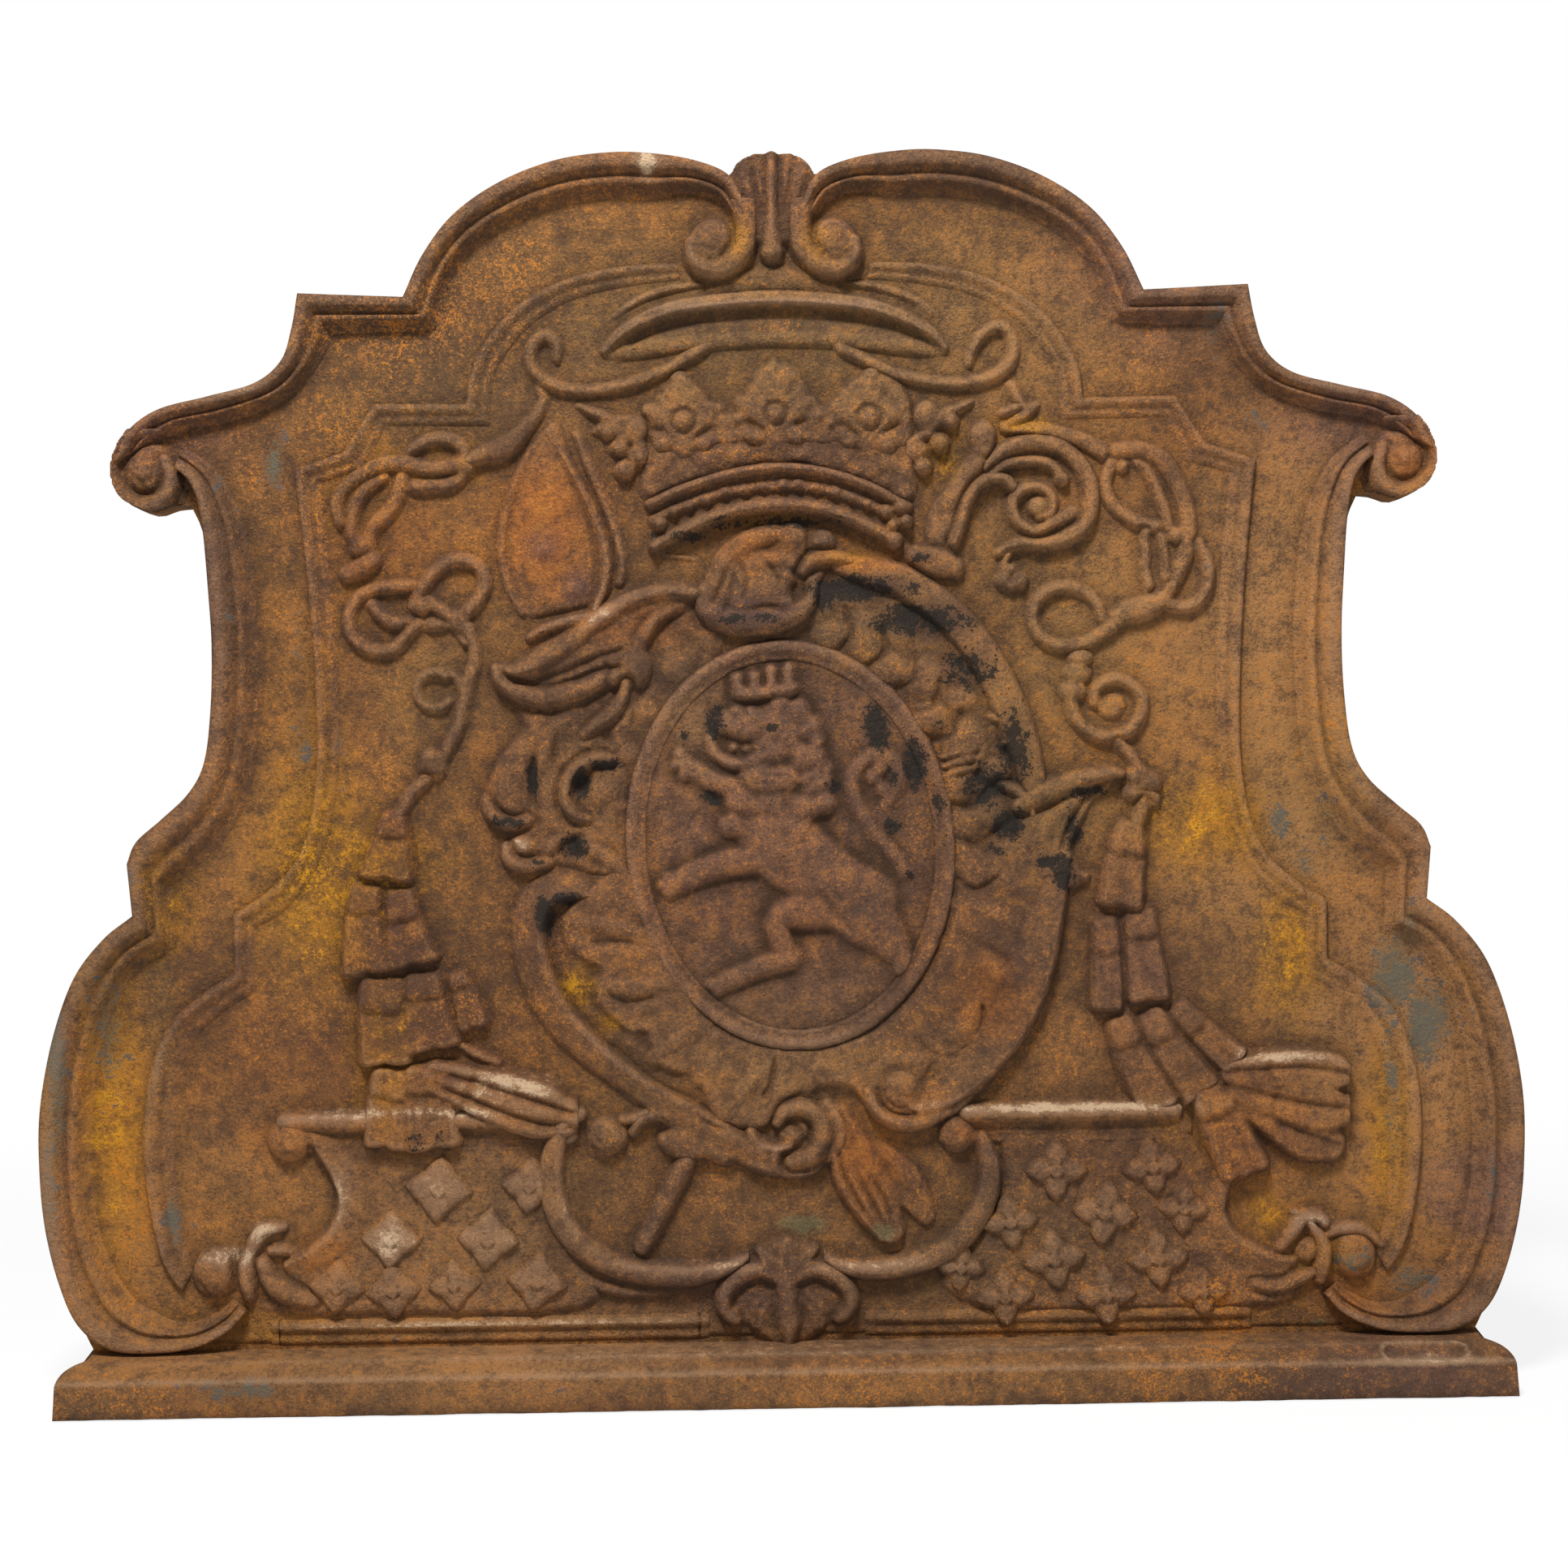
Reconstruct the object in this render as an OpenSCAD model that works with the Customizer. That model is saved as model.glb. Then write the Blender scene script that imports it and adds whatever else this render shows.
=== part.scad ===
// Cast-iron fireback: arched plate on a deep foot, with a crowned lion on a medallion.
// X runs to the right as seen from the front, the front faces -Y and Z is up.
// The origin is the bottom centre of the whole casting; sizes are in mm.

/* [Plate and foot] */
// Width of the plate over its lower sides
plate_w = 950; // [860:5:1040]
// Height from the hearth to the top of the arch
total_h = 797; // [720:1:870]
// Thickness of the plain plate behind the relief
plate_t = 20; // [15:1:28]
// Height of the foot under the plate
foot_h = 33; // [26:1:42]
// Depth of the foot from back to front
foot_d = 62; // [52:1:80]
// Height of the upright face along the front of the foot
fascia_h = 22; // [16:1:24]
// How far the foot reaches past the plate at each side
foot_reach = 15; // [8:1:16]
// Depth of the ledge on top of the foot, from the back
ledge_d = 44; // [38:1:48]

/* [Edge and inner mouldings] */
// Height of the moulding that runs round the edge
rim_h = 15; // [10:1:20]
// Setback of that moulding from the edge of the plate
rim_inset = 1.2; // [0.5:0.1:3]
// Height of the inner moulding
frame_h = 5; // [3:0.5:8]
// Radius of the volutes beside the crest shell
crest_volute_r = 14.5; // [11:0.5:15]
// Radius of the volutes at the ears
ear_volute_r = 18; // [14:0.5:18.5]
// Height of the crest shell between the volutes
shell_h = 13; // [9:1:17]

/* [Hat, cords and tassels] */
// Height of the brim and crown of the hat
hat_h = 9; // [6:1:13]
// Height of the knotted cords
cord_h = 7; // [5:0.5:9]
// Height of the tassels
tassel_h = 11; // [8:1:15]

/* [Coronet, mitre and crosier] */
// Height of the coronet band
band_h = 13; // [9:1:17]
// Height of the coronet's leaves
fleuron_h = 13; // [9:1:17]
// Height of the mitre
mitre_h = 9; // [6:1:13]
// Height of the crosier
crosier_h = 10; // [7:1:14]

/* [Cartouche and lion] */
// Height of the cartouche's scrolls
scroll_h = 13; // [9:1:17]
// Height of the cartouche's leaves
leaf_h = 13; // [9:1:17]
// Height of the petals round the medallion
petal_h = 8; // [5:0.5:11]
// Thickness of the medallion
medallion_h = 5; // [3:0.5:8]
// Height of the rim round the medallion
medallion_rim_h = 9; // [6.5:0.5:12]
// Height of the lion above the medallion
lion_h = 10; // [7:1:14]

/* [Pedestal] */
// Height of the rails and brackets under the arms
rail_h = 12; // [8:1:16]
// Height of the four-petalled florets
floret_h = 4; // [2:0.5:7]
// Half width of a floret across its petals
floret_r = 10; // [7:0.5:10]
// Height of the palmette hanging at the bottom
pendant_h = 12; // [8:1:16]

/* [Hidden] */
// The layout is drawn on a sheet 950 wide whose plate runs from 42 up to 805.5
sheet_w = 950;
sheet_foot = 42;
sheet_top = 805.5;
scale_x = plate_w / sheet_w;
scale_z = (total_h - foot_h) / (sheet_top - sheet_foot);
width_k = min(scale_x, scale_z);
foot_half = 444 * scale_x + foot_reach;
back_y = foot_d / 2;
face_y = back_y - plate_t;

// Sunk tablet on the foot: place along the sheet, length and breadth
tablet_x = 402;
tablet_l = 50;
tablet_b = 14;

// Medallion on the sheet: centre, half sizes of the disc, width of the rim and lean
med_x = 6;
med_z = 361;
med_a = 96;
med_b = 122;
med_rim_w = 10;
med_lean = 5;

// Cross-sections, each as steps of width from 0 to 1 against height from 0 to 1
round_section = [[0, 0], [0.14, 0.72], [0.5, 1], [0.86, 0.72], [1, 0]];
cord_section = [[0, 0], [0.2, 0.85], [0.8, 0.85], [1, 0]];
rim_section = [[0, 0], [0.04, 0.62], [0.12, 0.92], [0.3, 1], [0.52, 0.72], [0.6, 0.3], [0.9, 0.28], [1, 0]];
frame_section = [[0, 0], [0.1, 0.8], [0.3, 1], [0.52, 0.85], [0.64, 0.42], [0.85, 0.4], [1, 0]];
brim_section = [[0, 0], [0.1, 0.9], [0.3, 1], [0.55, 0.6], [0.8, 0.32], [1, 0]];
band_section = [[0, 0], [0.06, 0.8], [0.2, 1], [0.38, 0.72], [0.6, 0.62], [0.84, 0.6], [1, 0]];

// ---- layout helpers ----

function px(x) = x * scale_x;
function pz(z) = foot_h + (z - sheet_foot) * scale_z;
function spline(a, b, c, d, t) =
    (2 * b + (c - a) * t + (2 * a - 5 * b + 4 * c - d) * t * t + (3 * b - a - 3 * c + d) * t * t * t) / 2;
function flow(v, n) = let (e = len(v) - 1)
    [for (i = [0 : e - 1]) for (k = [0 : n - 1]) spline(v[max(i - 1, 0)], v[i], v[i + 1], v[min(i + 2, e)], k / n), v[e]];
function rest(v) = [for (i = [1 : len(v) - 1]) v[i]];
function flip_x(v) = [for (i = [len(v) - 1 : -1 : 0]) [-v[i][0], v[i][1]]];
function with_height(r) = len(r) > 4 ? r : [r[0], r[1], r[2], r[3], 1];
function with_factor(p) = len(p) > 3 ? p : [p[0], p[1], p[2], 1];

// Rows across a ribbon, from [outer x, outer z, inner x, inner z, height factor] on the sheet
function ribbon(rows, n = 2) = flow([for (q = rows) let (r = with_height(q)) [px(r[0]), pz(r[1]), px(r[2]), pz(r[3]), r[4]]], n);

// Rows across a stroke, from its centre line as [x, z, width, height factor]
function stroke(pts, n = 2) =
    let (p = flow([for (q = pts) with_factor(q)], n), e = len(p) - 1)
    [for (i = [0 : e])
        let (a = p[max(i - 1, 0)], b = p[min(i + 1, e)], l = norm([b[0] - a[0], b[1] - a[1]]),
            nx = -(b[1] - a[1]) / l * p[i][2] / 2, nz = (b[0] - a[0]) / l * p[i][2] / 2)
        [px(p[i][0] + nx), pz(p[i][1] + nz), px(p[i][0] - nx), pz(p[i][1] - nz), p[i][3]]];

// A ribbon split lengthwise into strands with a narrow groove between them
function strand(r, u0, u1) = [for (q = r)
    [q[0] + (q[2] - q[0]) * u0, q[1] + (q[3] - q[1]) * u0, q[0] + (q[2] - q[0]) * u1, q[1] + (q[3] - q[1]) * u1, q[4]]];
function strands(r, count, groove = 0.04) = [for (k = [0 : count - 1])
    strand(r, k == 0 ? 0 : k / count + groove / 2, k == count - 1 ? 1 : (k + 1) / count - groove / 2)];

function row_points(r, section, h) = [for (q = r) for (s = section)
    [q[0] + (q[2] - q[0]) * s[0], q[1] + (q[3] - q[1]) * s[0], q[4] * h * s[1]]];
function turn(r) = let (dx = r[1][0] + r[1][2] - r[0][0] - r[0][2], dz = r[1][1] + r[1][3] - r[0][1] - r[0][3])
    (r[0][2] - r[0][0]) * dz - (r[0][3] - r[0][1]) * dx;
function ordered(t, ahead) = ahead ? t : [t[2], t[1], t[0]];
function row_faces(n, m, b, ahead) = [
    for (i = [0 : n - 2]) for (j = [0 : m - 1]) let (k = (j + 1) % m, p = b + i * m, q = p + m)
        each [ordered([p + j, q + j, q + k], ahead), ordered([p + j, q + k, p + k], ahead)],
    for (j = [1 : m - 2]) each [ordered([b, b + j, b + j + 1], ahead),
        ordered([b + (n - 1) * m, b + (n - 1) * m + j + 1, b + (n - 1) * m + j], ahead)]];

// Separate closed solids lofted along each list of rows, all with flat backs
module lofts(lists, h, section = round_section) {
    m = len(section);
    starts = [for (i = 0, s = 0; i < len(lists); s = s + len(lists[i]) * m, i = i + 1) s];
    points = [for (r = lists) each row_points(r, section, h)];
    faces = [for (i = [0 : len(lists) - 1]) each row_faces(len(lists[i]), m, starts[i], turn(lists[i]) > 0)];
    polyhedron(points = points, faces = faces, convexity = 10);
}

// Ornaments are modelled lying flat and stood up against a face at depth y
module stand(y = face_y) {
    translate([0, y, 0]) rotate([90, 0, 0]) children();
}

// Slab with a regular outline of radius r on the sheet, from height y0 up to y1
module slab(x, z, r, y0, y1, sides) {
    translate([0, 0, y0]) linear_extrude(y1 - y0)
        polygon([for (k = [0 : sides - 1]) [px(x + r * cos(360 * k / sides)), pz(z + r * sin(360 * k / sides))]]);
}

// Rounded lump: r across, h tall
module lump(x, z, r, h, sides = 8) {
    hull() {
        slab(x, z, r, 0, h * 0.45, sides);
        slab(x, z, r * 0.5, h * 0.96, h, sides);
    }
}

// Pointed leaf from (x0, z0) to (x1, z1), w across at its middle
module leaf(x0, z0, x1, z1, w, h) {
    xm = x0 * 0.45 + x1 * 0.55;
    zm = z0 * 0.45 + z1 * 0.55;
    hull() {
        slab(x0, z0, w * 0.28, 0, h * 0.7, 6);
        slab(xm, zm, w * 0.5, 0, h * 0.4, 6);
        slab(xm, zm, w * 0.22, h * 0.96, h, 6);
        slab(x1, z1, w * 0.14, 0, h * 0.5, 6);
    }
}

// Stroke with round ends, for cords that cross and join
module cord(pts, h, n = 1) {
    e = len(pts) - 1;
    lofts([stroke(pts, n)], h, cord_section);
    lump(pts[0][0], pts[0][1], pts[0][2] * 0.56, h * 0.95, 10);
    lump(pts[e][0], pts[e][1], pts[e][2] * 0.56, h * 0.95, 10);
}

// Round boss turned on its own axis: a raised ring, a groove and a button
module volute(x, z, r, h) {
    ring = r * width_k;
    translate([px(x), pz(z), 0]) rotate_extrude($fn = 64)
        polygon([[0, 0], [ring, 0], [ring, h * 0.5], [ring * 0.9, h * 0.85], [ring * 0.74, h],
            [ring * 0.58, h * 0.86], [ring * 0.48, h * 0.5], [ring * 0.36, h * 0.5],
            [ring * 0.3, h * 0.9], [ring * 0.16, h * 1.08], [0, h * 1.12]]);
}

// Point on an ellipse k mm outside the medallion's disc at angle a
function med_point(a, k) = let (u = (med_a + k) * cos(a), v = (med_b + k) * sin(a))
    [med_x + u * cos(med_lean) - v * sin(med_lean), med_z + v * cos(med_lean) + u * sin(med_lean)];
function med_ring(k) = [for (a = [0 : 5 : 355]) let (p = med_point(a, k)) [px(p[0]), pz(p[1])]];

// ---- plate and foot ----

crest_run = [[0, 805], [14, 804], [23, 798], [28, 790]];
arch_run = [[28, 790], [45, 798.5], [70, 803.5], [100, 805.5], [140, 800], [175, 787], [203, 767], [224, 741], [236, 714]];
ear_run = [[304, 717], [307, 697], [315, 674], [332, 660], [362, 652], [393, 644], [414, 630], [424, 609],
    [419, 589], [402, 579.5], [388, 583], [376, 584]];
flank_run = [[376, 584], [368, 565], [363, 530], [361.5, 495], [362.5, 455], [367, 420], [377, 400], [395, 383],
    [412, 369], [418, 355]];
bulge_run = [[415, 322], [433, 308], [452, 282], [466, 243], [474, 200], [475, 165], [472, 125], [464, 90],
    [455, 65], [447, 47], [444, 42]];

module backboard() {
    half = concat(flow(crest_run, 3), rest(flow(arch_run, 3)), flow(ear_run, 3), rest(flow(flank_run, 3)), flow(bulge_run, 3));
    outline = concat([for (p = half) [px(p[0]), pz(p[1])]], [for (p = flip_x(rest(half))) [px(p[0]), pz(p[1])]]);
    color("#6b4a35") stand(back_y) linear_extrude(plate_t) polygon(outline);
}

module foot() {
    run = foot_d - ledge_d;
    drop = foot_h - fascia_h;
    // The shoulder is a flattened quarter round
    steps = [for (a = [0 : 15 : 90]) [0.5 * (1 - a / 90) + 0.5 * cos(a), 0.5 * a / 90 + 0.5 * sin(a)]];
    side = concat([[0, 0], [foot_d, 0]], [for (s = steps) [ledge_d + run * s[0], fascia_h + drop * s[1]]], [[0, foot_h]]);
    right = [for (s = steps) [foot_half - foot_reach * (1 - s[0]), fascia_h + drop * s[1]]];
    front = concat([[-foot_half, 0], [foot_half, 0]], right, flip_x(right));
    slope = atan2(drop, run);
    color("#6a4630") difference() {
        intersection() {
            translate([-foot_half, 0, 0]) rotate([90, 0, 90]) linear_extrude(foot_half * 2)
                polygon([for (p = side) [back_y - p[0], p[1]]]);
            translate([0, back_y, 0]) rotate([90, 0, 0]) linear_extrude(foot_d) polygon(front);
        }
        // Sunk oblong tablet on the shoulder, left bare
        translate([px(tablet_x), back_y - ledge_d - run / 2, fascia_h + drop / 2]) rotate([slope, 0, 0])
            linear_extrude(10) for (k = [-1, 1]) {
                translate([k * (tablet_l - tablet_b) / 2, 0]) circle(d = tablet_b, $fn = 48);
                translate([(k - 1) * (tablet_l - tablet_b) / 4, -tablet_b / 2]) square([(tablet_l - tablet_b) / 2, tablet_b]);
            }
    }
}

// Half-round moulding along the bottom of the plate, broken by the pendant
module lower_fillet() {
    color("#74503a") stand() for (run = [[-325, -52], [52, 240]])
        intersection() {
            translate([px(run[0]), pz(51), 0]) rotate([0, 90, 0]) cylinder(r = 3, h = px(run[1] - run[0]), $fn = 48);
            translate([px(run[0]), pz(51) - 5, 0]) cube([px(run[1] - run[0]), 10, 5]);
        }
}

// ---- edge moulding ----

upper_rim_rows = [[14, 742, 21.5, 743, 0.6], [14, 757, 23, 755, 0.8], [19, 774, 30, 767, 0.95], [28, 790, 40, 776, 1],
    [48, 799, 58, 780, 1], [75, 804, 78, 776, 1], [105, 805, 103, 777, 1], [140, 800, 133, 773, 1],
    [175, 786.5, 162, 763, 1], [204, 766.5, 188, 748, 1], [224, 741, 206, 727, 1], [237, 714, 217, 694, 1]];
ear_rim_rows = [[304, 717, 283, 692, 1], [308, 695, 287, 682, 1], [315, 674, 297, 666, 1], [332, 660, 314, 650, 1],
    [362, 652, 348, 637, 1], [393, 644, 378, 632, 1], [413, 630, 395, 624, 0.95], [423, 609.5, 402, 623, 0.85]];
flank_rim_rows = [[383, 605.5, 380, 622, 0.8], [376.5, 600, 366, 613, 0.9], [370, 588, 354, 600, 1], [366, 565, 342, 574, 1],
    [363.5, 532, 336, 545, 1], [361.5, 495, 332, 497, 1], [362.5, 455, 333, 452, 1], [367, 420, 337, 412, 1],
    [377, 400, 346, 385, 1], [395, 383, 362, 362, 1], [411, 369, 378, 347, 1], [417, 355, 390, 340, 1]];
lower_rim_rows = [[414, 322, 388, 300, 1], [433, 307, 408, 290, 1], [452, 282, 424, 268, 1], [466, 243, 436, 236, 1],
    [474, 200, 442, 200, 1], [475, 163, 443, 163, 1], [472, 125, 440, 125, 1], [464, 90, 431, 98, 1],
    [452, 62, 418, 77, 1], [432, 46, 403, 67, 1], [405, 43, 392, 62, 1], [377, 46, 377, 62, 0.95],
    [356, 56, 363, 69, 0.85], [345, 68, 356, 75, 0.7]];

// Pulls the outer line of each row in from the edge of the plate
function inset(rows) = [for (r = rows) let (d = [r[2] - r[0], r[3] - r[1]], k = rim_inset / norm(d))
    [r[0] + d[0] * k, r[1] + d[1] * k, r[2], r[3], r[4]]];

module upper_rim(side) {
    rows = concat(ribbon(inset(upper_rim_rows)), ribbon(inset(ear_rim_rows)));
    color("#7a5238") stand() mirror([side < 0 ? 1 : 0, 0, 0]) lofts([rows], rim_h, rim_section);
}

module flank_rim(side) {
    rows = concat(ribbon(inset(flank_rim_rows)), ribbon(inset(lower_rim_rows)));
    color("#7a5238") stand() mirror([side < 0 ? 1 : 0, 0, 0]) lofts([rows], rim_h, rim_section);
}

module left_upper_rim() upper_rim(-1);
module right_upper_rim() upper_rim(1);
module left_flank_rim() flank_rim(-1);
module right_flank_rim() flank_rim(1);

module left_crest_volute() {
    color("#80563a") stand() volute(-37, 745, crest_volute_r, rim_h * 0.85);
}
module right_crest_volute() {
    color("#80563a") stand() volute(37, 745, crest_volute_r, rim_h * 0.85);
}
module left_ear_volute() {
    color("#80563a") stand() volute(-402, 600.5, ear_volute_r, rim_h * 0.9);
}
module right_ear_volute() {
    color("#80563a") stand() volute(402, 600.5, ear_volute_r, rim_h * 0.9);
}

module crest_shell() {
    rows = ribbon([[-8, 749, 6, 749, 0.5], [-11, 762, 10, 762, 0.8], [-16, 775, 14, 775, 0.95], [-25, 787, 21, 787, 1],
        [-24, 796, 20, 796, 0.95], [-13, 802, 12, 802, 0.6]]);
    color("#85583a") stand() {
        lofts(strands(rows, 3, 0.05), shell_h);
        translate([px(-1), pz(740.5), 0]) intersection() {
            sphere(r = 6 * width_k, $fn = 48);
            cylinder(r = 9, h = 9, $fn = 48);
        }
    }
}

// ---- inner moulding ----

frame_rows = [[-388, 80, -380.5, 94, 0.8], [-396, 91, -382, 104, 1], [-403, 108, -386, 114, 1], [-410, 145, -389, 146, 1],
    [-412, 185, -389, 185, 1], [-407, 222, -385, 216, 1], [-394, 252, -375, 242, 1], [-374, 270, -358, 258, 1],
    [-352, 284, -337, 272, 1]];
frame_waist_rows = [[-352, 322, -337, 312, 1], [-333, 334, -320, 321, 1], [-314, 352, -301, 343, 1], [-303, 378, -288, 374, 1],
    [-298, 415, -282, 414, 1], [-298, 460, -281, 460, 1], [-302, 530, -285, 530, 1], [-310, 606, -291, 597, 1]];
frame_shoulder_rows = [[-278, 617, -264, 604, 1], [-258, 648, -250, 632, 1]];
frame_arch_rows = [[-199, 647, -183, 632, 1], [-196, 668, -180, 662, 1], [-184, 690, -169, 682, 1], [-165, 710, -152, 699, 1],
    [-135, 726, -126, 713, 1], [-100, 734, -94, 720, 1], [-62, 736, -60, 724, 0.7]];

module inner_frame(side) {
    rows = concat(ribbon(frame_rows, 1), ribbon(frame_waist_rows, 1), ribbon(frame_shoulder_rows), ribbon(frame_arch_rows));
    color("#8a5a3c") stand() mirror([side > 0 ? 1 : 0, 0, 0]) lofts([rows], frame_h, frame_section);
}

module left_inner_frame() inner_frame(-1);
module right_inner_frame() inner_frame(1);

module left_foot_volute() {
    color("#80563a") stand() volute(-367, 90, 12, rail_h * 0.9);
}
module right_foot_volute() {
    color("#80563a") stand() volute(367, 90, 12, rail_h * 0.9);
}

// ---- hat, cords and tassels ----

module hat_brim() {
    rows = ribbon([[-108, 680, -106.5, 678, 0.4], [-97, 694, -89, 684, 0.85], [-70, 703.5, -62, 687, 1], [-35, 710, -32, 687.5, 1],
        [5, 712.5, 5, 686.5, 1], [45, 709, 42, 684.5, 1], [80, 701.5, 72, 682.5, 1], [100, 690, 94, 681, 0.85],
        [110, 680, 108.5, 678, 0.4]]);
    color("#7d4f38") stand() lofts([rows], hat_h, brim_section);
}

// Domed crown with the far side of the brim showing to its left and right
module hat_crown() {
    left = ribbon([[-104, 698, -97.5, 695.5, 0.4], [-80, 708, -76, 703, 0.5], [-51, 717, -50, 709.5, 0.5]]);
    right = ribbon([[51, 717, 50, 710.5, 0.5], [80, 710, 78, 704, 0.5], [103, 701.5, 98.5, 693.5, 0.4]]);
    rows = ribbon([[-46, 716, -45, 711, 0.4], [-40, 725, -36, 712.5, 0.8], [-22, 731.5, -18, 714.5, 1], [0, 733, 0, 715.5, 1],
        [22, 731.5, 18, 714.5, 1], [40, 724, 36, 712.5, 0.8], [46, 714, 45, 710.5, 0.4]]);
    color("#7d4f38") stand() lofts([rows, left, right], hat_h);
}

left_brim_cord = [[-41, 681, 9], [-54, 675, 9], [-69, 667, 9], [-88, 660, 9], [-110, 655, 9], [-132, 655, 9], [-148, 661, 9],
    [-157, 672, 9], [-155, 685, 9], [-146, 690, 9], [-140, 683, 8], [-140, 674, 7]];
left_knot_cord = [[-152, 650, 8], [-155, 640, 8], [-158, 630, 9], [-165, 621, 12], [-176, 616, 19, 1.3], [-187, 612, 12]];
right_brim_cord = [[40, 679, 9], [55, 673, 9], [70, 666, 9], [85, 661, 9], [105, 657, 9], [121, 657, 9], [138, 660, 9],
    [150, 668, 9], [154, 680, 9], [150, 690, 9], [141, 692, 9], [132, 686, 8], [127, 677, 7], [125, 669, 6]];
right_short_cord = [[153, 651, 9], [157, 642, 9], [162, 637, 8]];

module left_hat_cord() {
    color("#6f4a36") stand() lofts([stroke(left_brim_cord, 1), stroke(left_knot_cord, 1)], cord_h, cord_section);
}
module right_hat_cord() {
    color("#6f4a36") stand() lofts([stroke(right_brim_cord, 1), stroke(right_short_cord, 1)], cord_h, cord_section);
}

left_loops = [
    [[-230, 617, 8], [-222, 622, 8], [-209, 621, 9], [-201, 616, 9], [-200, 608, 9], [-205, 600, 9], [-216, 597, 8], [-230, 598, 8]],
    [[-279, 577, 8], [-279, 590, 9], [-271, 600, 9], [-258, 607, 9], [-245, 610, 9], [-230, 608, 9], [-216, 606, 9]],
    [[-241, 600, 8], [-243, 586, 8], [-252, 574, 8], [-261, 564, 9], [-268, 556, 10]],
    [[-256, 602, 8], [-265, 592, 8], [-271, 580, 8], [-272, 568, 9], [-268, 556, 10]],
    [[-271, 520, 9], [-275, 505, 9], [-270, 493, 9], [-258, 487, 9], [-246, 491, 9], [-237, 500, 9], [-225, 506, 9], [-208, 508, 9]],
    [[-230, 531, 9], [-250, 532, 9], [-264, 528, 9], [-271, 520, 9]],
    [[-225, 520, 8], [-220, 535, 9], [-208, 545, 9], [-196, 543, 9], [-189, 533, 9], [-191, 521, 9], [-200, 513, 9]]];
left_drop = [[-197, 495, 8], [-195, 487, 8], [-196, 478, 9], [-199, 468, 9], [-201, 455, 9], [-203, 445, 9], [-207, 432, 9],
    [-213, 422, 9], [-222, 412, 9], [-231, 403, 9], [-239, 392, 10]];
right_loops = [
    [[222, 616, 9], [240, 612, 9], [252, 601, 9], [262, 586, 9], [267, 570, 9], [266, 557, 9], [262, 545, 9], [256, 532, 9], [250, 521, 10]],
    [[229, 605, 8], [237, 595, 8], [243, 581, 8], [247, 568, 8], [256, 558, 9]],
    [[213, 602, 9], [213, 590, 9], [216, 581, 9], [224, 572, 9], [236, 566, 9], [248, 562, 9], [258, 558, 9]],
    [[238, 556, 8], [236, 545, 8], [236, 531, 8], [241, 518, 12]],
    [[246, 519, 9], [254, 510, 9], [263, 507, 9], [272, 513, 9], [276, 524, 9], [275, 536, 9], [269, 547, 9]],
    [[241, 512, 14], [231, 508, 16, 1.2], [221, 503, 10], [210, 495, 9], [196, 488, 8], [181, 487, 8], [169, 494, 8], [164, 506, 8],
        [169, 518, 8], [182, 524, 8], [195, 520, 8], [203, 511, 7]],
    [[146, 631, 9], [165, 631, 9], [185, 628, 9], [200, 622, 9], [213, 614, 9], [224, 610, 9]]];
right_drop_spiral = [[189, 456, 10], [187, 445, 9], [193, 435, 9], [204, 429, 9], [217, 429, 9], [229, 436, 9], [234, 448, 8],
    [229, 459, 8], [218, 464, 7], [209, 461, 6]];
right_drop_tail = [[211, 421, 9], [224, 416, 9], [233, 408, 9], [235, 396, 20, 1.3], [233, 384, 14], [231, 374, 11]];

module left_cord_knots() {
    color("#6f4a36") stand() {
        for (pts = left_loops) cord(pts, cord_h);
        lump(-267, 545, 9, cord_h * 1.3);
    }
}
module right_cord_knots() {
    color("#6f4a36") stand() for (pts = right_loops) cord(pts, cord_h);
}
module left_cord_drop() {
    ring = [for (a = [20 : 34 : 340]) [-222 + 11.5 * cos(a), 463 + 11.5 * sin(a), 7]];
    color("#6f4a36") stand() lofts([stroke(left_drop, 1), stroke(ring, 1)], cord_h, cord_section);
}
module right_cord_drop() {
    stub = [[193, 478, 16], [191, 466, 18, 1.3]];
    color("#6f4a36") stand() lofts([stroke(stub), stroke(right_drop_spiral, 1), stroke(right_drop_tail)], cord_h, cord_section);
}

// Each tassel is a ribbon parted into a few strands
module tassels(list) {
    color("#845840") stand() lofts([for (t = list) each strands(ribbon(t[1], 1), t[0], 0.05)], tassel_h);
}

module left_tassel_rows() {
    tassels([
        [2, [[-256, 383, -239, 380, 0.75], [-262, 362, -240, 361, 1], [-267, 343, -240, 341, 0.7]]],
        [2, [[-272, 337, -257, 334, 0.75], [-279, 310, -257, 310, 1], [-282, 281, -258, 280, 0.7]]],
        [2, [[-254, 334, -240, 330, 0.75], [-252, 310, -231, 312, 1], [-249, 284, -222, 289, 0.7]]],
        [2, [[-270, 276, -243, 276, 0.75], [-269, 250, -242, 250, 1], [-266, 224, -241, 222, 0.7]]],
        [2, [[-240, 277, -220, 279, 0.75], [-238, 252, -217, 254, 1], [-236, 230, -214, 233, 0.7]]],
        [1, [[-217, 286, -206, 279, 0.75], [-208, 264, -194, 262, 1], [-209, 243, -188, 246, 0.7]]]]);
}

module left_lower_tassels() {
    tassels([
        [1, [[-262, 218, -247, 217, 0.75], [-262, 195, -249, 194, 1], [-264, 169, -252, 168, 0.7]]],
        [3, [[-244, 217, -214, 218, 0.75], [-246, 195, -213, 195, 1], [-250, 169, -210, 167, 0.7]]],
        [3, [[-207, 228, -210, 209, 0.75], [-185, 224, -186, 200, 1], [-160, 218, -160, 195, 0.9], [-146, 213, -148, 203, 0.5]]]]);
}

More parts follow.
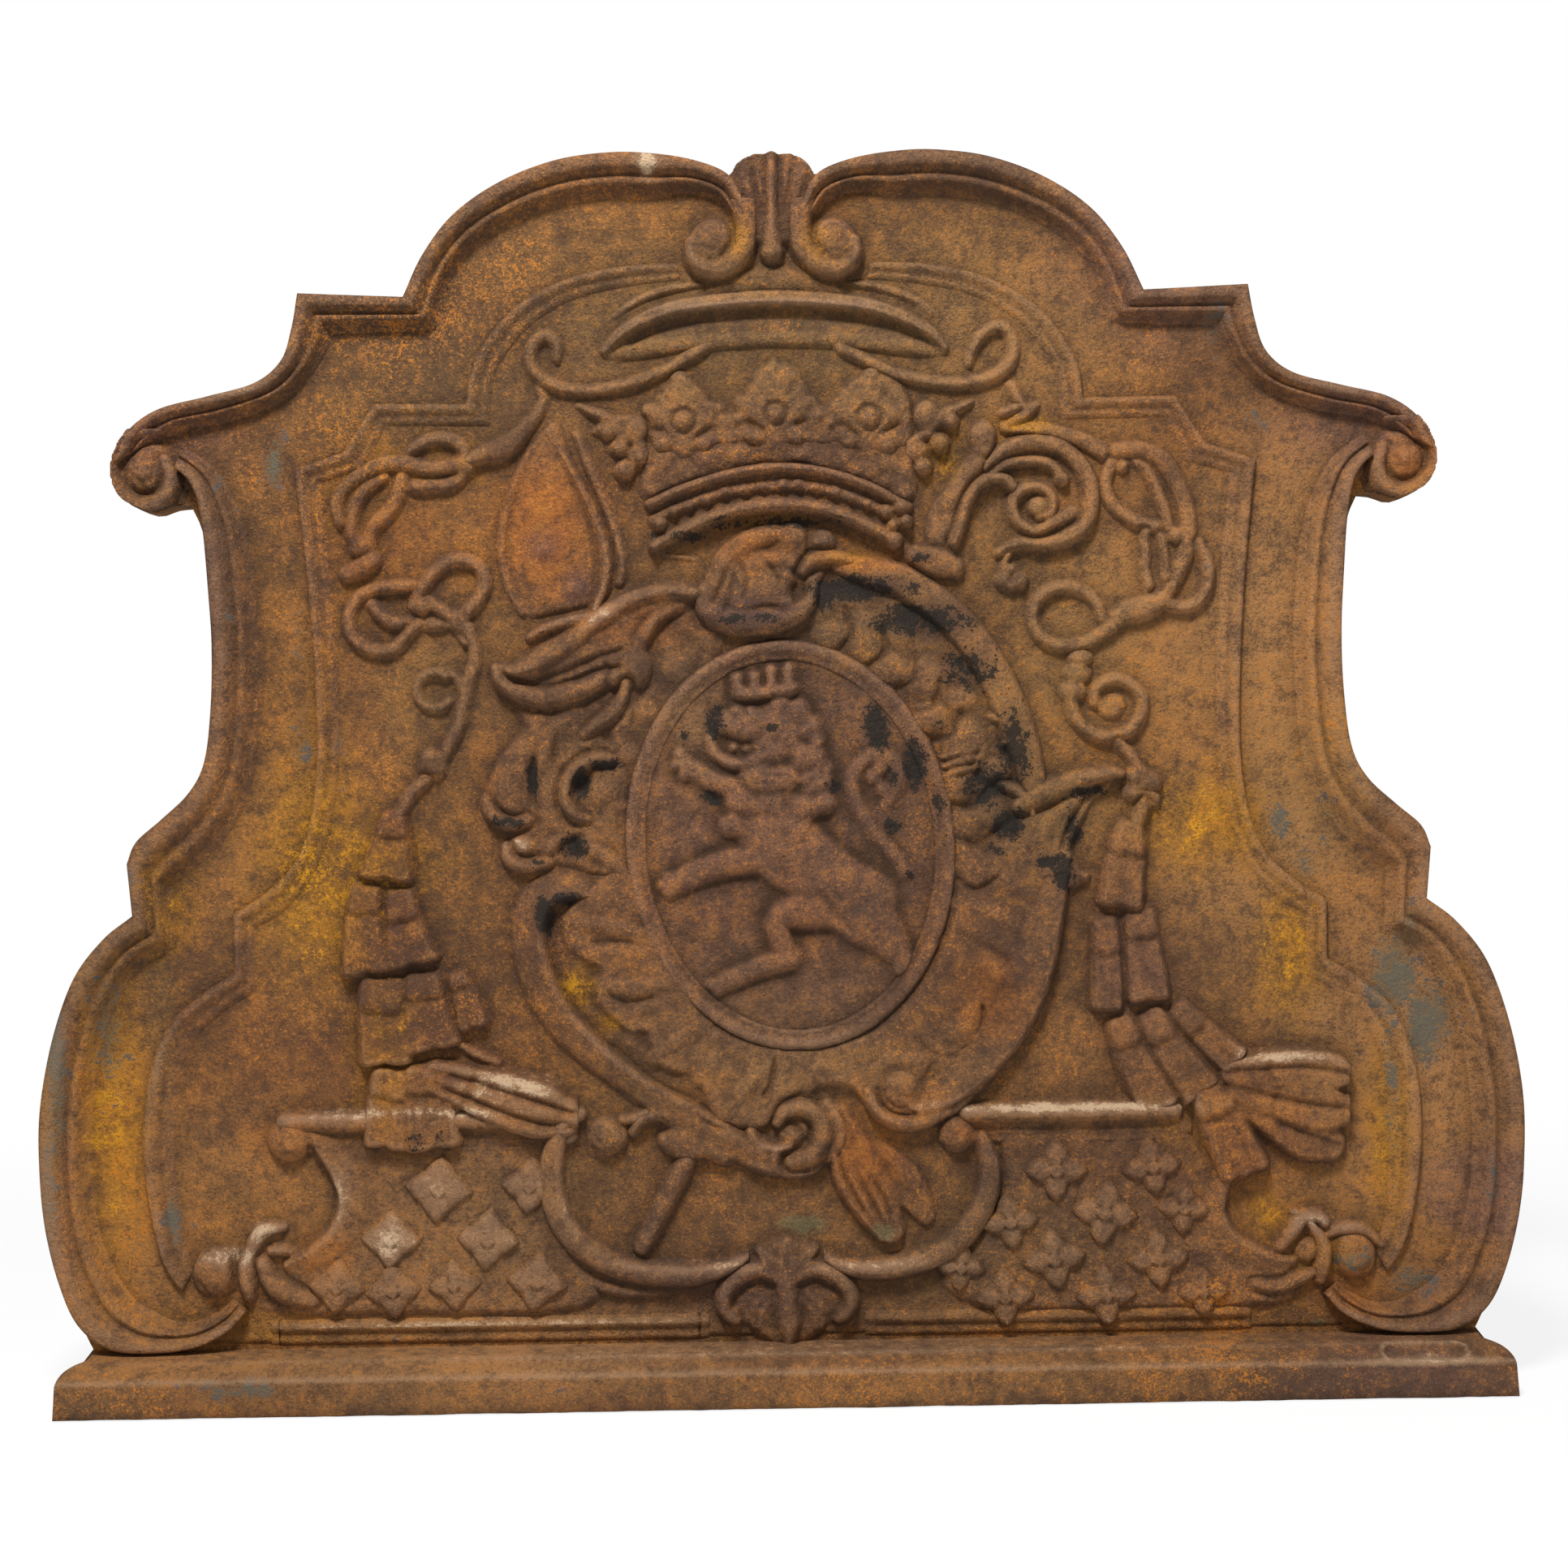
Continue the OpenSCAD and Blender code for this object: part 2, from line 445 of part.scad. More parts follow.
module right_tassel_rows() {
    tassels([
        [2, [[222, 367, 240, 367, 0.7], [214, 350, 237, 350, 1], [206, 330, 232, 332, 0.95], [205, 315, 231, 316, 0.7]]],
        [1, [[201, 310, 217, 310, 0.75], [200, 280, 218, 280, 1], [199, 252, 216, 252, 0.7]]],
        [2, [[221, 311, 240, 311, 0.75], [222, 285, 244, 285, 1], [224, 259, 246, 258, 0.7]]],
        [2, [[203, 246, 219, 243, 0.75], [211, 220, 232, 219, 1], [222, 196, 243, 198, 0.7]]],
        [2, [[223, 246, 241, 252, 0.75], [235, 222, 255, 231, 1], [247, 204, 267, 212, 0.7]]],
        [2, [[245, 252, 259, 258, 0.75], [257, 234, 274, 243, 1], [271, 217, 288, 228, 0.7]]]]);
}

module right_lower_tassels() {
    tassels([
        [2, [[250, 195, 276, 201, 0.75], [258, 172, 285, 178, 1], [266, 148, 292, 152, 0.7]]],
        [2, [[298, 233, 291, 214, 0.75], [314, 233, 310, 211, 1], [335, 228, 332, 207, 0.9], [350, 219, 347, 208, 0.5]]],
        [1, [[298, 205, 297, 194, 0.75], [320, 204, 319, 191, 1], [343, 195, 342, 186, 0.5]]],
        [1, [[299, 190, 298, 179, 0.75], [316, 185, 313, 173, 0.9], [331, 172, 328, 164, 0.5]]]]);
}

// ---- coronet ----

module coronet_band() {
    rows = ribbon([[-81, 583, -76, 551, 0.6], [-60, 590, -60, 562, 0.95], [-40, 597, -40, 570, 1], [-20, 602, -20, 574.5, 1],
        [0, 604, 0, 576, 1], [20, 602.5, 20, 575, 1], [40, 597, 40, 571, 1], [60, 590, 60, 561, 0.95], [84, 574, 73, 552, 0.6]]);
    color("#86583c") stand() lofts([rows], band_h, band_section);
}

module coronet_wall() {
    rows = ribbon([[-84, 596, -82, 586, 0.4], [-60, 605, -60, 592, 0.5], [-30, 612, -30, 601.5, 0.55], [0, 615, 0, 606, 0.55],
        [30, 612, 30, 602.5, 0.55], [60, 604, 60, 592, 0.5], [84, 592, 84, 577, 0.4]]);
    color("#7c5138") stand() lofts([rows], band_h);
}

module fleuron(x, z, rise, side_l, side_r) {
    leaf(x, z + 4, x - 1, z + rise, 22, fleuron_h);
    leaf(x - 4, z + 2, x - side_l, z + 14, 16, fleuron_h * 0.85);
    leaf(x + 4, z + 2, x + side_r, z + 13, 16, fleuron_h * 0.85);
    lump(x - 14, z - 10, 7, fleuron_h * 0.8);
    lump(x + 14, z - 10, 7, fleuron_h * 0.8);
    leaf(x, z - 14, x, z + 4, 14, fleuron_h * 0.9);
    lump(x, z, 7, fleuron_h * 1.15);
}

module coronet_fleurons() {
    color("#8c5c3e") stand() {
        fleuron(-60, 629, 32, 21, 20);
        fleuron(1, 636, 36, 22, 24);
        fleuron(64, 631, 29, 22, 23);
    }
}

module coronet_side_leaves() {
    color("#8c5c3e") stand() {
        lump(-94, 628, 8, fleuron_h);
        lump(-95, 610, 7.5, fleuron_h * 0.85);
        lump(-105, 618, 6.5, fleuron_h * 0.8);
        leaf(-96, 620, -117, 638, 12, fleuron_h * 0.8);
        lump(98, 634, 9, fleuron_h);
        lump(95, 613, 7.5, fleuron_h * 0.85);
        lump(107, 619, 7, fleuron_h * 0.8);
        leaf(100, 628, 124, 643, 12, fleuron_h * 0.8);
    }
}

// ---- mitre and crosier ----

module mitre() {
    rows = ribbon([[-163, 508, -116, 517, 0.7], [-175, 530, -109, 535, 0.95], [-178, 556, -108.5, 553, 1], [-174, 580, -116, 578, 1],
        [-166, 602, -124.5, 600, 1], [-154, 622, -133.5, 620, 0.9], [-146, 635, -139, 633.5, 0.6]]);
    color("#7f5540") stand() lofts([rows], mitre_h);
}

module mitre_horn() {
    horn = [[-129, 629, 6, 0.6], [-118.5, 602, 7], [-108.5, 578, 7], [-101, 553, 7], [-99.5, 539, 7], [-103, 528, 6, 0.7]];
    color("#7f5540") stand() lofts([stroke(horn)], mitre_h);
}

module crosier_staff() {
    staff = [[102, 531, 20, 0.7], [101, 541, 32, 1.1], [104, 553, 19, 0.8], [109, 564, 22, 1], [115, 577, 19, 1],
        [122, 590, 15, 0.9], [129, 600, 13, 0.9]];
    color("#835a42") stand() lofts([stroke(staff)], crosier_h);
}

module crosier_crook() {
    crook = [[139, 603, 10, 0.9], [151, 610, 10], [168, 613.5, 10], [185, 608, 10], [197, 594, 9], [200, 577, 9], [193, 563, 8.5],
        [180, 557, 8], [165, 557, 7.5], [155, 565, 7], [155, 577, 6.5, 0.9], [163, 584, 6, 0.9], [171, 581, 5.5, 0.8], [172, 573, 5, 0.7]];
    leaf_tail = [[171, 545, 5, 0.7], [158, 543, 9], [147, 536, 9], [144, 528, 8], [149, 522, 6, 0.8]];
    color("#835a42") stand() lofts([stroke(crook), stroke(leaf_tail)], crosier_h);
}

module crosier_foot() {
    color("#835a42") stand() lofts([stroke([[-69, 152, 14, 0.9], [-81, 128, 14, 1], [-93, 106, 13, 0.9]], 1)], crosier_h);
}

// ---- cartouche ----

module cartouche_crest_leaf() {
    curl = [[-36, 514, 16], [-24, 511, 19, 1.1], [-8, 509, 17], [8, 510, 14], [17, 515, 9, 0.8]];
    color("#8b5b3f") stand() {
        lofts([stroke(curl)], leaf_h);
        leaf(-16, 514, 3, 562, 30, leaf_h);
        leaf(-26, 514, -24, 554, 22, leaf_h * 0.95);
        leaf(-38, 516, -38, 544, 16, leaf_h * 0.8);
        leaf(0, 514, 24, 549, 18, leaf_h * 0.9);
        lump(27, 553, 6.5, leaf_h * 0.85);
        leaf(16, 542, 28, 554, 12, leaf_h * 0.8);
        lump(-38, 512, 8, leaf_h * 0.9);
        lump(16, 517, 5, leaf_h * 0.7);
    }
}

left_leaf_main = [[-53, 516, 14, 0.8], [-72, 516, 18], [-92, 509, 20, 1.1], [-112, 494, 20, 1.1], [-132, 474, 20], [-150, 462, 16],
    [-166, 463, 12, 0.9], [-177, 473, 8, 0.7]];
left_leaf_lobes = [
    [[-97, 508, 8], [-118, 507, 9], [-136, 503, 8], [-156, 500, 5]],
    [[-114, 494, 9], [-136, 487, 9], [-157, 484, 5]],
    [[-96, 474, 8], [-104, 456, 10], [-112, 442, 10], [-124, 434, 7]],
    [[-112, 449, 10], [-135, 436, 14], [-150, 420, 13], [-162, 402, 11], [-172, 389, 9], [-181, 383, 6]],
    [[-116, 432, 8], [-138, 416, 10], [-150, 399, 9], [-156, 386, 6]],
    [[-110, 412, 8], [-124, 412, 9], [-134, 402, 9], [-134, 390, 8], [-128, 382, 6]],
    [[-116, 384, 8], [-134, 373, 10], [-150, 362, 9], [-164, 357, 8], [-174, 360, 6]]];

module cartouche_left_leafage() {
    color("#8b5b3f") stand() {
        lofts([stroke(left_leaf_main)], leaf_h);
        lofts([stroke([[-100, 474, 9], [-106, 450, 10], [-108, 425, 10], [-107, 400, 9], [-110, 384, 8]], 1)], leaf_h * 0.6);
        for (pts = left_leaf_lobes) {
            lofts([stroke(pts, 1)], leaf_h * 0.85);
            lump(pts[len(pts) - 1][0], pts[len(pts) - 1][1], pts[len(pts) - 1][2] / 2, leaf_h * 0.6);
        }
    }
}

module cartouche_left_scroll() {
    scroll = [[-119, 332, 11, 0.7], [-131, 339, 15, 0.9], [-147, 341, 18], [-160, 331, 20], [-166, 312, 20], [-164, 290, 20],
        [-156, 266, 20], [-142, 246, 20], [-125, 229, 19], [-107, 213, 18], [-90, 200, 19], [-72, 186, 22], [-52, 174, 21],
        [-30, 166, 17], [-12, 160, 15], [5, 157, 14], [19, 162, 12], [25, 174, 10], [19, 185, 8, 0.9], [8, 187, 7, 0.8], [3, 181, 6, 0.7]];
    color("#875a40") stand() lofts([stroke(scroll, 1)], scroll_h);
}

module cartouche_petals() {
    petal_from = med_rim_w + 1.5;
    left = [[176, 28, 14], [200, 34, 20], [214, 34, 21], [228, 30, 20], [242, 28, 20], [257, 28, 18]];
    right = [[67, 24, 18], [52, 26, 20], [37, 28, 21], [22, 28, 20], [7, 26, 19], [-8, 22, 18], [-23, 19, 18], [-38, 19, 16]];
    petals = [for (p = concat(left, right))
        let (a = med_point(p[0], petal_from), b = med_point(p[0], petal_from + p[1] * 0.55), c = med_point(p[0], petal_from + p[1]))
        ribbon([[a[0] - (b[1] - a[1]) * p[2] * 0.36 / norm(b - a), a[1] + (b[0] - a[0]) * p[2] * 0.36 / norm(b - a),
            a[0] + (b[1] - a[1]) * p[2] * 0.36 / norm(b - a), a[1] - (b[0] - a[0]) * p[2] * 0.36 / norm(b - a), 0.7],
            [b[0] - (b[1] - a[1]) * p[2] * 0.5 / norm(b - a), b[1] + (b[0] - a[0]) * p[2] * 0.5 / norm(b - a),
            b[0] + (b[1] - a[1]) * p[2] * 0.5 / norm(b - a), b[1] - (b[0] - a[0]) * p[2] * 0.5 / norm(b - a), 1],
            [c[0] - (b[1] - a[1]) * p[2] * 0.18 / norm(b - a), c[1] + (b[0] - a[0]) * p[2] * 0.18 / norm(b - a),
            c[0] + (b[1] - a[1]) * p[2] * 0.18 / norm(b - a), c[1] - (b[0] - a[0]) * p[2] * 0.18 / norm(b - a), 0.5]], 1)];
    color("#8d5d41") stand() lofts(petals, petal_h);
}

module cartouche_right_band() {
    rows = ribbon([[37, 543, 38, 533, 0.6], [65, 540, 62, 530, 0.8], [97, 525, 90, 515, 0.95], [122, 508, 111, 497, 1],
        [141, 482, 128, 474, 1], [154, 453, 140, 448, 1], [162, 420, 149, 418, 1], [171, 396, 157, 397, 0.85]]);
    color("#875a40") stand() lofts([rows], scroll_h);
}

module cartouche_right_scroll() {
    scroll = [[151, 330, 24, 0.9], [156, 302, 28], [153, 270, 27], [143, 245, 25], [127, 222, 23], [108, 203, 20],
        [90, 191, 17], [74, 188, 13], [63, 194, 10, 0.9], [59, 204, 8, 0.7]];
    color("#875a40") stand() lofts([stroke(scroll)], scroll_h);
}

module horn_leaf() {
    upper = [[166, 383, 14, 0.9], [179, 391, 14], [193, 399, 13], [208, 404, 11], [220, 405, 6, 0.6]];
    lower = [[173, 366, 13, 0.9], [184, 352, 11], [194, 341, 6, 0.6]];
    color("#8b5b3f") stand() lofts([stroke(upper), stroke(lower)], leaf_h);
}

module leaf_tassel() {
    rows = ribbon([[32, 192, 49, 199, 0.7], [34, 175, 56, 183, 1], [33, 156, 64, 165, 1], [36, 141, 74, 150, 0.95],
        [50, 125, 80, 133, 0.6]]);
    color("#8b5b3f") stand() lofts(strands(rows, 3, 0.05), tassel_h);
}

// ---- medallion and lion ----

module medallion() {
    color("#7b543f") stand() linear_extrude(medallion_h) polygon(med_ring(0));
}

module medallion_rim() {
    color("#85583e") stand() {
        linear_extrude(medallion_rim_h * 0.7) difference() {
            polygon(med_ring(med_rim_w));
            polygon(med_ring(0));
        }
        linear_extrude(medallion_rim_h) difference() {
            polygon(med_ring(med_rim_w * 0.75));
            polygon(med_ring(med_rim_w * 0.25));
        }
    }
}

lion_strokes = [
    [[-4, 408, 42, 0.9], [-5, 385, 50, 1.1], [6, 360, 48, 1.15], [28, 342, 44, 1.1], [52, 326, 40, 1.05], [66, 306, 30, 0.95],
        [74, 284, 18, 0.8], [72, 271, 13, 0.7]],
    [[42, 330, 32, 0.9], [18, 322, 26, 1], [2, 316, 20, 0.95], [-1, 304, 15, 0.85], [6, 291, 14, 0.75], [-12, 284, 14, 0.75],
        [-34, 275, 14, 0.7], [-45, 271, 9, 0.5]],
    [[-8, 356, 24, 0.9], [-28, 350, 18, 0.85], [-50, 343, 15, 0.8], [-70, 336, 13, 0.65]],
    [[-14, 388, 22, 0.9], [-32, 397, 17, 0.85], [-48, 406, 14, 0.8], [-61, 414, 12, 0.65]],
    [[72, 340, 9, 0.5], [66, 354, 9, 0.6], [55, 372, 9, 0.6], [48, 390, 9, 0.6], [48, 407, 9, 0.6], [56, 418, 9, 0.6],
        [67, 420, 10, 0.7], [74, 411, 9, 0.6], [72, 400, 7, 0.5]]];

module lion() {
    color("#84593f") stand(face_y - medallion_h) {
        for (pts = lion_strokes) lofts([stroke(pts, 1)], lion_h);
        lump(-9, 432, 22, lion_h * 1.25);
        lump(-28, 428, 13, lion_h * 1.15);
        lump(-34, 436, 6, lion_h * 0.9);
        lump(13, 446, 9, lion_h);
        lump(20, 430, 11, lion_h);
        lump(22, 412, 12, lion_h);
        lump(22, 392, 11, lion_h * 0.9);
        lump(-30, 416, 7, lion_h * 0.8);
        lump(-4, 449, 6, lion_h);
        lump(-70, 336, 7, lion_h * 0.6);
        lump(-60, 414, 7, lion_h * 0.6);
    }
}

module lion_crown() {
    rows = ribbon([[-22, 466, -18, 456, 0.7], [-9, 471, -7, 457.5, 0.9], [4, 475, 5, 459, 0.9], [15, 467, 12, 461, 0.6]]);
    color("#8c5e44") stand(face_y - medallion_h) lofts(strands(rows, 1), lion_h);
}

// ---- pedestal ----

// Straight thumb moulding between two places along the plate
module rail_run(x0, x1, z0, z1) {
    w = pz(z1) - pz(z0);
    translate([px(x0), pz(z0), 0]) rotate([90, 0, 90]) linear_extrude(px(x1 - x0))
        polygon([[0, 0], [w, 0], [w, rail_h * 0.6], [w * 0.85, rail_h * 0.92], [w * 0.6, rail_h], [w * 0.3, rail_h * 0.9], [0, rail_h * 0.4]]);
}

module left_rail() {
    color("#80563c") stand() {
        rail_run(-295, -269, 180, 191);
        rail_run(-206, -161, 180, 191);
    }
}
module right_rail() {
    color("#80563c") stand() rail_run(148, 217, 178, 190);
}

module left_bracket() {
    arm = [[-303, 172, 12, 0.9], [-290, 162, 14], [-283, 146, 14], [-285, 126, 14], [-296, 109, 13], [-311, 99, 10, 0.7]];
    stem = [[-337, 70, 10, 0.8], [-324, 71, 12], [-308, 76, 8, 0.6]];
    sprig = [[-343, 84, 8, 0.7], [-345, 98, 11], [-342, 110, 8], [-333, 118, 8], [-320, 118, 5, 0.6]];
    color("#80563c") stand() {
        volute(-318, 180, 11, rail_h * 0.85);
        lofts([stroke(arm), stroke(stem), stroke(sprig)], rail_h);
    }
}
module right_bracket() {
    arm = [[282, 139, 12, 0.8], [275, 122, 14], [281, 106, 14], [297, 95, 13], [318, 88, 9, 0.7]];
    sprig = [[322, 106, 9, 0.7], [334, 114, 11], [345, 122, 7, 0.6]];
    color("#80563c") stand() lofts([stroke(arm), stroke(sprig)], rail_h);
}

module left_lower_scroll() {
    arm = [[-137, 183, 9, 0.7], [-148, 168, 15], [-151, 142, 19], [-142, 113, 19], [-120, 93, 19], [-86, 84, 17], [-53, 84, 11, 0.7]];
    color("#80563c") stand() {
        volute(-118, 172, 11.5, rail_h * 0.85);
        lofts([stroke(arm)], scroll_h);
    }
}
module right_lower_scroll() {
    arm = [[132, 162, 10, 0.7], [133, 141, 15], [121, 114, 16], [98, 97, 17], [72, 87, 14], [53, 85, 10, 0.7]];
    color("#80563c") stand() {
        volute(113, 172, 10.5, rail_h * 0.85);
        lofts([stroke(arm)], scroll_h);
    }
}

module pendant() {
    color("#8b5b3f") stand() {
        for (p = [[42, 62], [38, 84], [21, 100], [0, 105]]) for (s = p[0] > 0 ? [-1, 1] : [1])
            leaf(s * p[0] * 0.15, 64, s * p[0], p[1], 20, pendant_h * 0.8);
        leaf(0, 66, 0, 47, 20, pendant_h);
        lump(0, 68, 12, pendant_h * 1.1);
        lump(0, 50, 6, pendant_h * 0.8);
    }
}

// Four petals and a button, cut straight down to the plate
module floret(x, z) {
    lobe = floret_r * width_k;
    translate([px(x), pz(z), 0]) {
        linear_extrude(floret_h) union() {
            for (a = [45 : 90 : 315]) translate([lobe * 0.58 * cos(a), lobe * 0.58 * sin(a)]) circle(r = lobe * 0.42, $fn = 32);
            circle(r = lobe * 0.45, $fn = 32);
        }
        cylinder(r = lobe * 0.25, h = floret_h * 1.5, $fn = 32);
    }
}

module left_florets() {
    color("#8a5c42") stand()
        for (p = [[-228, 142], [-253, 113], [-193, 110], [-175, 143], [-285, 80], [-253, 78], [-215, 82], [-163, 80]]) floret(p[0], p[1]);
}
module right_florets() {
    color("#8a5c42") stand()
        for (p = [[165, 148], [235, 148], [205, 122], [255, 122], [143, 112], [175, 95], [240, 90], [140, 70], [203, 70], [268, 70]]) floret(p[0], p[1]);
}

// ---- assembly ----

backboard();
foot();
lower_fillet();
left_upper_rim();
right_upper_rim();
left_flank_rim();
right_flank_rim();
left_crest_volute();
right_crest_volute();
left_ear_volute();
right_ear_volute();
crest_shell();
left_inner_frame();
right_inner_frame();
left_foot_volute();
right_foot_volute();
hat_brim();
hat_crown();
left_hat_cord();
right_hat_cord();
left_cord_knots();
right_cord_knots();
left_cord_drop();
right_cord_drop();
left_tassel_rows();
left_lower_tassels();
right_tassel_rows();
right_lower_tassels();
coronet_band();
coronet_wall();
coronet_fleurons();
coronet_side_leaves();
mitre();
mitre_horn();
crosier_staff();
crosier_crook();
crosier_foot();
cartouche_crest_leaf();
cartouche_left_leafage();
cartouche_left_scroll();
cartouche_petals();
cartouche_right_band();
cartouche_right_scroll();
horn_leaf();
leaf_tassel();
medallion();
medallion_rim();
lion();
lion_crown();
left_rail();
right_rail();
left_bracket();
right_bracket();
left_lower_scroll();
right_lower_scroll();
pendant();
left_florets();
right_florets();
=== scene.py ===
"""Looks of a cast-iron fireback: rounded, rusted castings laid over the frame's solids."""

import math

import bmesh
import bpy
import numpy as np
from mathutils import Matrix, Vector


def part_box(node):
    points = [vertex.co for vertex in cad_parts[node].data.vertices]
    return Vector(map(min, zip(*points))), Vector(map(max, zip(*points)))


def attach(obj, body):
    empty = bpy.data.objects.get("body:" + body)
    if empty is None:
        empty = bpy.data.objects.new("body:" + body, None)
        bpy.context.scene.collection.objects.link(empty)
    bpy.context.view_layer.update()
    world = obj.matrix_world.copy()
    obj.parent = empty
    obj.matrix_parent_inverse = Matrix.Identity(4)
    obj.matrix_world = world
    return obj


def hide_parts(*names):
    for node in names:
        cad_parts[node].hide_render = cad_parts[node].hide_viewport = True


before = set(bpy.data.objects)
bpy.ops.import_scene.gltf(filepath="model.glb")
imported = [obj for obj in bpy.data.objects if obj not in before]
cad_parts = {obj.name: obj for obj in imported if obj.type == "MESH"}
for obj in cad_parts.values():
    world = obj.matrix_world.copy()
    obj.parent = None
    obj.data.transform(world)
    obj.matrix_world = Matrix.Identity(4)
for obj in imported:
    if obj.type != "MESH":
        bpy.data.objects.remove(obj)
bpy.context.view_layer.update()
scene = bpy.context.scene

# ---- the drawing sheet, in mm: X right, Z up, as the ornaments are laid out ----

MM = 0.001
TOP_H = 797.0
FOOT_H, FOOT_D, FOOT_HALF = 33.0, 62.0, 459.0
FASCIA_H, LEDGE_D, FOOT_REACH = 22.0, 44.0, 15.0
BACK_Y, FACE_Y = 31.0, 11.0
SHEET_FOOT, SHEET_TOP = 42.0, 805.5
SCALE_Z = (TOP_H - FOOT_H) / (SHEET_TOP - SHEET_FOOT)
PITCH = 1.1


def sheet_z(z):
    """Height on the drawing sheet of a height z above the hearth, both in mm."""
    return (z - FOOT_H) / SCALE_Z + SHEET_FOOT


def place(x, z, h):
    """Point of the part, in metres, from sheet x and z and height h in front of the plate's face."""
    return np.stack([x, FACE_Y - h, FOOT_H + (z - SHEET_FOOT) * SCALE_Z], -1) * MM


def flow(points, step):
    """Smooth line through points, with values carried along, at about step mm apart."""
    p = np.asarray(points, float)
    if len(p) < 3:
        n = max(2, int(np.linalg.norm(p[-1, :2] - p[0, :2]) / step))
        t = np.linspace(0, 1, n)[:, None]
        return p[0] * (1 - t) + p[-1] * t
    ends = np.vstack([2 * p[0] - p[1], p, 2 * p[-1] - p[-2]])
    rows = []
    for a, b, c, d in zip(ends, ends[1:], ends[2:], ends[3:]):
        n = max(1, int(np.linalg.norm((c - b)[:2]) / step))
        t = (np.arange(n) / n)[:, None]
        bend, twist = 2 * a - 5 * b + 4 * c - d, 3 * b - a - 3 * c + d
        rows.append(0.5 * (2 * b + (c - a) * t + bend * t ** 2 + twist * t ** 3))
    rows.append(p[-1:])
    return np.vstack(rows)


def blur(a, mm, pitch=PITCH):
    """Gaussian softening of a grid by mm."""
    r = max(1, int(3 * mm / pitch))
    k = np.exp(-0.5 * (np.arange(-r, r + 1) * pitch / mm) ** 2)
    k /= k.sum()
    for axis in (0, 1):
        pad = [(r, r) if i == axis else (0, 0) for i in (0, 1)]
        b = np.pad(a, pad, "edge")
        a = sum(k[i] * (b[i:i + a.shape[0]] if axis == 0 else b[:, i:i + a.shape[1]]) for i in range(2 * r + 1))
    return a


def waves(x, z, size, seed):
    """Soft random waves of about size mm, from -1 to 1."""
    rng = np.random.default_rng(seed)
    total = np.zeros_like(x)
    for _ in range(9):
        a = rng.uniform(0, 2 * math.pi)
        k = 2 * math.pi / (size * rng.uniform(0.6, 1.7))
        total += np.sin(k * (x * math.cos(a) + z * math.sin(a)) + rng.uniform(0, 6.28))
    return total / 4.5


# ---- relief: heights in mm above the plate, on a grid that covers one ornament ----

SPREAD = 3 * PITCH
SHEET_X = np.arange(-148, 149) * SPREAD
SHEET_Z = np.arange(10, 248) * SPREAD
SHEET_H = np.zeros((len(SHEET_Z), len(SHEET_X)))


def sampled(grid, x, z, x0=SHEET_X[0], z0=SHEET_Z[0], pitch=SPREAD):
    """Value of a grid between its points."""
    u = np.clip((x - x0) / pitch, 0, grid.shape[1] - 1.001)
    v = np.clip((z - z0) / pitch, 0, grid.shape[0] - 1.001)
    i, j = u.astype(int), v.astype(int)
    s, t = u - i, v - j
    lower = grid[j, i] * (1 - s) + grid[j, i + 1] * s
    upper = grid[j + 1, i] * (1 - s) + grid[j + 1, i + 1] * s
    return lower * (1 - t) + upper * t


def points_of(me):
    """A mesh's points in mm."""
    co = np.empty(len(me.vertices) * 3, np.float32)
    me.vertices.foreach_get("co", co)
    return co.reshape(-1, 3) * 1000.0


def imprint(node, grid, x0, z0, pitch, level=None):
    """Raises a grid to the front of one solid of the frame, or to one level all over it."""
    me = node.data
    co = points_of(me)
    me.calc_loop_triangles()
    tri = np.empty(len(me.loop_triangles) * 3, np.int32)
    me.loop_triangles.foreach_get("vertices", tri)
    p = np.stack([(co[:, 0] - x0) / pitch, (sheet_z(co[:, 2]) - z0) / pitch, FACE_Y - co[:, 1]], -1)
    for a, b, c in p[tri.reshape(-1, 3)]:
        (bx, bz, bh), (cx, cz, ch) = b - a, c - a
        area = bx * cz - cx * bz
        if abs(area) < 1e-6 or (level is None and max(a[2], b[2], c[2]) < 0.05):
            continue
        i0, j0 = (max(0, math.ceil(min(a[k], b[k], c[k]))) for k in (0, 1))
        i1, j1 = (min(grid.shape[1 - k], int(max(a[k], b[k], c[k])) + 1) for k in (0, 1))
        if i1 <= i0 or j1 <= j0:
            continue
        gx, gz = np.meshgrid(np.arange(i0, i1), np.arange(j0, j1))
        u = ((gx - a[0]) * cz - (gz - a[1]) * cx) / area
        v = ((gz - a[1]) * bx - (gx - a[0]) * bz) / area
        inside = (u >= -1e-4) & (v >= -1e-4) & (u + v <= 1.0001)
        h = a[2] + u * bh + v * ch if level is None else level
        part = grid[j0:j1, i0:i1]
        np.maximum(part, np.where(inside, h, 0), out=part)


def plate_share(x0, z0, shape, pitch, soft):
    """1 well inside the plate's outline and 0 outside it, softened by soft mm. It goes on below the foot's top."""
    g = np.zeros(shape)
    imprint(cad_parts["backboard"], g, x0, z0, pitch, level=1.0)
    first = math.ceil((SHEET_FOOT + 1.5 - z0) / pitch)
    if 0 < first < shape[0]:
        g[:first] = g[first]
    return blur(g, soft, pitch)


def lengths(p):
    """Length of a line from its start to each of its points."""
    return np.concatenate([[0], np.cumsum(np.linalg.norm(np.diff(p, axis=0), axis=1))])


CHUNK = 14  # points of a line that are looked at together
SAND = ((1.5, 0.22), (3.4, 0.3))  # size of the sand's grain in mm, and its strength


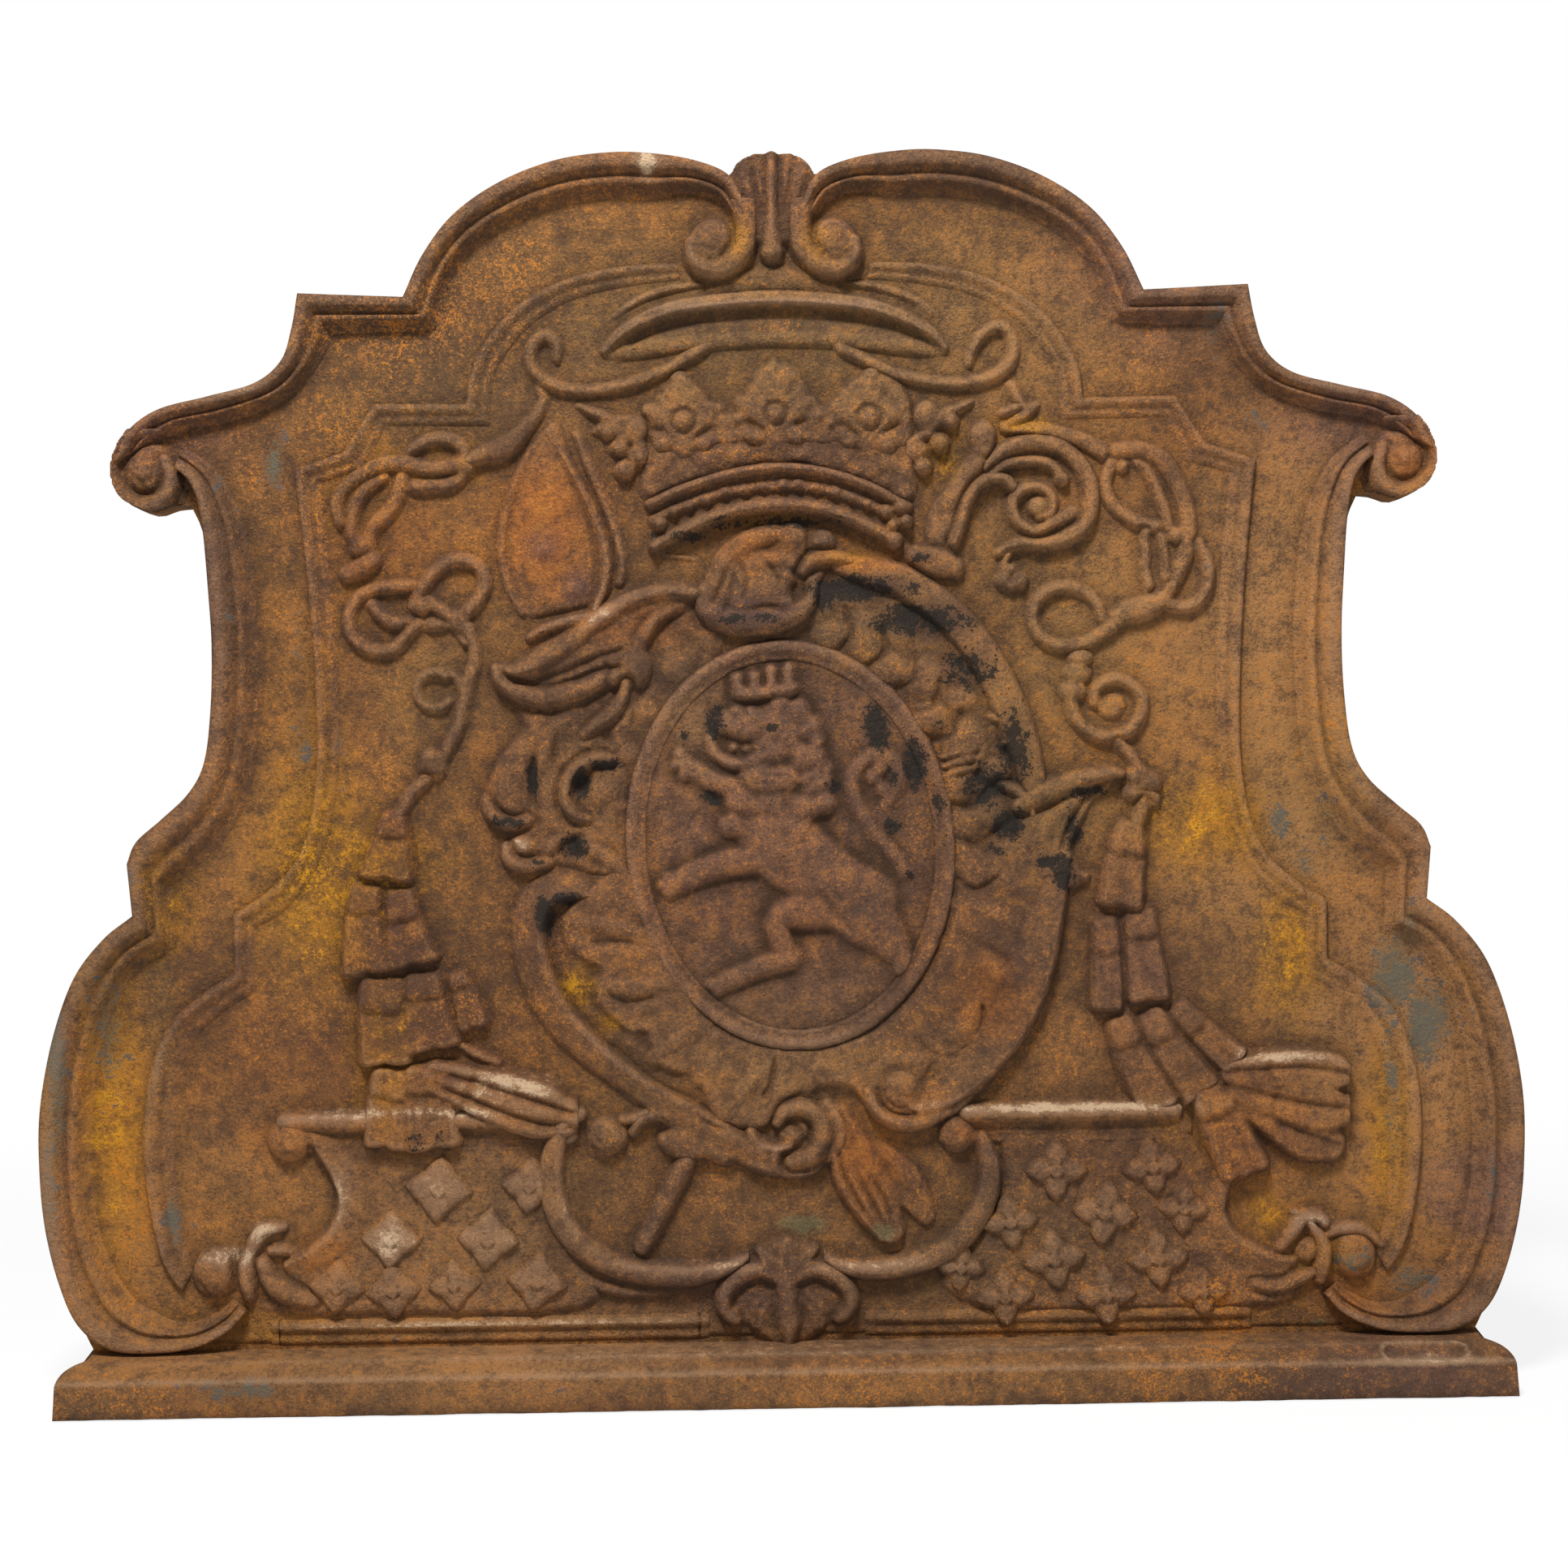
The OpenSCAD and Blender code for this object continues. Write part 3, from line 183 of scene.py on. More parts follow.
class Relief:
    """Heights of one casting in front of the plate. Lines, bosses and fields are laid on it or cut from it."""

    def __init__(self, name, room):
        low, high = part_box(name)
        ends = ((low.x * 1000, high.x * 1000), (sheet_z(low.z * 1000), sheet_z(high.z * 1000)))
        self.x, self.z = (np.arange(2 * math.floor((a - room) / PITCH / 2),
                                    2 * math.ceil((b + room) / PITCH / 2) + 1) * PITCH for a, b in ends)
        self.X, self.Z = np.meshgrid(self.x, self.z)
        self.h = np.zeros_like(self.X)
        imprint(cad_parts[name], self.h, self.x[0], self.z[0], PITCH)
        self.h = blur(self.h, 1.5)

    def near(self, points, reach=1.0):
        """For grid points near a line of [x, z, width, factor]: radius share, side, way along, width and factor."""
        rows = [list(p) + [1.0] if len(p) < 4 else list(p) for p in points]
        p = flow(rows, 0.7)
        d = np.gradient(p[:, :2], axis=0)
        d /= np.maximum(np.linalg.norm(d, axis=1), 1e-9)[:, None]
        s = lengths(p[:, :2])
        shape = self.h.shape
        best = np.full(shape, 1e9)
        side, along, wide, factor = (np.zeros(shape) for _ in range(4))
        wide += 1.0
        self.length = s[-1]
        for k in range(0, len(p), CHUNK):
            some = slice(k, k + CHUNK + 1)
            q = p[some]
            m = q[:, 2].max() / 2 * reach + 1.5
            i0, i1 = np.searchsorted(self.x, [q[:, 0].min() - m, q[:, 0].max() + m])
            j0, j1 = np.searchsorted(self.z, [q[:, 1].min() - m, q[:, 1].max() + m])
            if i1 <= i0 or j1 <= j0:
                continue
            dx = self.x[None, i0:i1, None] - q[None, None, :, 0]
            dz = self.z[j0:j1, None, None] - q[None, None, :, 1]
            dd = dx ** 2 + dz ** 2
            n = dd.argmin(-1)
            low, ddx, ddz = (np.take_along_axis(np.broadcast_to(v, dd.shape), n[..., None], -1)[..., 0]
                             for v in (dd, dx, dz))
            t = d[some][n]
            win = (slice(j0, j1), slice(i0, i1))
            better = low < best[win]
            across, onward = ddz * t[..., 0] - ddx * t[..., 1], s[some][n] + ddx * t[..., 0] + ddz * t[..., 1]
            for grid, value in ((best, low), (side, across), (along, onward), (wide, q[:, 2][n]),
                                (factor, q[:, 3][n])):
                grid[win] = np.where(better, value, grid[win])
        return np.sqrt(best) * 2 / wide, side * 2 / wide, along, wide, factor

    def lay(self, points, height, shape=None):
        """A ridge along a line. shape(side, along) gives its cross-section, else it is half round."""
        r, side, along, _, factor = self.near(points)
        cap = np.sqrt(np.clip(1 - r ** 2, 0, 1))
        h = height * factor * (cap if shape is None else shape(side, along) * np.clip((1 - r) * 4, 0, 1) ** 0.5)
        self.h = np.maximum(self.h, np.where(r < 1, h, 0))

    def cord(self, points, height=7.0):
        """A round cord that passes over whatever it crosses."""
        r, _, _, _, factor = self.near(points, 1.5)
        self.h = self.h * (0.4 + 0.6 * np.clip((r - 1.02) / 0.4, 0, 1))
        self.h = np.maximum(self.h, np.where(r < 1, height * factor * np.clip(1 - r ** 2.2, 0, 1) ** 0.5, 0))

    def cut(self, points, depth):
        """A groove along a line, as deep as depth in its middle."""
        r, _, _, _, factor = self.near(points, 1.8)
        self.h = self.h - np.clip(self.h * 0.6, 0, 1) * depth * factor * np.exp(-(r * 1.3) ** 2.0)

    def boss(self, x, z, r, height, add=False, flat=2.0, tall=1.0):
        """A rounded lump r across its half, tall times as high as it is wide."""
        d = np.hypot(self.X - x, (self.Z - z) / tall) / r
        h = height * np.clip(1 - d ** flat, 0, 1) ** (1 / flat)
        self.h = self.h + h if add else np.maximum(self.h, h)

    def dent(self, x, z, r, depth, tall=1.0):
        """A rounded hollow."""
        d = np.hypot(self.X - x, (self.Z - z) / tall) / r
        self.h = self.h - np.clip(self.h * 0.6, 0, 1) * depth * np.exp(-(d * 1.3) ** 2)

    def coil(self, x, z, r, turns, start, depth, hand=1):
        """A spiral groove that winds inwards from radius r, starting at the angle start."""
        a = np.linspace(0, turns * 2 * math.pi, int(10 * turns) + 3)
        k = 1 - 0.8 * a / a[-1]
        self.cut([[x + r * q * math.cos(start + hand * t), z + r * q * math.sin(start + hand * t),
                   r * 0.22 * (0.6 + q * 0.4)] for t, q in zip(a, k)], depth)

    def field(self, points, height, edge=2.0, rough=0.0, seed=1):
        """A level field inside a closed line."""
        p = flow(list(points) + [points[0]], 4)[:-1]
        inside = np.zeros(self.h.shape, bool)
        for (x0, z0), (x1, z1) in zip(p, np.roll(p, -1, axis=0)):
            if z0 != z1:
                edge_x = x0 + (self.Z - z0) * (x1 - x0) / (z1 - z0)
                inside ^= ((self.Z > z0) != (self.Z > z1)) & (self.X < edge_x)
        h = height + rough * waves(self.X, self.Z, 15, seed) + rough * 0.6 * waves(self.X, self.Z, 6, seed + 1)
        self.h = np.maximum(self.h, h * blur(inside.astype(float), edge))

    def tassel(self, points, height, count, seed):
        """A tassel with a bulging head, a collar and a skirt of strands that widens and rises towards its cut end."""
        rng = np.random.default_rng(seed + 11)
        _, side, along, wide, factor = self.near([[p[0], p[1], p[2] * 1.2, *p[3:]] for p in points], 1.2)
        part = np.clip((side + 1) / 2 * count, 0, count - 1e-6)
        k = part.astype(int)
        off = (2 * (part - k) - 1) ** 2
        drop = rng.uniform(0.0, 2.6, count)[k] + 1.4 * off
        t = np.clip((along + drop) / self.length, 0, 1.2)
        strand = 0.78 + 0.22 * np.clip(1 - off, 0, 1) ** 0.35 + 0.05 * np.cos(side * count * 3 * math.pi)
        strand = 1 - (1 - strand) * np.clip((t - 0.3) * 5, 0, 1)
        neck = rng.uniform(0.3, 0.46) + 0.05 * (1 - side ** 2)
        bulge = 0.26 * np.sqrt(np.clip(1 - ((t - neck / 2) / (neck / 2)) ** 2, 0, 1))
        collar = 0.14 * np.exp(-((t - neck) / 0.045) ** 2)
        h = (0.5 + 0.5 * np.clip(t, 0, 1) ** 0.8) * strand * factor + bulge - collar
        sides = np.clip((1 - np.abs(side)) * wide / 9, 0, 1) ** 0.6
        h = h * sides * np.clip((1 - t) * self.length / 2.5, 0, 1) ** 0.4 * np.clip(along / 5, 0, 1) ** 0.5
        inside = (np.abs(side) < 1) & (along > 0) & (t < 1)
        self.h = np.maximum(self.h, np.where(inside, height * h, 0))

    def finish(self):
        """Softens the relief, gives it a flared foot and marks it on the sheet."""
        soft = blur(self.h, 0.8)
        self.h = np.maximum(soft, blur(soft, 3.6) * 0.5)
        rng = np.random.default_rng(int(self.x[0] * 7 + self.z[0]) & 0xffff)
        sand = sum(k * blur(rng.normal(size=self.h.shape), mm) * mm for mm, k in SAND)
        self.h = blur(self.h, 0.7) + sand * np.clip(self.h / 2.5, 0, 1)
        i = (SHEET_X > self.x[0]) & (SHEET_X < self.x[-1])
        j = (SHEET_Z > self.z[0]) & (SHEET_Z < self.z[-1])
        gx, gz = np.meshgrid(SHEET_X[i], SHEET_Z[j])
        part = sampled(self.h, gx, gz, self.x[0], self.z[0], PITCH)
        here = np.ix_(j, i)
        SHEET_H[here] = np.maximum(SHEET_H[here], np.where(part > 0.6, part, 0))


def cupped(side, along):
    """A hollow leaf with raised edges."""
    return 0.58 + 0.42 * side ** 2


def veined(side, along):
    """A full leaf with a groove down its middle."""
    return np.sqrt(np.clip(1 - 0.7 * side ** 2, 0, 1)) - 0.3 * np.exp(-(side * 4) ** 2)


DISC_X, DISC_Z, DISC_A, DISC_B, LEAN = 6, 361, 96, 122, math.radians(5)


def ring_point(a, k):
    """Place k mm outside the medallion's disc at a degrees."""
    a = math.radians(a)
    u, v = (DISC_A + k) * math.cos(a), (DISC_B + k) * math.sin(a)
    return [DISC_X + u * math.cos(LEAN) - v * math.sin(LEAN), DISC_Z + v * math.cos(LEAN) + u * math.sin(LEAN)]


def ring(k, w):
    """A line w wide round the medallion, k mm outside its disc."""
    return [ring_point(a, k) + [w] for a in range(0, 361, 8)]


# ---- ornaments, each worked on its own relief ----

def crest_shell(r):
    r.h *= 0.7
    r.field([[-34, 812], [-30, 785], [-20, 764], [-14, 748], [14, 748], [20, 764], [30, 785], [34, 812]], 7.5, 1.5)
    for s in (-1, 1):
        r.lay([[s * 19, 806, 15, .9], [s * 15, 792, 14], [s * 10, 771, 10], [s * 6.5, 752, 6, .8]], 12, cupped)
        r.lay([[s * 9, 811, 12, .9], [s * 7, 790, 9], [s * 5, 765, 6, .8]], 11, cupped)
    r.lay([[-1, 813, 11], [-1, 785, 8.5], [-1, 762, 10], [-1, 748, 15], [-1, 741, 15, .9]], 14)
    r.boss(-1, 742, 8.5, 13.5)
    for s in (-1, 1):
        r.cut([[s * 14, 806, 2.4], [s * 11, 786, 3.2], [s * 7, 765, 2.4]], 4)
        r.cut([[s * 4, 808, 2], [s * 4.5, 784, 2.8], [s * 5, 764, 2]], 4)


def crest_volute(r, s):
    r.h *= 0.2
    r.lay([[s * 33, 796, 20, .95], [s * 22, 780, 20], [s * 17.5, 762, 18], [s * 19, 745, 17], [s * 28, 733, 16],
        [s * 41, 730, 15], [s * 51, 737, 13], [s * 52, 748, 10, .9]], 14)
    r.boss(s * 38, 747, 17, 15)
    r.cut([[s * 32, 772, 4], [s * 27, 760, 5], [s * 27, 748, 4.6], [s * 33, 739, 4, .8]], 4)
    r.coil(s * 39, 748, 10, 0.8, 2.4, 2.2, hand=-s)


def ear_volute(r, s):
    r.h *= 0.25
    r.boss(s * 405, 603, 23, 9, flat=3)
    r.cord([[s * 396, 634, 16, .9], [s * 413, 629, 18], [s * 425, 615, 19], [s * 426, 600, 19], [s * 416, 586, 18],
        [s * 402, 582, 16], [s * 390, 589, 13], [s * 387, 601, 12, .9], [s * 391, 612, 9, .8]], 14.5)
    r.boss(s * 405, 604, 13.5, 14)
    r.coil(s * 405, 604, 10, 0.85, 1.2, 2.2, hand=s)
    for k in range(7):
        a = k * 0.9 + 0.3
        r.dent(s * 405 + 7.2 * math.cos(a), 604 + 7.2 * math.sin(a), 2.4, 2.6)


def foot_volute(r, s):
    r.h *= 0.2
    r.boss(s * 365, 92, 16, 12, tall=1.05)
    r.cut([[s * 356, 101, 3], [s * 354, 90, 4], [s * 358, 80, 4], [s * 369, 78, 4], [s * 375, 87, 4, .8]], 4)
    r.boss(s * 365, 89, 8.5, 13)
    r.lay([[s * 343, 108, 8, .7], [s * 346, 96, 13], [s * 345, 84, 13], [s * 344, 77, 9, .8]], 11)
    r.cut([[s * 353, 99, 3], [s * 352, 86, 3.5], [s * 349, 76, 3]], 4)
    r.lay([[s * 343, 104, 8], [s * 337, 114, 8], [s * 328, 120, 6, .6]], 9)


def hat_brim(r):
    """A brim seen from below: a high lip along its upper edge, a dark hollow under it, and a soft lower edge."""
    r.h *= 0.0
    r.field([[-110, 679], [-97, 692], [-72, 703], [-45, 708], [0, 711], [45, 708], [76, 701], [98, 691], [111, 679],
        [100, 676], [80, 682], [40, 684], [0, 684.5], [-45, 684], [-80, 680], [-100, 674]], 3.6, 1.8)
    r.lay([[-106, 678, 9, .6], [-90, 680, 13], [-60, 684, 13], [0, 687, 12], [60, 684, 13], [92, 680, 12],
        [107, 678, 8, .6]], 5.2)
    r.lay([[-110, 680, 6, .6], [-97, 692, 9], [-75, 703, 10.5], [-48, 709, 11], [0, 712.5, 11], [48, 709, 11],
        [76, 702, 10.5], [98, 691, 9], [110, 680, 6, .6]], 11, lambda side, along: np.clip(0.86 - 0.2 * side, 0, 1))
    r.cut([[-92, 686, 4], [-75, 693, 7], [-48, 699, 9], [0, 702, 10], [48, 699, 9], [76, 693, 7], [92, 687, 4]], 3.2)


def hat_crown(r):
    r.h *= 0.55
    r.field([[-46, 712], [-42, 722], [-26, 730], [0, 733], [26, 730], [42, 722], [46, 712], [0, 716]], 5.2, 3.0)
    for s in (-1, 1):
        r.lay([[s * 106, 700, 5, .5], [s * 88, 712, 6], [s * 66, 719.5, 6], [s * 47, 722, 5, .8]], 4.2)


def coronet_band(r):
    r.h *= 0.55
    r.lay([[-81, 581, 8, .8], [-60, 590, 8], [-30, 599, 8], [0, 603, 8], [30, 600, 8], [60, 590, 8],
        [84, 577, 8, .8]], 13)
    r.lay([[-77, 555, 9, .8], [-60, 563, 10], [-40, 572, 10.5], [-20, 577, 10.5], [0, 579, 10.5], [30, 576, 10],
        [64, 562, 9.5], [74, 555, 8, .8]], 13)
    r.lay([[-79, 571, 8, .8], [-60, 579, 8], [-30, 588, 8], [0, 591, 8], [30, 588.5, 8], [60, 578, 8],
        [78, 567, 8, .8]], 8.5)
    r.cut([[-80, 576, 2.4], [-60, 584.5, 2.4], [-30, 594, 2.4], [0, 597.5, 2.4], [30, 594.5, 2.4], [60, 584, 2.4],
        [80, 573, 2.4]], 2.5)
    for x, z, k in ((-75, 568, 5), (-66, 576, 4), (-56, 579, 3.4), (-45, 583, 4.4), (-33, 588, 3.6), (-20, 589, 3.8),
            (-9, 591, 3), (4, 592, 4.2), (14, 592, 4), (25, 590, 3.2), (37, 587, 4.6), (48, 583, 3.4),
            (58, 579, 3.6)):
        r.boss(x, z, k, 12.2)
    for x, z, k in ((70, 574, 5.5), (80, 577, 6), (83, 568, 5), (74, 565, 4.5), (75, 556, 6.5), (-79, 553, 4)):
        r.boss(x, z, k, 13.4)
    r.lay([[-76, 549, 3, .7], [-62, 547, 3], [-50, 545, 2.5, .6]], 4)


def coronet_wall(r):
    r.field([[-84, 582], [-86, 600], [-80, 622], [-55, 632], [-20, 634], [0, 636], [30, 634], [60, 634], [84, 622],
        [90, 604], [84, 580], [55, 594], [0, 606], [-55, 594]], 7, 2.2, rough=0.8, seed=5)
    for x, z, k in ((-70, 608, 7), (-45, 611, 6), (-25, 613, 6), (15, 613, 7), (45, 611, 6), (72, 606, 7),
            (-86, 592, 6)):
        r.boss(x, z, k, 1.6, add=True)


def fleuron(r, x, z, s, jewel=7.0):
    """A full three-lobed leaf with a ringed jewel in its middle."""
    r.lay([[x, z - 12, 30, .8], [x, z + 2, 42], [x, z + 14, 34], [x - 2 * s, z + 27, 14, .8]], 12)
    for k in (-1, 1):
        r.lay([[x + k * 8, z - 4, 18], [x + k * 15, z + 3, 17], [x + k * 22, z + 8, 11, .8]], 11.5)
        r.boss(x + k * 13, z - 14, 8.5, 12, tall=0.8)
        r.cut([[x + k * 8, z - 10, 3], [x + k * 14, z - 6, 3.5], [x + k * 21, z - 4, 3]], 3)
        r.cut([[x + k * 7, z + 11, 3], [x + k * 12, z + 17, 3.4, .9], [x + k * 16, z + 23, 3]], 2)
    r.boss(x, z, jewel + 4.5, 13.4, flat=3)
    a = np.linspace(0, 2 * math.pi, 20)
    r.cut([[x + (jewel + 0.4) * math.cos(t), z + (jewel + 0.4) * math.sin(t), 3.2] for t in a], 4)
    r.boss(x, z, jewel - 0.6, 15.5)


def coronet_fleurons(r):
    r.h *= 0.5
    r.field([[-80, 612], [-82, 634], [-74, 652], [-62, 661], [-46, 648], [-30, 638], [-20, 650], [-12, 664], [1, 671],
        [14, 665], [24, 648], [34, 642], [46, 656], [64, 664], [80, 656], [88, 636], [84, 614], [40, 616], [0, 618],
        [-40, 616]], 8.5, 2.5, rough=0.7, seed=8)
    fleuron(r, -59, 633, 1)
    fleuron(r, 0, 637, 1, 6.6)
    fleuron(r, 60, 634, -1, 7.4)
    for x, z, k in ((28, 636, 5), (35, 631, 4.5), (-24, 634, 5), (-17, 624, 5.5), (12, 625, 6.5), (43, 624, 6),
            (-42, 642, 5), (71, 618, 9), (-72, 620, 8)):
        r.boss(x, z, k, 12.5)
    r.cut([[2, 648, 2.5], [0, 660, 3], [3, 671, 2.5]], 1.8)
    r.cut([[62, 646, 2.5], [64, 655, 3], [67, 664, 2.5]], 1.8)
    r.cut([[-60, 645, 2.5], [-61, 653, 3], [-63, 661, 2.5]], 1.8)


def coronet_side_leaves(r):
    r.h *= 0.4
    for x, z, k, t in ((-90, 628, 9, 1.2), (-88, 612, 8, 1), (-100, 617, 7, 1), (-97, 603, 8, .9), (-107, 628, 7, 1),
            (97, 635, 10, 1.15), (90, 613, 9, 1), (105, 618, 7.5, 1), (94, 603, 7, .9), (112, 632, 6.5, 1)):
        r.boss(x, z, k, 11, tall=t)
    for s in (-1, 1):
        r.lay([[s * 100, 628, 10], [s * 110, 637, 9], [s * 119, 641, 7, .8], [s * 127, 645, 4, .6]], 9)
        r.lay([[s * 86, 618, 8], [s * 92, 622, 8], [s * 99, 624, 6]], 9.5)
    r.lay([[-94, 634, 9], [-106, 634, 9], [-116, 628, 6, .7]], 8)


def mitre(r):
    r.h *= 0.8
    r.lay([[-146, 628, 7, .8], [-137, 612, 8], [-126, 592, 8.5], [-116, 570, 8.5], [-110, 548, 8.5], [-111, 530, 8],
        [-117, 514, 7, .8]], 8.6)
    r.cut([[-142, 618, 2.6], [-132, 597, 3], [-122, 573, 3], [-117, 550, 3], [-118, 530, 3]], 2.2)
    r.lay([[-150, 626, 6, .8], [-163, 606, 7], [-172, 582, 7], [-177, 556, 7], [-173, 530, 7], [-164, 512, 6, .8]],
        6.0)
    r.boss(-149, 550, 9, 9)
    r.boss(-131, 527, 9, 7.2)
    r.boss(-151, 524, 6, 7, tall=1.8)
    r.boss(-140, 578, 12, 6.8, tall=1.6)
    r.cut([[-166, 545, 3], [-160, 528, 4], [-158, 515, 3]], 1.2)


def mitre_horn(r):
    r.h *= 0.9
    r.cut([[-124, 616, 1.6], [-113, 592, 2], [-104, 566, 2], [-101, 545, 2]], 1.5)


def crosier_staff(r):
    r.h *= 0.35
    r.lay([[135, 618, 15], [129, 606, 15], [122, 595, 17], [115, 583, 19], [109, 571, 23], [107, 560, 25],
        [108, 553, 21, .9]], 10)
    r.boss(133, 622, 9.5, 12, tall=1.15)
    r.cut([[124, 612, 2.4], [133, 608, 3], [142, 610, 2.4]], 3.2)
    r.dent(108, 570, 7.5, 5, tall=1.2)
    r.boss(108.5, 569, 3.6, 7.5, tall=1.4)
    r.cord([[113, 554, 9, .9], [118, 566, 9], [122, 579, 9], [129, 590, 9], [138, 595, 9], [147, 594, 9],
        [152, 589, 8.5, .9]], 11)
    r.lay([[89, 546, 15, .9], [98, 543, 22], [107, 540, 21], [113, 538, 16, .9]], 11)
    r.cut([[88, 549, 2], [98, 551.5, 3], [108, 550, 3], [116, 545, 2]], 3)


def crosier_crook(r):
    r.h *= 0.25
    r.field([[176, 570], [190, 577], [199, 574], [197, 560], [184, 553], [166, 552], [156, 556], [160, 562]], 6, 2.5)
    r.cord([[137, 602, 12, .9], [148, 613, 13], [163, 617.5, 13], [180, 615.5, 13], [193, 606, 13], [201, 592, 13],
        [202, 577, 13], [197, 564, 13], [186, 556, 12], [172, 552.5, 10], [157, 553, 9], [147, 549, 8],
        [142, 547, 6, .8]], 10)
    r.cord([[138, 597, 7, .8], [149, 604, 8], [163, 606, 8], [174, 604.5, 8], [181, 599, 8.5], [183.5, 593.5, 9]],
        8.8)
    r.boss(183.5, 594, 5.6, 10.5)
    r.cord([[190, 572, 12, .8], [178, 566, 10], [166, 561, 9], [156, 566, 8.5], [151.5, 575, 8.5], [155, 585, 8.5],
        [164, 589, 8], [173, 587, 8], [178, 580, 7.5], [176, 572, 7], [168, 569, 6]], 9)
    r.boss(168, 576, 7.6, 11.5)
    r.cord([[149, 546, 6], [145.5, 540, 6], [145, 533, 7]], 7)
    for x, z, k in ((145, 529.5, 6.4), (155.5, 529, 6.4), (150, 536, 4.2), (150, 525, 3.5)):
        r.boss(x, z, k, 9)
    r.cut([[150, 554.5, 1.4], [164, 556, 2], [178, 559, 1.6]], 2)


def crosier_foot(r):
    r.h *= 0.5
    r.lay([[-63, 160, 13, .9], [-70, 148, 15], [-79, 131, 15], [-88, 113, 14], [-93, 104, 12, .8]], 10)


def cartouche_crest_leaf(r):
    """The turned-over leaf at the cartouche's head: a heavy roll below, an orange fold above it and two round tips."""
    r.h *= 0.3
    r.boss(-15, 527, 34, 11.5, flat=2.6, tall=0.86)
    r.boss(8, 540, 24, 10, flat=2.6, tall=0.9)
    r.lay([[-47, 524, 14, .8], [-44, 512, 18], [-32, 505, 20], [-14, 504, 20], [2, 506, 19], [14, 511, 16],
        [21, 520, 13], [22, 530, 10, .9]], 14.5)
    r.lay([[-40, 528, 12, .9], [-33, 543, 18], [-20, 554, 18], [-6, 559, 16], [4, 560, 13, .9]], 12.5)
    r.lay([[-26, 530, 14, .8], [-14, 541, 16], [0, 544, 15], [10, 540, 11, .9]], 13)
    r.boss(10, 557, 10.5, 13.5, tall=1.1)
    r.boss(29, 553, 9.5, 13, tall=1.1)
    r.cord([[16, 536, 10, .8], [24, 544, 12], [36, 545, 11], [48, 543, 9, .8]], 12)
    r.dent(13, 524, 7, 9, tall=1.2)
    r.boss(5, 516, 6, 14)
    for pts in ([[-44, 514, 2], [-38, 524, 3], [-33, 538, 2.4]], [[-36, 508, 2], [-31, 520, 3], [-28, 534, 2.4]],
            [[-10, 545, 2.2], [-2, 536, 3.2], [2, 528, 2.4]], [[-24, 542, 2], [-20, 532, 2.6], [-22, 520, 2]],
            [[20, 548, 2.4], [20, 556, 3], [19, 563, 2]], [[-18, 512, 2], [-4, 514, 2.6], [6, 508, 2]]):
        r.cut(pts, 3.4)


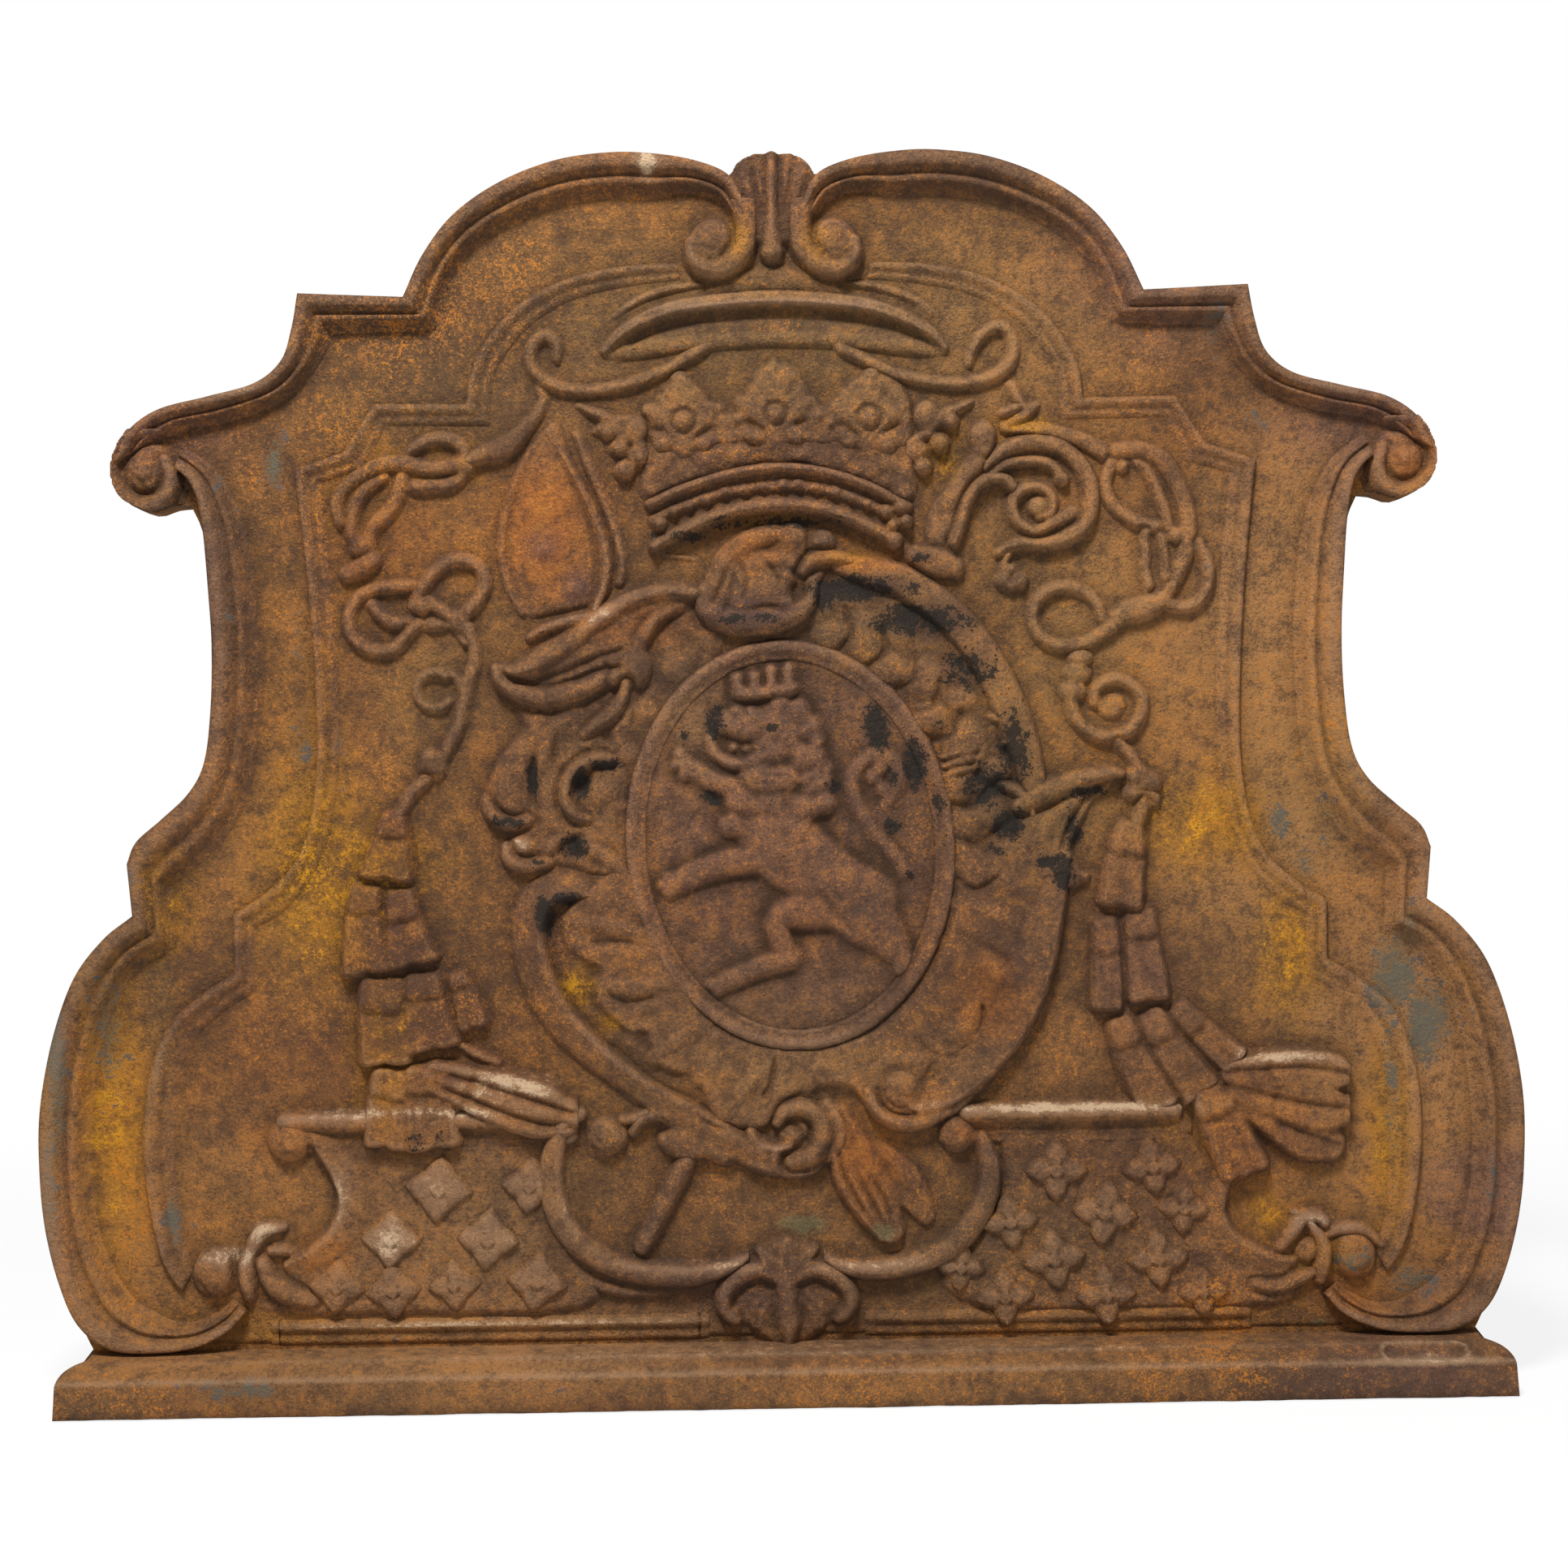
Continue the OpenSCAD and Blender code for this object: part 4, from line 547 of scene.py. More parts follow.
def cartouche_left_leafage(r):
    """Leafage at the upper left: a long leaf with a rolled tip, and torn lobes with dark hollows between below it."""
    r.h *= 0.4
    r.field([[-50, 522], [-60, 530], [-80, 528], [-100, 523], [-114, 516], [-128, 506], [-150, 492], [-170, 480],
        [-183, 476], [-182, 464], [-168, 455], [-150, 452], [-128, 457], [-112, 468], [-100, 466], [-84, 464],
        [-86, 478], [-92, 492], [-86, 506], [-70, 514]], 8.5, 2.0, rough=0.5, seed=12)
    r.field([[-112, 466], [-150, 455], [-170, 452], [-163, 440], [-166, 428], [-178, 414], [-189, 400], [-190, 386],
        [-176, 375], [-160, 377], [-172, 368], [-178, 357], [-164, 348], [-140, 350], [-112, 342], [-99, 346],
        [-96, 380], [-98, 420], [-94, 452]], 5.2, 2.2, rough=0.9, seed=13)
    r.lay([[-114, 510, 8], [-130, 507, 10], [-146, 503, 9], [-160, 496, 6, .8]], 8.5)
    r.lay([[-120, 498, 9], [-136, 493, 10], [-150, 488, 9], [-162, 480, 6, .8]], 9)
    r.lay([[-52, 523, 10, .8], [-74, 524, 12], [-96, 518, 14], [-116, 506, 15], [-136, 490, 15], [-154, 479, 13],
        [-170, 474, 9], [-181, 477, 6, .8]], 13)
    r.cord([[-90, 471, 12, .8], [-104, 470, 12], [-114, 468, 13], [-130, 461, 15], [-150, 457, 15], [-167, 461, 13],
        [-178, 468, 10], [-182, 477, 6, .8]], 12.5)
    r.cut([[-100, 488, 3], [-118, 482, 5], [-138, 473, 6], [-156, 468, 5], [-170, 468, 3]], 4.5)
    r.boss(-92, 476, 12, 12.5, tall=1.2)
    r.cut([[-111, 480, 2.4], [-109, 472, 3], [-110, 464, 2.4]], 6)
    r.lay([[-62, 516, 8, .7], [-78, 508, 10], [-88, 494, 12], [-92, 480, 12, .9]], 10)
    r.cord([[-98, 466, 9], [-101, 456, 10], [-108, 446, 11], [-118, 439, 10], [-126, 433, 7, .7]], 9.5)
    r.lay([[-130, 450, 14, .7], [-142, 440, 18, .9], [-150, 426, 16], [-152, 412, 12, .9]], 8)
    r.cut([[-143, 436, 2.4], [-144, 426, 3.4], [-146, 416, 2.4]], 4.5)
    r.lay([[-156, 436, 14, .8], [-164, 424, 20], [-173, 409, 25], [-176, 394, 24], [-172, 382, 18, .9]], 9.5)
    r.cord([[-189, 392, 9, .8], [-184, 382, 11], [-173, 377, 11], [-162, 379, 9, .8]], 10.5)
    r.cut([[-158, 418, 3], [-159, 404, 5], [-159, 390, 4]], 5)
    r.cord([[-108, 417, 9, .8], [-119, 418, 10], [-130, 412, 11], [-137, 402, 11], [-138, 391, 10], [-132, 382, 9],
        [-124, 379, 7, .7]], 11)
    r.boss(-115, 396, 13, 9, tall=0.95)
    r.dent(-127, 402, 5.5, 6, tall=1.5)
    r.lay([[-146, 408, 12, .8], [-150, 394, 14], [-148, 380, 13], [-142, 372, 10, .9]], 8.5)
    r.boss(-166, 363, 10, 10, tall=0.75)
    r.cord([[-176, 362, 9, .8], [-174, 354, 11], [-163, 350, 11], [-150, 352, 9, .8]], 9.5)
    r.lay([[-132, 372, 9, .8], [-142, 366, 11], [-150, 360, 10, .9]], 9)
    r.lay([[-130, 362, 9, .7], [-119, 358, 14], [-107, 350, 14], [-99, 343, 10, .8]], 8.5)
    r.dent(-136, 362, 9, 6, tall=1.3)
    r.dent(-110, 432, 5, 3, tall=1.6)


def cartouche_left_scroll(r):
    """The C-scroll at the lower left: a broad slope up to a crest near its inner side, ending in a rolled ribbon."""
    r.h *= 0.3
    slope = lambda side, along: 0.15 + 0.85 * np.clip((side + 1) / 1.5, 0, 1) ** 0.8
    r.lay([[-116, 334, 14, .6], [-134, 337, 20, .85], [-150, 334, 24], [-160, 322, 25], [-163, 304, 25],
        [-160, 284, 25], [-152, 264, 25], [-139, 245, 24], [-122, 228, 22], [-104, 214, 20], [-86, 202, 18, .9]],
        12.5, slope)
    r.lay([[-100, 212, 14, .7], [-84, 200, 20, .9], [-66, 188, 24], [-46, 176, 24], [-26, 166, 20], [-8, 159, 15]],
        11.5, lambda side, along: 0.55 + 0.45 * np.clip((side + 1) / 1.2, 0, 1))
    r.cut([[-60, 194, 2.6], [-50, 184, 3.4], [-34, 178, 3.4], [-20, 172, 3], [-10, 164, 2.4]], 4)
    r.field([[-82, 176], [-66, 182], [-44, 172], [-28, 160], [-40, 157], [-50, 161], [-66, 160], [-78, 166]], 9.5,
        1.8, rough=0.8, seed=17)
    r.lay([[-28, 160, 8, .7], [-14, 155, 10], [2, 152.5, 11], [16, 154, 11], [24, 160, 9, .9]], 11.5)
    r.lay([[-22, 178, 8, .8], [-18, 171, 8], [-8, 167, 8], [3, 168, 7, .9]], 13)
    r.boss(9, 177, 16, 10.5)
    r.cord([[4, 158, 13, .8], [17, 162, 15], [24, 174, 15], [21, 187, 14], [10, 193, 13], [0, 190, 11],
        [-5, 183, 8, .8]], 14)
    r.lay([[28, 160, 10, .7], [35, 170, 12], [34, 182, 12], [27, 194, 10, .8]], 11)
    r.cut([[2, 186, 3], [8, 181, 4], [12, 173, 4], [6, 168, 3]], 4.5)
    r.lay([[-98, 178, 7, .8], [-92, 186, 9], [-80, 190, 10], [-68, 186, 9, .9]], 10.5)


def cartouche_petals(r):
    """The body round the medallion: a lobed shell at the lower left, a smooth shoulder at the lower right, and torn
    leafage above."""
    r.h *= 0.2
    r.field([[-118, 345], [-140, 330], [-150, 300], [-138, 262], [-104, 226], [-62, 196], [-20, 184], [30, 196],
        [62, 208], [100, 206], [128, 226], [150, 262], [160, 300], [166, 350], [166, 392], [156, 440], [138, 474],
        [110, 506], [66, 532], [10, 538], [-50, 520], [-86, 488], [-106, 440], [-112, 390]], 3.4, 3, rough=0.8,
        seed=21)
    r.field([[-100, 352], [-122, 338], [-134, 326], [-142, 314], [-139, 299], [-131, 290], [-117, 283], [-122, 270],
        [-119, 259], [-106, 247], [-97, 241], [-88, 243], [-86, 230], [-78, 218], [-62, 214], [-53, 206], [-49, 194],
        [-46, 184], [-30, 180], [-20, 178], [-10, 182], [0, 196], [20, 204], [40, 206], [50, 196], [60, 184],
        [80, 178], [102, 182], [122, 196], [142, 222], [156, 250], [164, 282], [172, 310], [180, 340], [176, 356],
        [150, 366], [130, 352], [112, 372], [112, 330], [98, 286], [60, 244], [10, 230], [-40, 244], [-74, 290],
        [-94, 340]], 7.4, 1.7, rough=0.35, seed=23)
    for pts, h in (([[-134, 312, 12, .8], [-118, 312, 17], [-104, 309, 17], [-90, 306, 12, .8]], 10.5),
            ([[-117, 274, 12, .8], [-104, 272, 18], [-90, 271, 18], [-76, 274, 12, .8]], 10.5),
            ([[-128, 298, 9, .8], [-112, 294, 12], [-92, 290, 10, .8]], 9),
            ([[-104, 252, 12, .8], [-88, 258, 16], [-72, 262, 12, .8]], 9.6),
            ([[-82, 226, 14, .8], [-70, 236, 18], [-56, 246, 14, .8]], 9.6),
            ([[-54, 212, 14, .8], [-46, 222, 16], [-36, 234, 12, .8]], 9.4),
            ([[-32, 196, 14, .8], [-24, 206, 17], [-12, 218, 14, .9], [-4, 228, 9, .8]], 10),
            ([[14, 204, 14, .7], [20, 214, 16], [24, 224, 12, .8]], 8.8),
            ([[56, 216, 16, .8], [68, 222, 18], [84, 222, 18], [94, 212, 14, .8]], 9.4),
            ([[100, 236, 20, .8], [112, 242, 26], [122, 254, 22, .9], [126, 268, 14, .8]], 10),
            ([[118, 290, 20, .7], [134, 282, 24], [148, 272, 22], [158, 262, 14, .8]], 9.2),
            ([[112, 322, 16, .7], [130, 318, 20], [146, 310, 20], [160, 302, 14, .8]], 9.2),
            ([[122, 342, 16, .7], [140, 338, 20], [156, 330, 18], [170, 322, 12, .8]], 9)):
        r.lay(pts, h)
    for pts, d in (([[-122, 300, 3], [-106, 301, 4], [-90, 298, 3]], 2.6),
            ([[-112, 266, 3], [-100, 262, 4], [-84, 264, 3]], 2.6), ([[-13, 200, 3], [-8, 210, 4], [-6, 224, 3]],
            4.5), ([[128, 256, 2.6], [129, 244, 3.6], [125, 233, 3.8], [116, 227, 3]], 6),
            ([[112, 303, 2.4], [128, 296, 3.4], [146, 284, 3]], 2.2),
            ([[84, 236, 2.4], [96, 226, 3.4], [110, 224, 3]], 2.4),
            ([[60, 204, 2.6], [62, 193, 3.4], [72, 186, 3.4], [88, 184, 2.6]], 4.5),
            ([[95, 219, 2.4], [90, 210, 3.4], [84, 203, 2.6]], 3.4),
            ([[-60, 232, 2.4], [-50, 240, 3.4], [-42, 248, 2.4]], 1.8)):
        r.cut(pts, d)
    for a, k, size, h in ((84, 22, 13, 6.5), (76, 32, 14, 6.5), (70, 18, 15, 8), (60, 26, 17, 8), (52, 40, 12, 6),
            (49, 18, 15, 8.5), (40, 30, 16, 8), (30, 42, 12, 7), (31, 18, 15, 9), (20, 30, 17, 8.5),
            (12, 44, 12, 8.5), (12, 17, 14, 8.5), (3, 34, 15, 8), (1, 17, 13, 7.5), (-7, 40, 12, 8.5),
            (-10, 20, 14, 8), (95, 24, 12, 6), (108, 22, 13, 6), (122, 20, 13, 6), (137, 18, 12, 6),
            (150, 16, 12, 6)):
        x, z = ring_point(a, k)
        r.boss(x, z, size, h, tall=0.8 + 0.4 * (size % 3) / 2)
    for a in (90, 66, 55, 44, 35, 26, 16, 7, -3, -14):
        r.cut([ring_point(a, 12) + [3], ring_point(a - 2, 24) + [4.5], ring_point(a + 2, 38) + [3.4]], 4)
    for k in (-6, 0, 6):
        r.lay([[104, 410 + k, 4, .8], [115, 413 + k, 4.5], [129, 416 + k, 3.5, .7]], 10.6)
    r.cord([[136, 442, 7, .8], [146, 438, 9], [150, 430, 8], [144, 424, 6, .8]], 8.5)
    r.cord([[142, 398, 8, .8], [152, 394, 10], [160, 386, 9], [163, 376, 6, .8]], 9)
    x, z = r.X - DISC_X, r.Z - DISC_Z
    d = np.hypot((x * math.cos(LEAN) + z * math.sin(LEAN)) / (DISC_A + 1),
        (z * math.cos(LEAN) - x * math.sin(LEAN)) / (DISC_B + 1))
    r.h = np.where(d < 1, r.h - (1 - d) * 220, r.h)


def cartouche_right_band(r):
    r.h *= 0.4
    r.lay([[40, 541, 14, .7], [58, 536, 20, .9], [80, 529, 23], [101, 515, 24], [120, 497, 24], [135, 475, 24],
        [147, 450, 24], [156, 424, 23], [164, 396, 18, .9]], 11, lambda side,
        along: 0.82 + 0.18 * np.clip(1 - np.abs(side + 0.1) * 1.1, 0, 1))
    r.cut([[44, 530, 2.6], [72, 522, 3.4], [92, 508, 3.6], [110, 490, 3.6], [124, 468, 3.4], [136, 444, 3],
        [146, 418, 2.6]], 2.6)


def cartouche_right_scroll(r):
    """The scroll at the lower right: steep outside, falling away smoothly into the body, and rolled up at its end."""
    r.h *= 0.3
    r.lay([[180, 350, 16, .7], [172, 330, 26, .9], [165, 306, 32], [159, 282, 34], [150, 258, 34], [137, 236, 32],
        [120, 217, 30], [102, 203, 26], [86, 195, 20, .9]], 12.5, lambda side,
        along: 0.5 + 0.5 * np.clip((side + 1) / 1.5, 0, 1))
    r.lay([[104, 190, 12, .8], [88, 183, 13], [72, 183, 13], [59, 191, 12], [53, 203, 9, .8]], 12.5)
    r.boss(76, 204, 15, 12.5)
    r.cut([[62, 206, 2.6], [62, 195, 3.6], [70, 188.5, 3.8], [84, 188, 3]], 5.5)
    r.coil(77, 205, 10, 0.7, 0.6, 2.2, hand=-1)


def horn_leaf(r):
    r.h *= 0.3
    r.field([[156, 400], [180, 404], [204, 407], [220, 406], [213, 397], [200, 386], [191, 368], [185, 352],
        [196, 339], [186, 330], [172, 330], [158, 345], [150, 372]], 7.5, 1.6, rough=0.5, seed=27)
    r.cord([[154, 384, 14, .8], [166, 391, 17], [182, 397, 16], [198, 402, 13], [211, 404.5, 10], [221, 404, 6, .7]],
        12.5)
    r.lay([[160, 352, 16, .7], [168, 366, 18, .9], [178, 378, 15, .9], [190, 390, 10, .7]], 10)
    r.cut([[180, 356, 3], [187, 374, 5], [199, 390, 5], [210, 398, 3]], 5)
    r.lay([[166, 340, 12, .7], [180, 342, 13], [196, 338, 7, .7]], 10)


def leaf_tassel(r):
    """A leaf that hangs in ribs from under the scroll's end, with a fainter lobe at its right."""
    r.h *= 0.3
    r.lay([[52, 166, 16, .6], [68, 152, 24, .9], [80, 138, 24], [90, 122, 14, .7]], 7.5, lambda side,
        along: 0.7 + 0.3 * np.abs(np.sin(1.6 * math.pi * side)))
    r.lay([[34, 186, 20, .6], [40, 170, 28, .85], [47, 150, 35], [57, 132, 34], [66, 114, 22, .9]], 11.5, lambda side,
        along: 0.68 + 0.32 * np.abs(np.sin(2.3 * math.pi * (side + 0.12))) - 0.12 * np.clip(side, 0, 1))
    for pts in ([[34, 170, 2.4], [38, 150, 3.6], [50, 126, 3.2]], [[42, 172, 2.4], [47, 152, 3.6], [60, 122, 3.2]],
            [[50, 166, 2.4], [58, 146, 3.4], [68, 124, 2.6]], [[64, 152, 2], [76, 138, 2.8], [84, 126, 2]]):
        r.cut(pts, 3.4)


def medallion_rim(r):
    r.h *= 0.2
    r.lay(ring(5.2, 12.5), 8.8)
    r.lay(ring(-1.5, 7), 6.6)


def medallion(r):
    """The medallion's level face with the lion, its crown and its tail in low, worn relief."""
    base = r.h.copy()
    r.h = np.zeros_like(r.h)
    for pts in ([[-6, 404, 44, .7], [-7, 386, 50, .95], [0, 364, 52, 1], [18, 347, 46, 1], [38, 335, 40, 1],
            [58, 326, 34, .85]], [[38, 326, 40, .9], [56, 312, 38, .95], [70, 297, 24, .8], [78, 285, 15, .7]],
            [[46, 322, 34, .8], [26, 320, 28, .95], [8, 318, 24, 1], [-3, 312, 17, .95], [-1, 300, 15, .85],
            [4, 290, 14, .8]], [[6, 288, 14, .8], [-8, 285, 14, .8], [-22, 280, 13, .8], [-36, 274, 13, .75],
            [-42, 271, 9, .6]], [[-4, 356, 24, .8], [-22, 352, 20, .95], [-42, 348, 17, .9], [-60, 341, 16, .85],
            [-72, 335, 13, .7]], [[-12, 394, 22, .7], [-30, 398, 16, .8], [-46, 404, 13, .75], [-58, 412, 12, .7],
            [-63, 418, 7, .5]], [[80, 342, 9, .45], [72, 354, 9, .5], [60, 368, 8, .5], [50, 384, 8, .5],
            [46, 399, 9, .55], [50, 411, 9, .6], [60, 417.5, 10, .65], [71, 414, 11, .65], [76, 404, 12, .6],
            [72, 393, 10, .5], [66, 384, 5, .4]]):
        r.lay(pts, 6.6)
    r.boss(-1, 434, 22, 7.6, tall=0.95)
    r.lay([[-10, 438, 24], [-22, 437, 19], [-31, 438, 13, .9], [-37, 441, 8, .7]], 7)
    r.lay([[-45, 430, 5, .6], [-42, 421, 6.5, .8], [-34, 415, 7.5], [-25, 413.5, 8], [-16, 416.5, 9],
        [-8, 422, 10, .9]], 6.6)
    r.cut([[-38, 431, 2.4], [-31, 427, 3.6], [-22, 426, 3.4], [-15, 428, 2]], 4)
    for x, z, k, h in ((-34, 444, 4, 5), (-27, 447, 4.5, 6), (-30, 424, 3, 5.5), (-22, 423, 3, 5.5),
            (-18, 446, 5, 7.6), (-38, 436, 3, 5)):
        r.boss(x, z, k, h)
    r.dent(-13, 432, 3.6, 3.6)
    r.boss(-13, 432, 1.6, 6)
    r.cut([[-22, 437, 2], [-15, 438.5, 2.4], [-7, 435, 2]], 2.2)
    r.lay([[-24, 441, 4, .8], [-14, 443, 5], [-4, 440, 4, .8]], 8.2)
    r.dent(-2, 428, 3, 2.6)
    r.boss(-5, 421, 8, 7.6)
    for x, z, k, h in ((12, 447, 8, 7.8), (19, 437, 8, 7.2), (23, 428, 6, 7), (14, 418, 10, 7.6), (22, 417, 8, 7.2),
            (28, 410, 6, 6.4), (0, 450, 8, 7.8), (7, 432, 7, 8), (60, 404, 5, 4.6), (66, 396, 5, 4.4),
            (64, 409, 5, 4.6)):
        r.boss(x, z, k, h)
    for x, z, k, h in ((-14, 404, 14, 7.6), (2, 403, 13, 7.8), (22, 401, 12, 7.6), (-24, 390, 13, 7),
            (-6, 388, 13, 7.4), (14, 386, 13, 7.2), (-30, 374, 10, 6.6), (-12, 374, 11, 7), (27, 388, 9, 6.8),
            (4, 372, 12, 6.8)):
        r.boss(x, z, k, h, tall=0.85)
    for pts in ([[1, 408, 2.4], [4, 402, 3], [14, 399, 3.4], [25, 404, 3], [31, 414, 2.4]],
            [[-26, 404, 2], [-20, 396, 3], [-8, 394, 3], [6, 396, 2.6], [14, 392, 2]],
            [[-33, 384, 2], [-22, 379, 2.8], [-10, 382, 2.6], [-2, 378, 2.4]],
            [[8, 440, 2], [14, 438, 2.6], [20, 442, 2.4], [20, 449, 2]],
            [[10, 430, 2], [18, 427, 2.8], [27, 430, 2.2]], [[-36, 392, 2], [-34, 376, 2.8], [-30, 362, 2.4]],
            [[8, 360, 2], [16, 366, 2.6], [22, 378, 2.2]], [[-8, 412, 2], [2, 412, 2.6], [9, 417, 2]],
            [[24, 330, 2.4], [34, 318, 3.2], [44, 306, 3]]):
        r.cut(pts, 2.6)
    r.coil(14, 446, 5, 0.8, 0.4, 1.8)
    r.coil(15, 412, 7, 0.8, 3.4, 2)
    r.coil(-16, 385, 7, 0.8, 1.4, 1.6)
    for x, z in ((-72, 331), (-76, 336), (-73, 341), (-42, 268), (-46, 272), (-62, 407), (-66, 413), (-64, 420),
            (82, 281), (74, 280)):
        r.boss(x, z, 3.6, 5)
    r.lay([[-27, 458, 8, .8], [-16, 458, 9], [-2, 460, 9], [9, 462, 8, .9]], 7.8)
    for x, z in ((-27, 468), (-16, 469), (-5, 473), (6, 474)):
        r.lay([[x * .9, 459, 9], [x, z - 3, 7], [x, z, 4, .8]], 7.4)
        r.boss(x, z, 3.6, 8)
    r.cut([[-28, 453, 2.4], [-14, 453, 2.8], [-2, 455, 2.8], [10, 457, 2.2]], 3)
    lion = blur(r.h, 1.1)
    hollow = 0.5 * np.exp(-((blur(lion, 4) - lion - 0.9) / 0.7) ** 2) * (lion < 1)
    within = np.clip(base / 4, 0, 1)
    r.h = base + lion * within - hollow * within + 0.25 * waves(r.X, r.Z, 40, 9) * within


def rail(r, s):
    """A round bar over a grooved strip."""
    x0, x1 = (320, 152) if s < 0 else (118, 250)
    middle = s * (x0 * .5 + x1 * .5)
    r.h *= 0.3
    r.lay([[s * x0, 187, 14, .9], [middle, 187, 15], [s * x1, 187, 14, .9]], 12)
    r.field([[s * x0, 168], [s * x0, 184], [s * x1, 184], [s * x1, 168]], 5.5, 1.2)
    for z in (177, 172):
        r.cut([[s * (x0 + 3), z, 2], [middle, z, 2.6], [s * (x1 - 3), z, 2]], 2)


def left_bracket(r):
    """The raised die of the pedestal with a C-shaped left edge, and the rail's rolled end."""
    r.h *= 0.3
    r.field([[-300, 184], [-290, 166], [-283, 150], [-281, 132], [-286, 116], [-300, 103], [-318, 97], [-326, 84],
        [-318, 66], [-240, 64], [-150, 64], [-120, 74], [-136, 100], [-148, 130], [-152, 160], [-150, 184],
        [-220, 186]], 5, 1.8, rough=0.4, seed=31)
    r.boss(-317, 177, 15.5, 12, tall=0.95)
    r.boss(-316, 174, 8, 13)
    r.lay([[-304, 186, 12, .8], [-294, 174, 18], [-283, 158, 21], [-277, 142, 22], [-278, 126, 22], [-288, 111, 20],
        [-302, 101, 17], [-318, 96, 10, .8]], 10, lambda side, along: 0.5 + 0.5 * np.clip((1 - side) / 1.4, 0, 1))
    r.cord([[-336, 98, 11, .8], [-330, 86, 15], [-319, 78, 16], [-304, 73, 11, .8]], 10)
    r.cord([[-344, 100, 8, .8], [-341, 111, 10], [-334, 119, 10], [-322, 121, 7, .7]], 9.5)
    r.lay([[-330, 106, 8, .8], [-322, 106, 9], [-312, 104, 7, .7]], 8)
    r.cut([[-332, 92, 2], [-322, 85, 3], [-308, 79, 2]], 2.6)


def right_bracket(r):
    """The raised die of the pedestal with a C-shaped right edge, and the leaf bits at the foot of it."""
    r.h *= 0.3
    r.field([[136, 184], [140, 150], [134, 122], [118, 98], [100, 80], [130, 62], [220, 60], [318, 62], [326, 78],
        [320, 90], [302, 97], [288, 106], [281, 120], [283, 138], [290, 152], [270, 160], [250, 184], [200, 186]],
        4.8, 1.7, rough=0.5, seed=33)
    r.lay([[288, 154, 10, .8], [278, 138, 17], [275, 120, 18], [284, 103, 17], [300, 93, 16], [314, 88, 13],
        [326, 88, 8, .7]], 8.6, lambda side, along: 0.5 + 0.5 * np.clip((1 + side) / 1.4, 0, 1))
    r.cord([[318, 98, 9, .7], [326, 108, 11], [334, 117, 11], [345, 116, 9], [350, 106, 8, .8]], 10)
    r.cord([[346, 104, 8, .7], [358, 109, 10], [372, 108, 9], [384, 98, 6, .7]], 8.5)
    r.cord([[302, 74, 9, .8], [316, 72, 11], [332, 78, 10], [344, 84, 7, .8]], 8.5)
    r.boss(336, 96, 9, 8.5)


def left_lower_scroll(r):
    r.h *= 0.35
    r.cord([[-132, 190, 11, .8], [-142, 184, 14], [-149, 166, 17], [-150, 144, 18], [-144, 122, 19], [-130, 105, 19],
        [-110, 93, 18], [-86, 87, 17], [-60, 86, 15], [-40, 90, 12, .9], [-24, 98, 7, .7]], 12)
    r.cut([[-136, 178, 2], [-141, 160, 3], [-141, 142, 3.4], [-135, 124, 3.4], [-122, 108, 3.4], [-104, 98, 3],
        [-84, 93, 2.6]], 2.4)
    r.boss(-114, 176, 14, 11.5, tall=0.92)
    r.cord([[-104, 186, 8, .8], [-96, 187, 9], [-86, 190, 9], [-76, 187, 6, .8]], 9)
    r.coil(-114, 177, 9, 0.7, 2.2, 2)
    r.lay([[-142, 100, 8, .7], [-128, 84, 10], [-104, 76, 9], [-76, 74, 6, .6]], 6)


def right_lower_scroll(r):
    r.h *= 0.35
    r.cord([[126, 172, 11, .8], [131, 156, 15], [130, 138, 17], [121, 118, 18], [104, 101, 18], [82, 92, 17],
        [58, 88, 15], [38, 90, 12, .9], [22, 98, 7, .7]], 12)
    r.cut([[124, 158, 2.4], [122, 140, 3.2], [113, 122, 3.4], [98, 107, 3.4], [78, 98, 3], [58, 94, 2.4]], 2.4)
    r.boss(111, 174, 12.5, 12)
    r.boss(112, 172, 6.5, 13)


def pendant(r):
    """A worn palmette: three leaves above, a nose-shaped one below, and a side scroll each way that ends in a bead."""
    r.h *= 0.35
    r.field([[-16, 104], [0, 108], [16, 104], [22, 92], [40, 84], [47, 70], [40, 56], [26, 54], [14, 44], [0, 38],
        [-14, 44], [-26, 54], [-40, 56], [-47, 70], [-40, 84], [-22, 92]], 5.5, 2.4, rough=0.6, seed=41)
    for s in (-1, 1):
        r.cord([[s * 5, 83, 11, .8], [s * 18, 89, 13], [s * 31, 84, 13], [s * 40, 74, 12], [s * 40, 63, 10],
            [s * 33, 57, 8, .8]], 11.5)
        r.boss(s * 36, 60, 5.5, 11.5)
        r.lay([[s * 6, 84, 9, .8], [s * 11, 94, 11], [s * 17, 101, 7, .8]], 10.5, veined)
        r.lay([[s * 10, 72, 10, .8], [s * 18, 64, 13], [s * 20, 54, 9, .8]], 9, veined)
    r.lay([[0, 82, 12, .9], [0, 94, 15], [0, 106, 8, .8]], 11.5, veined)
    r.lay([[0, 86, 13, .8], [0, 74, 17], [1, 60, 20], [1, 48, 13], [1, 39, 6, .8]], 13)
    r.boss(0, 80, 8, 13)
    r.cut([[-9, 76, 2], [-5, 68, 3], [-9, 58, 2.4]], 3)
    r.cut([[10, 76, 2], [7, 68, 3], [11, 58, 2.4]], 3)


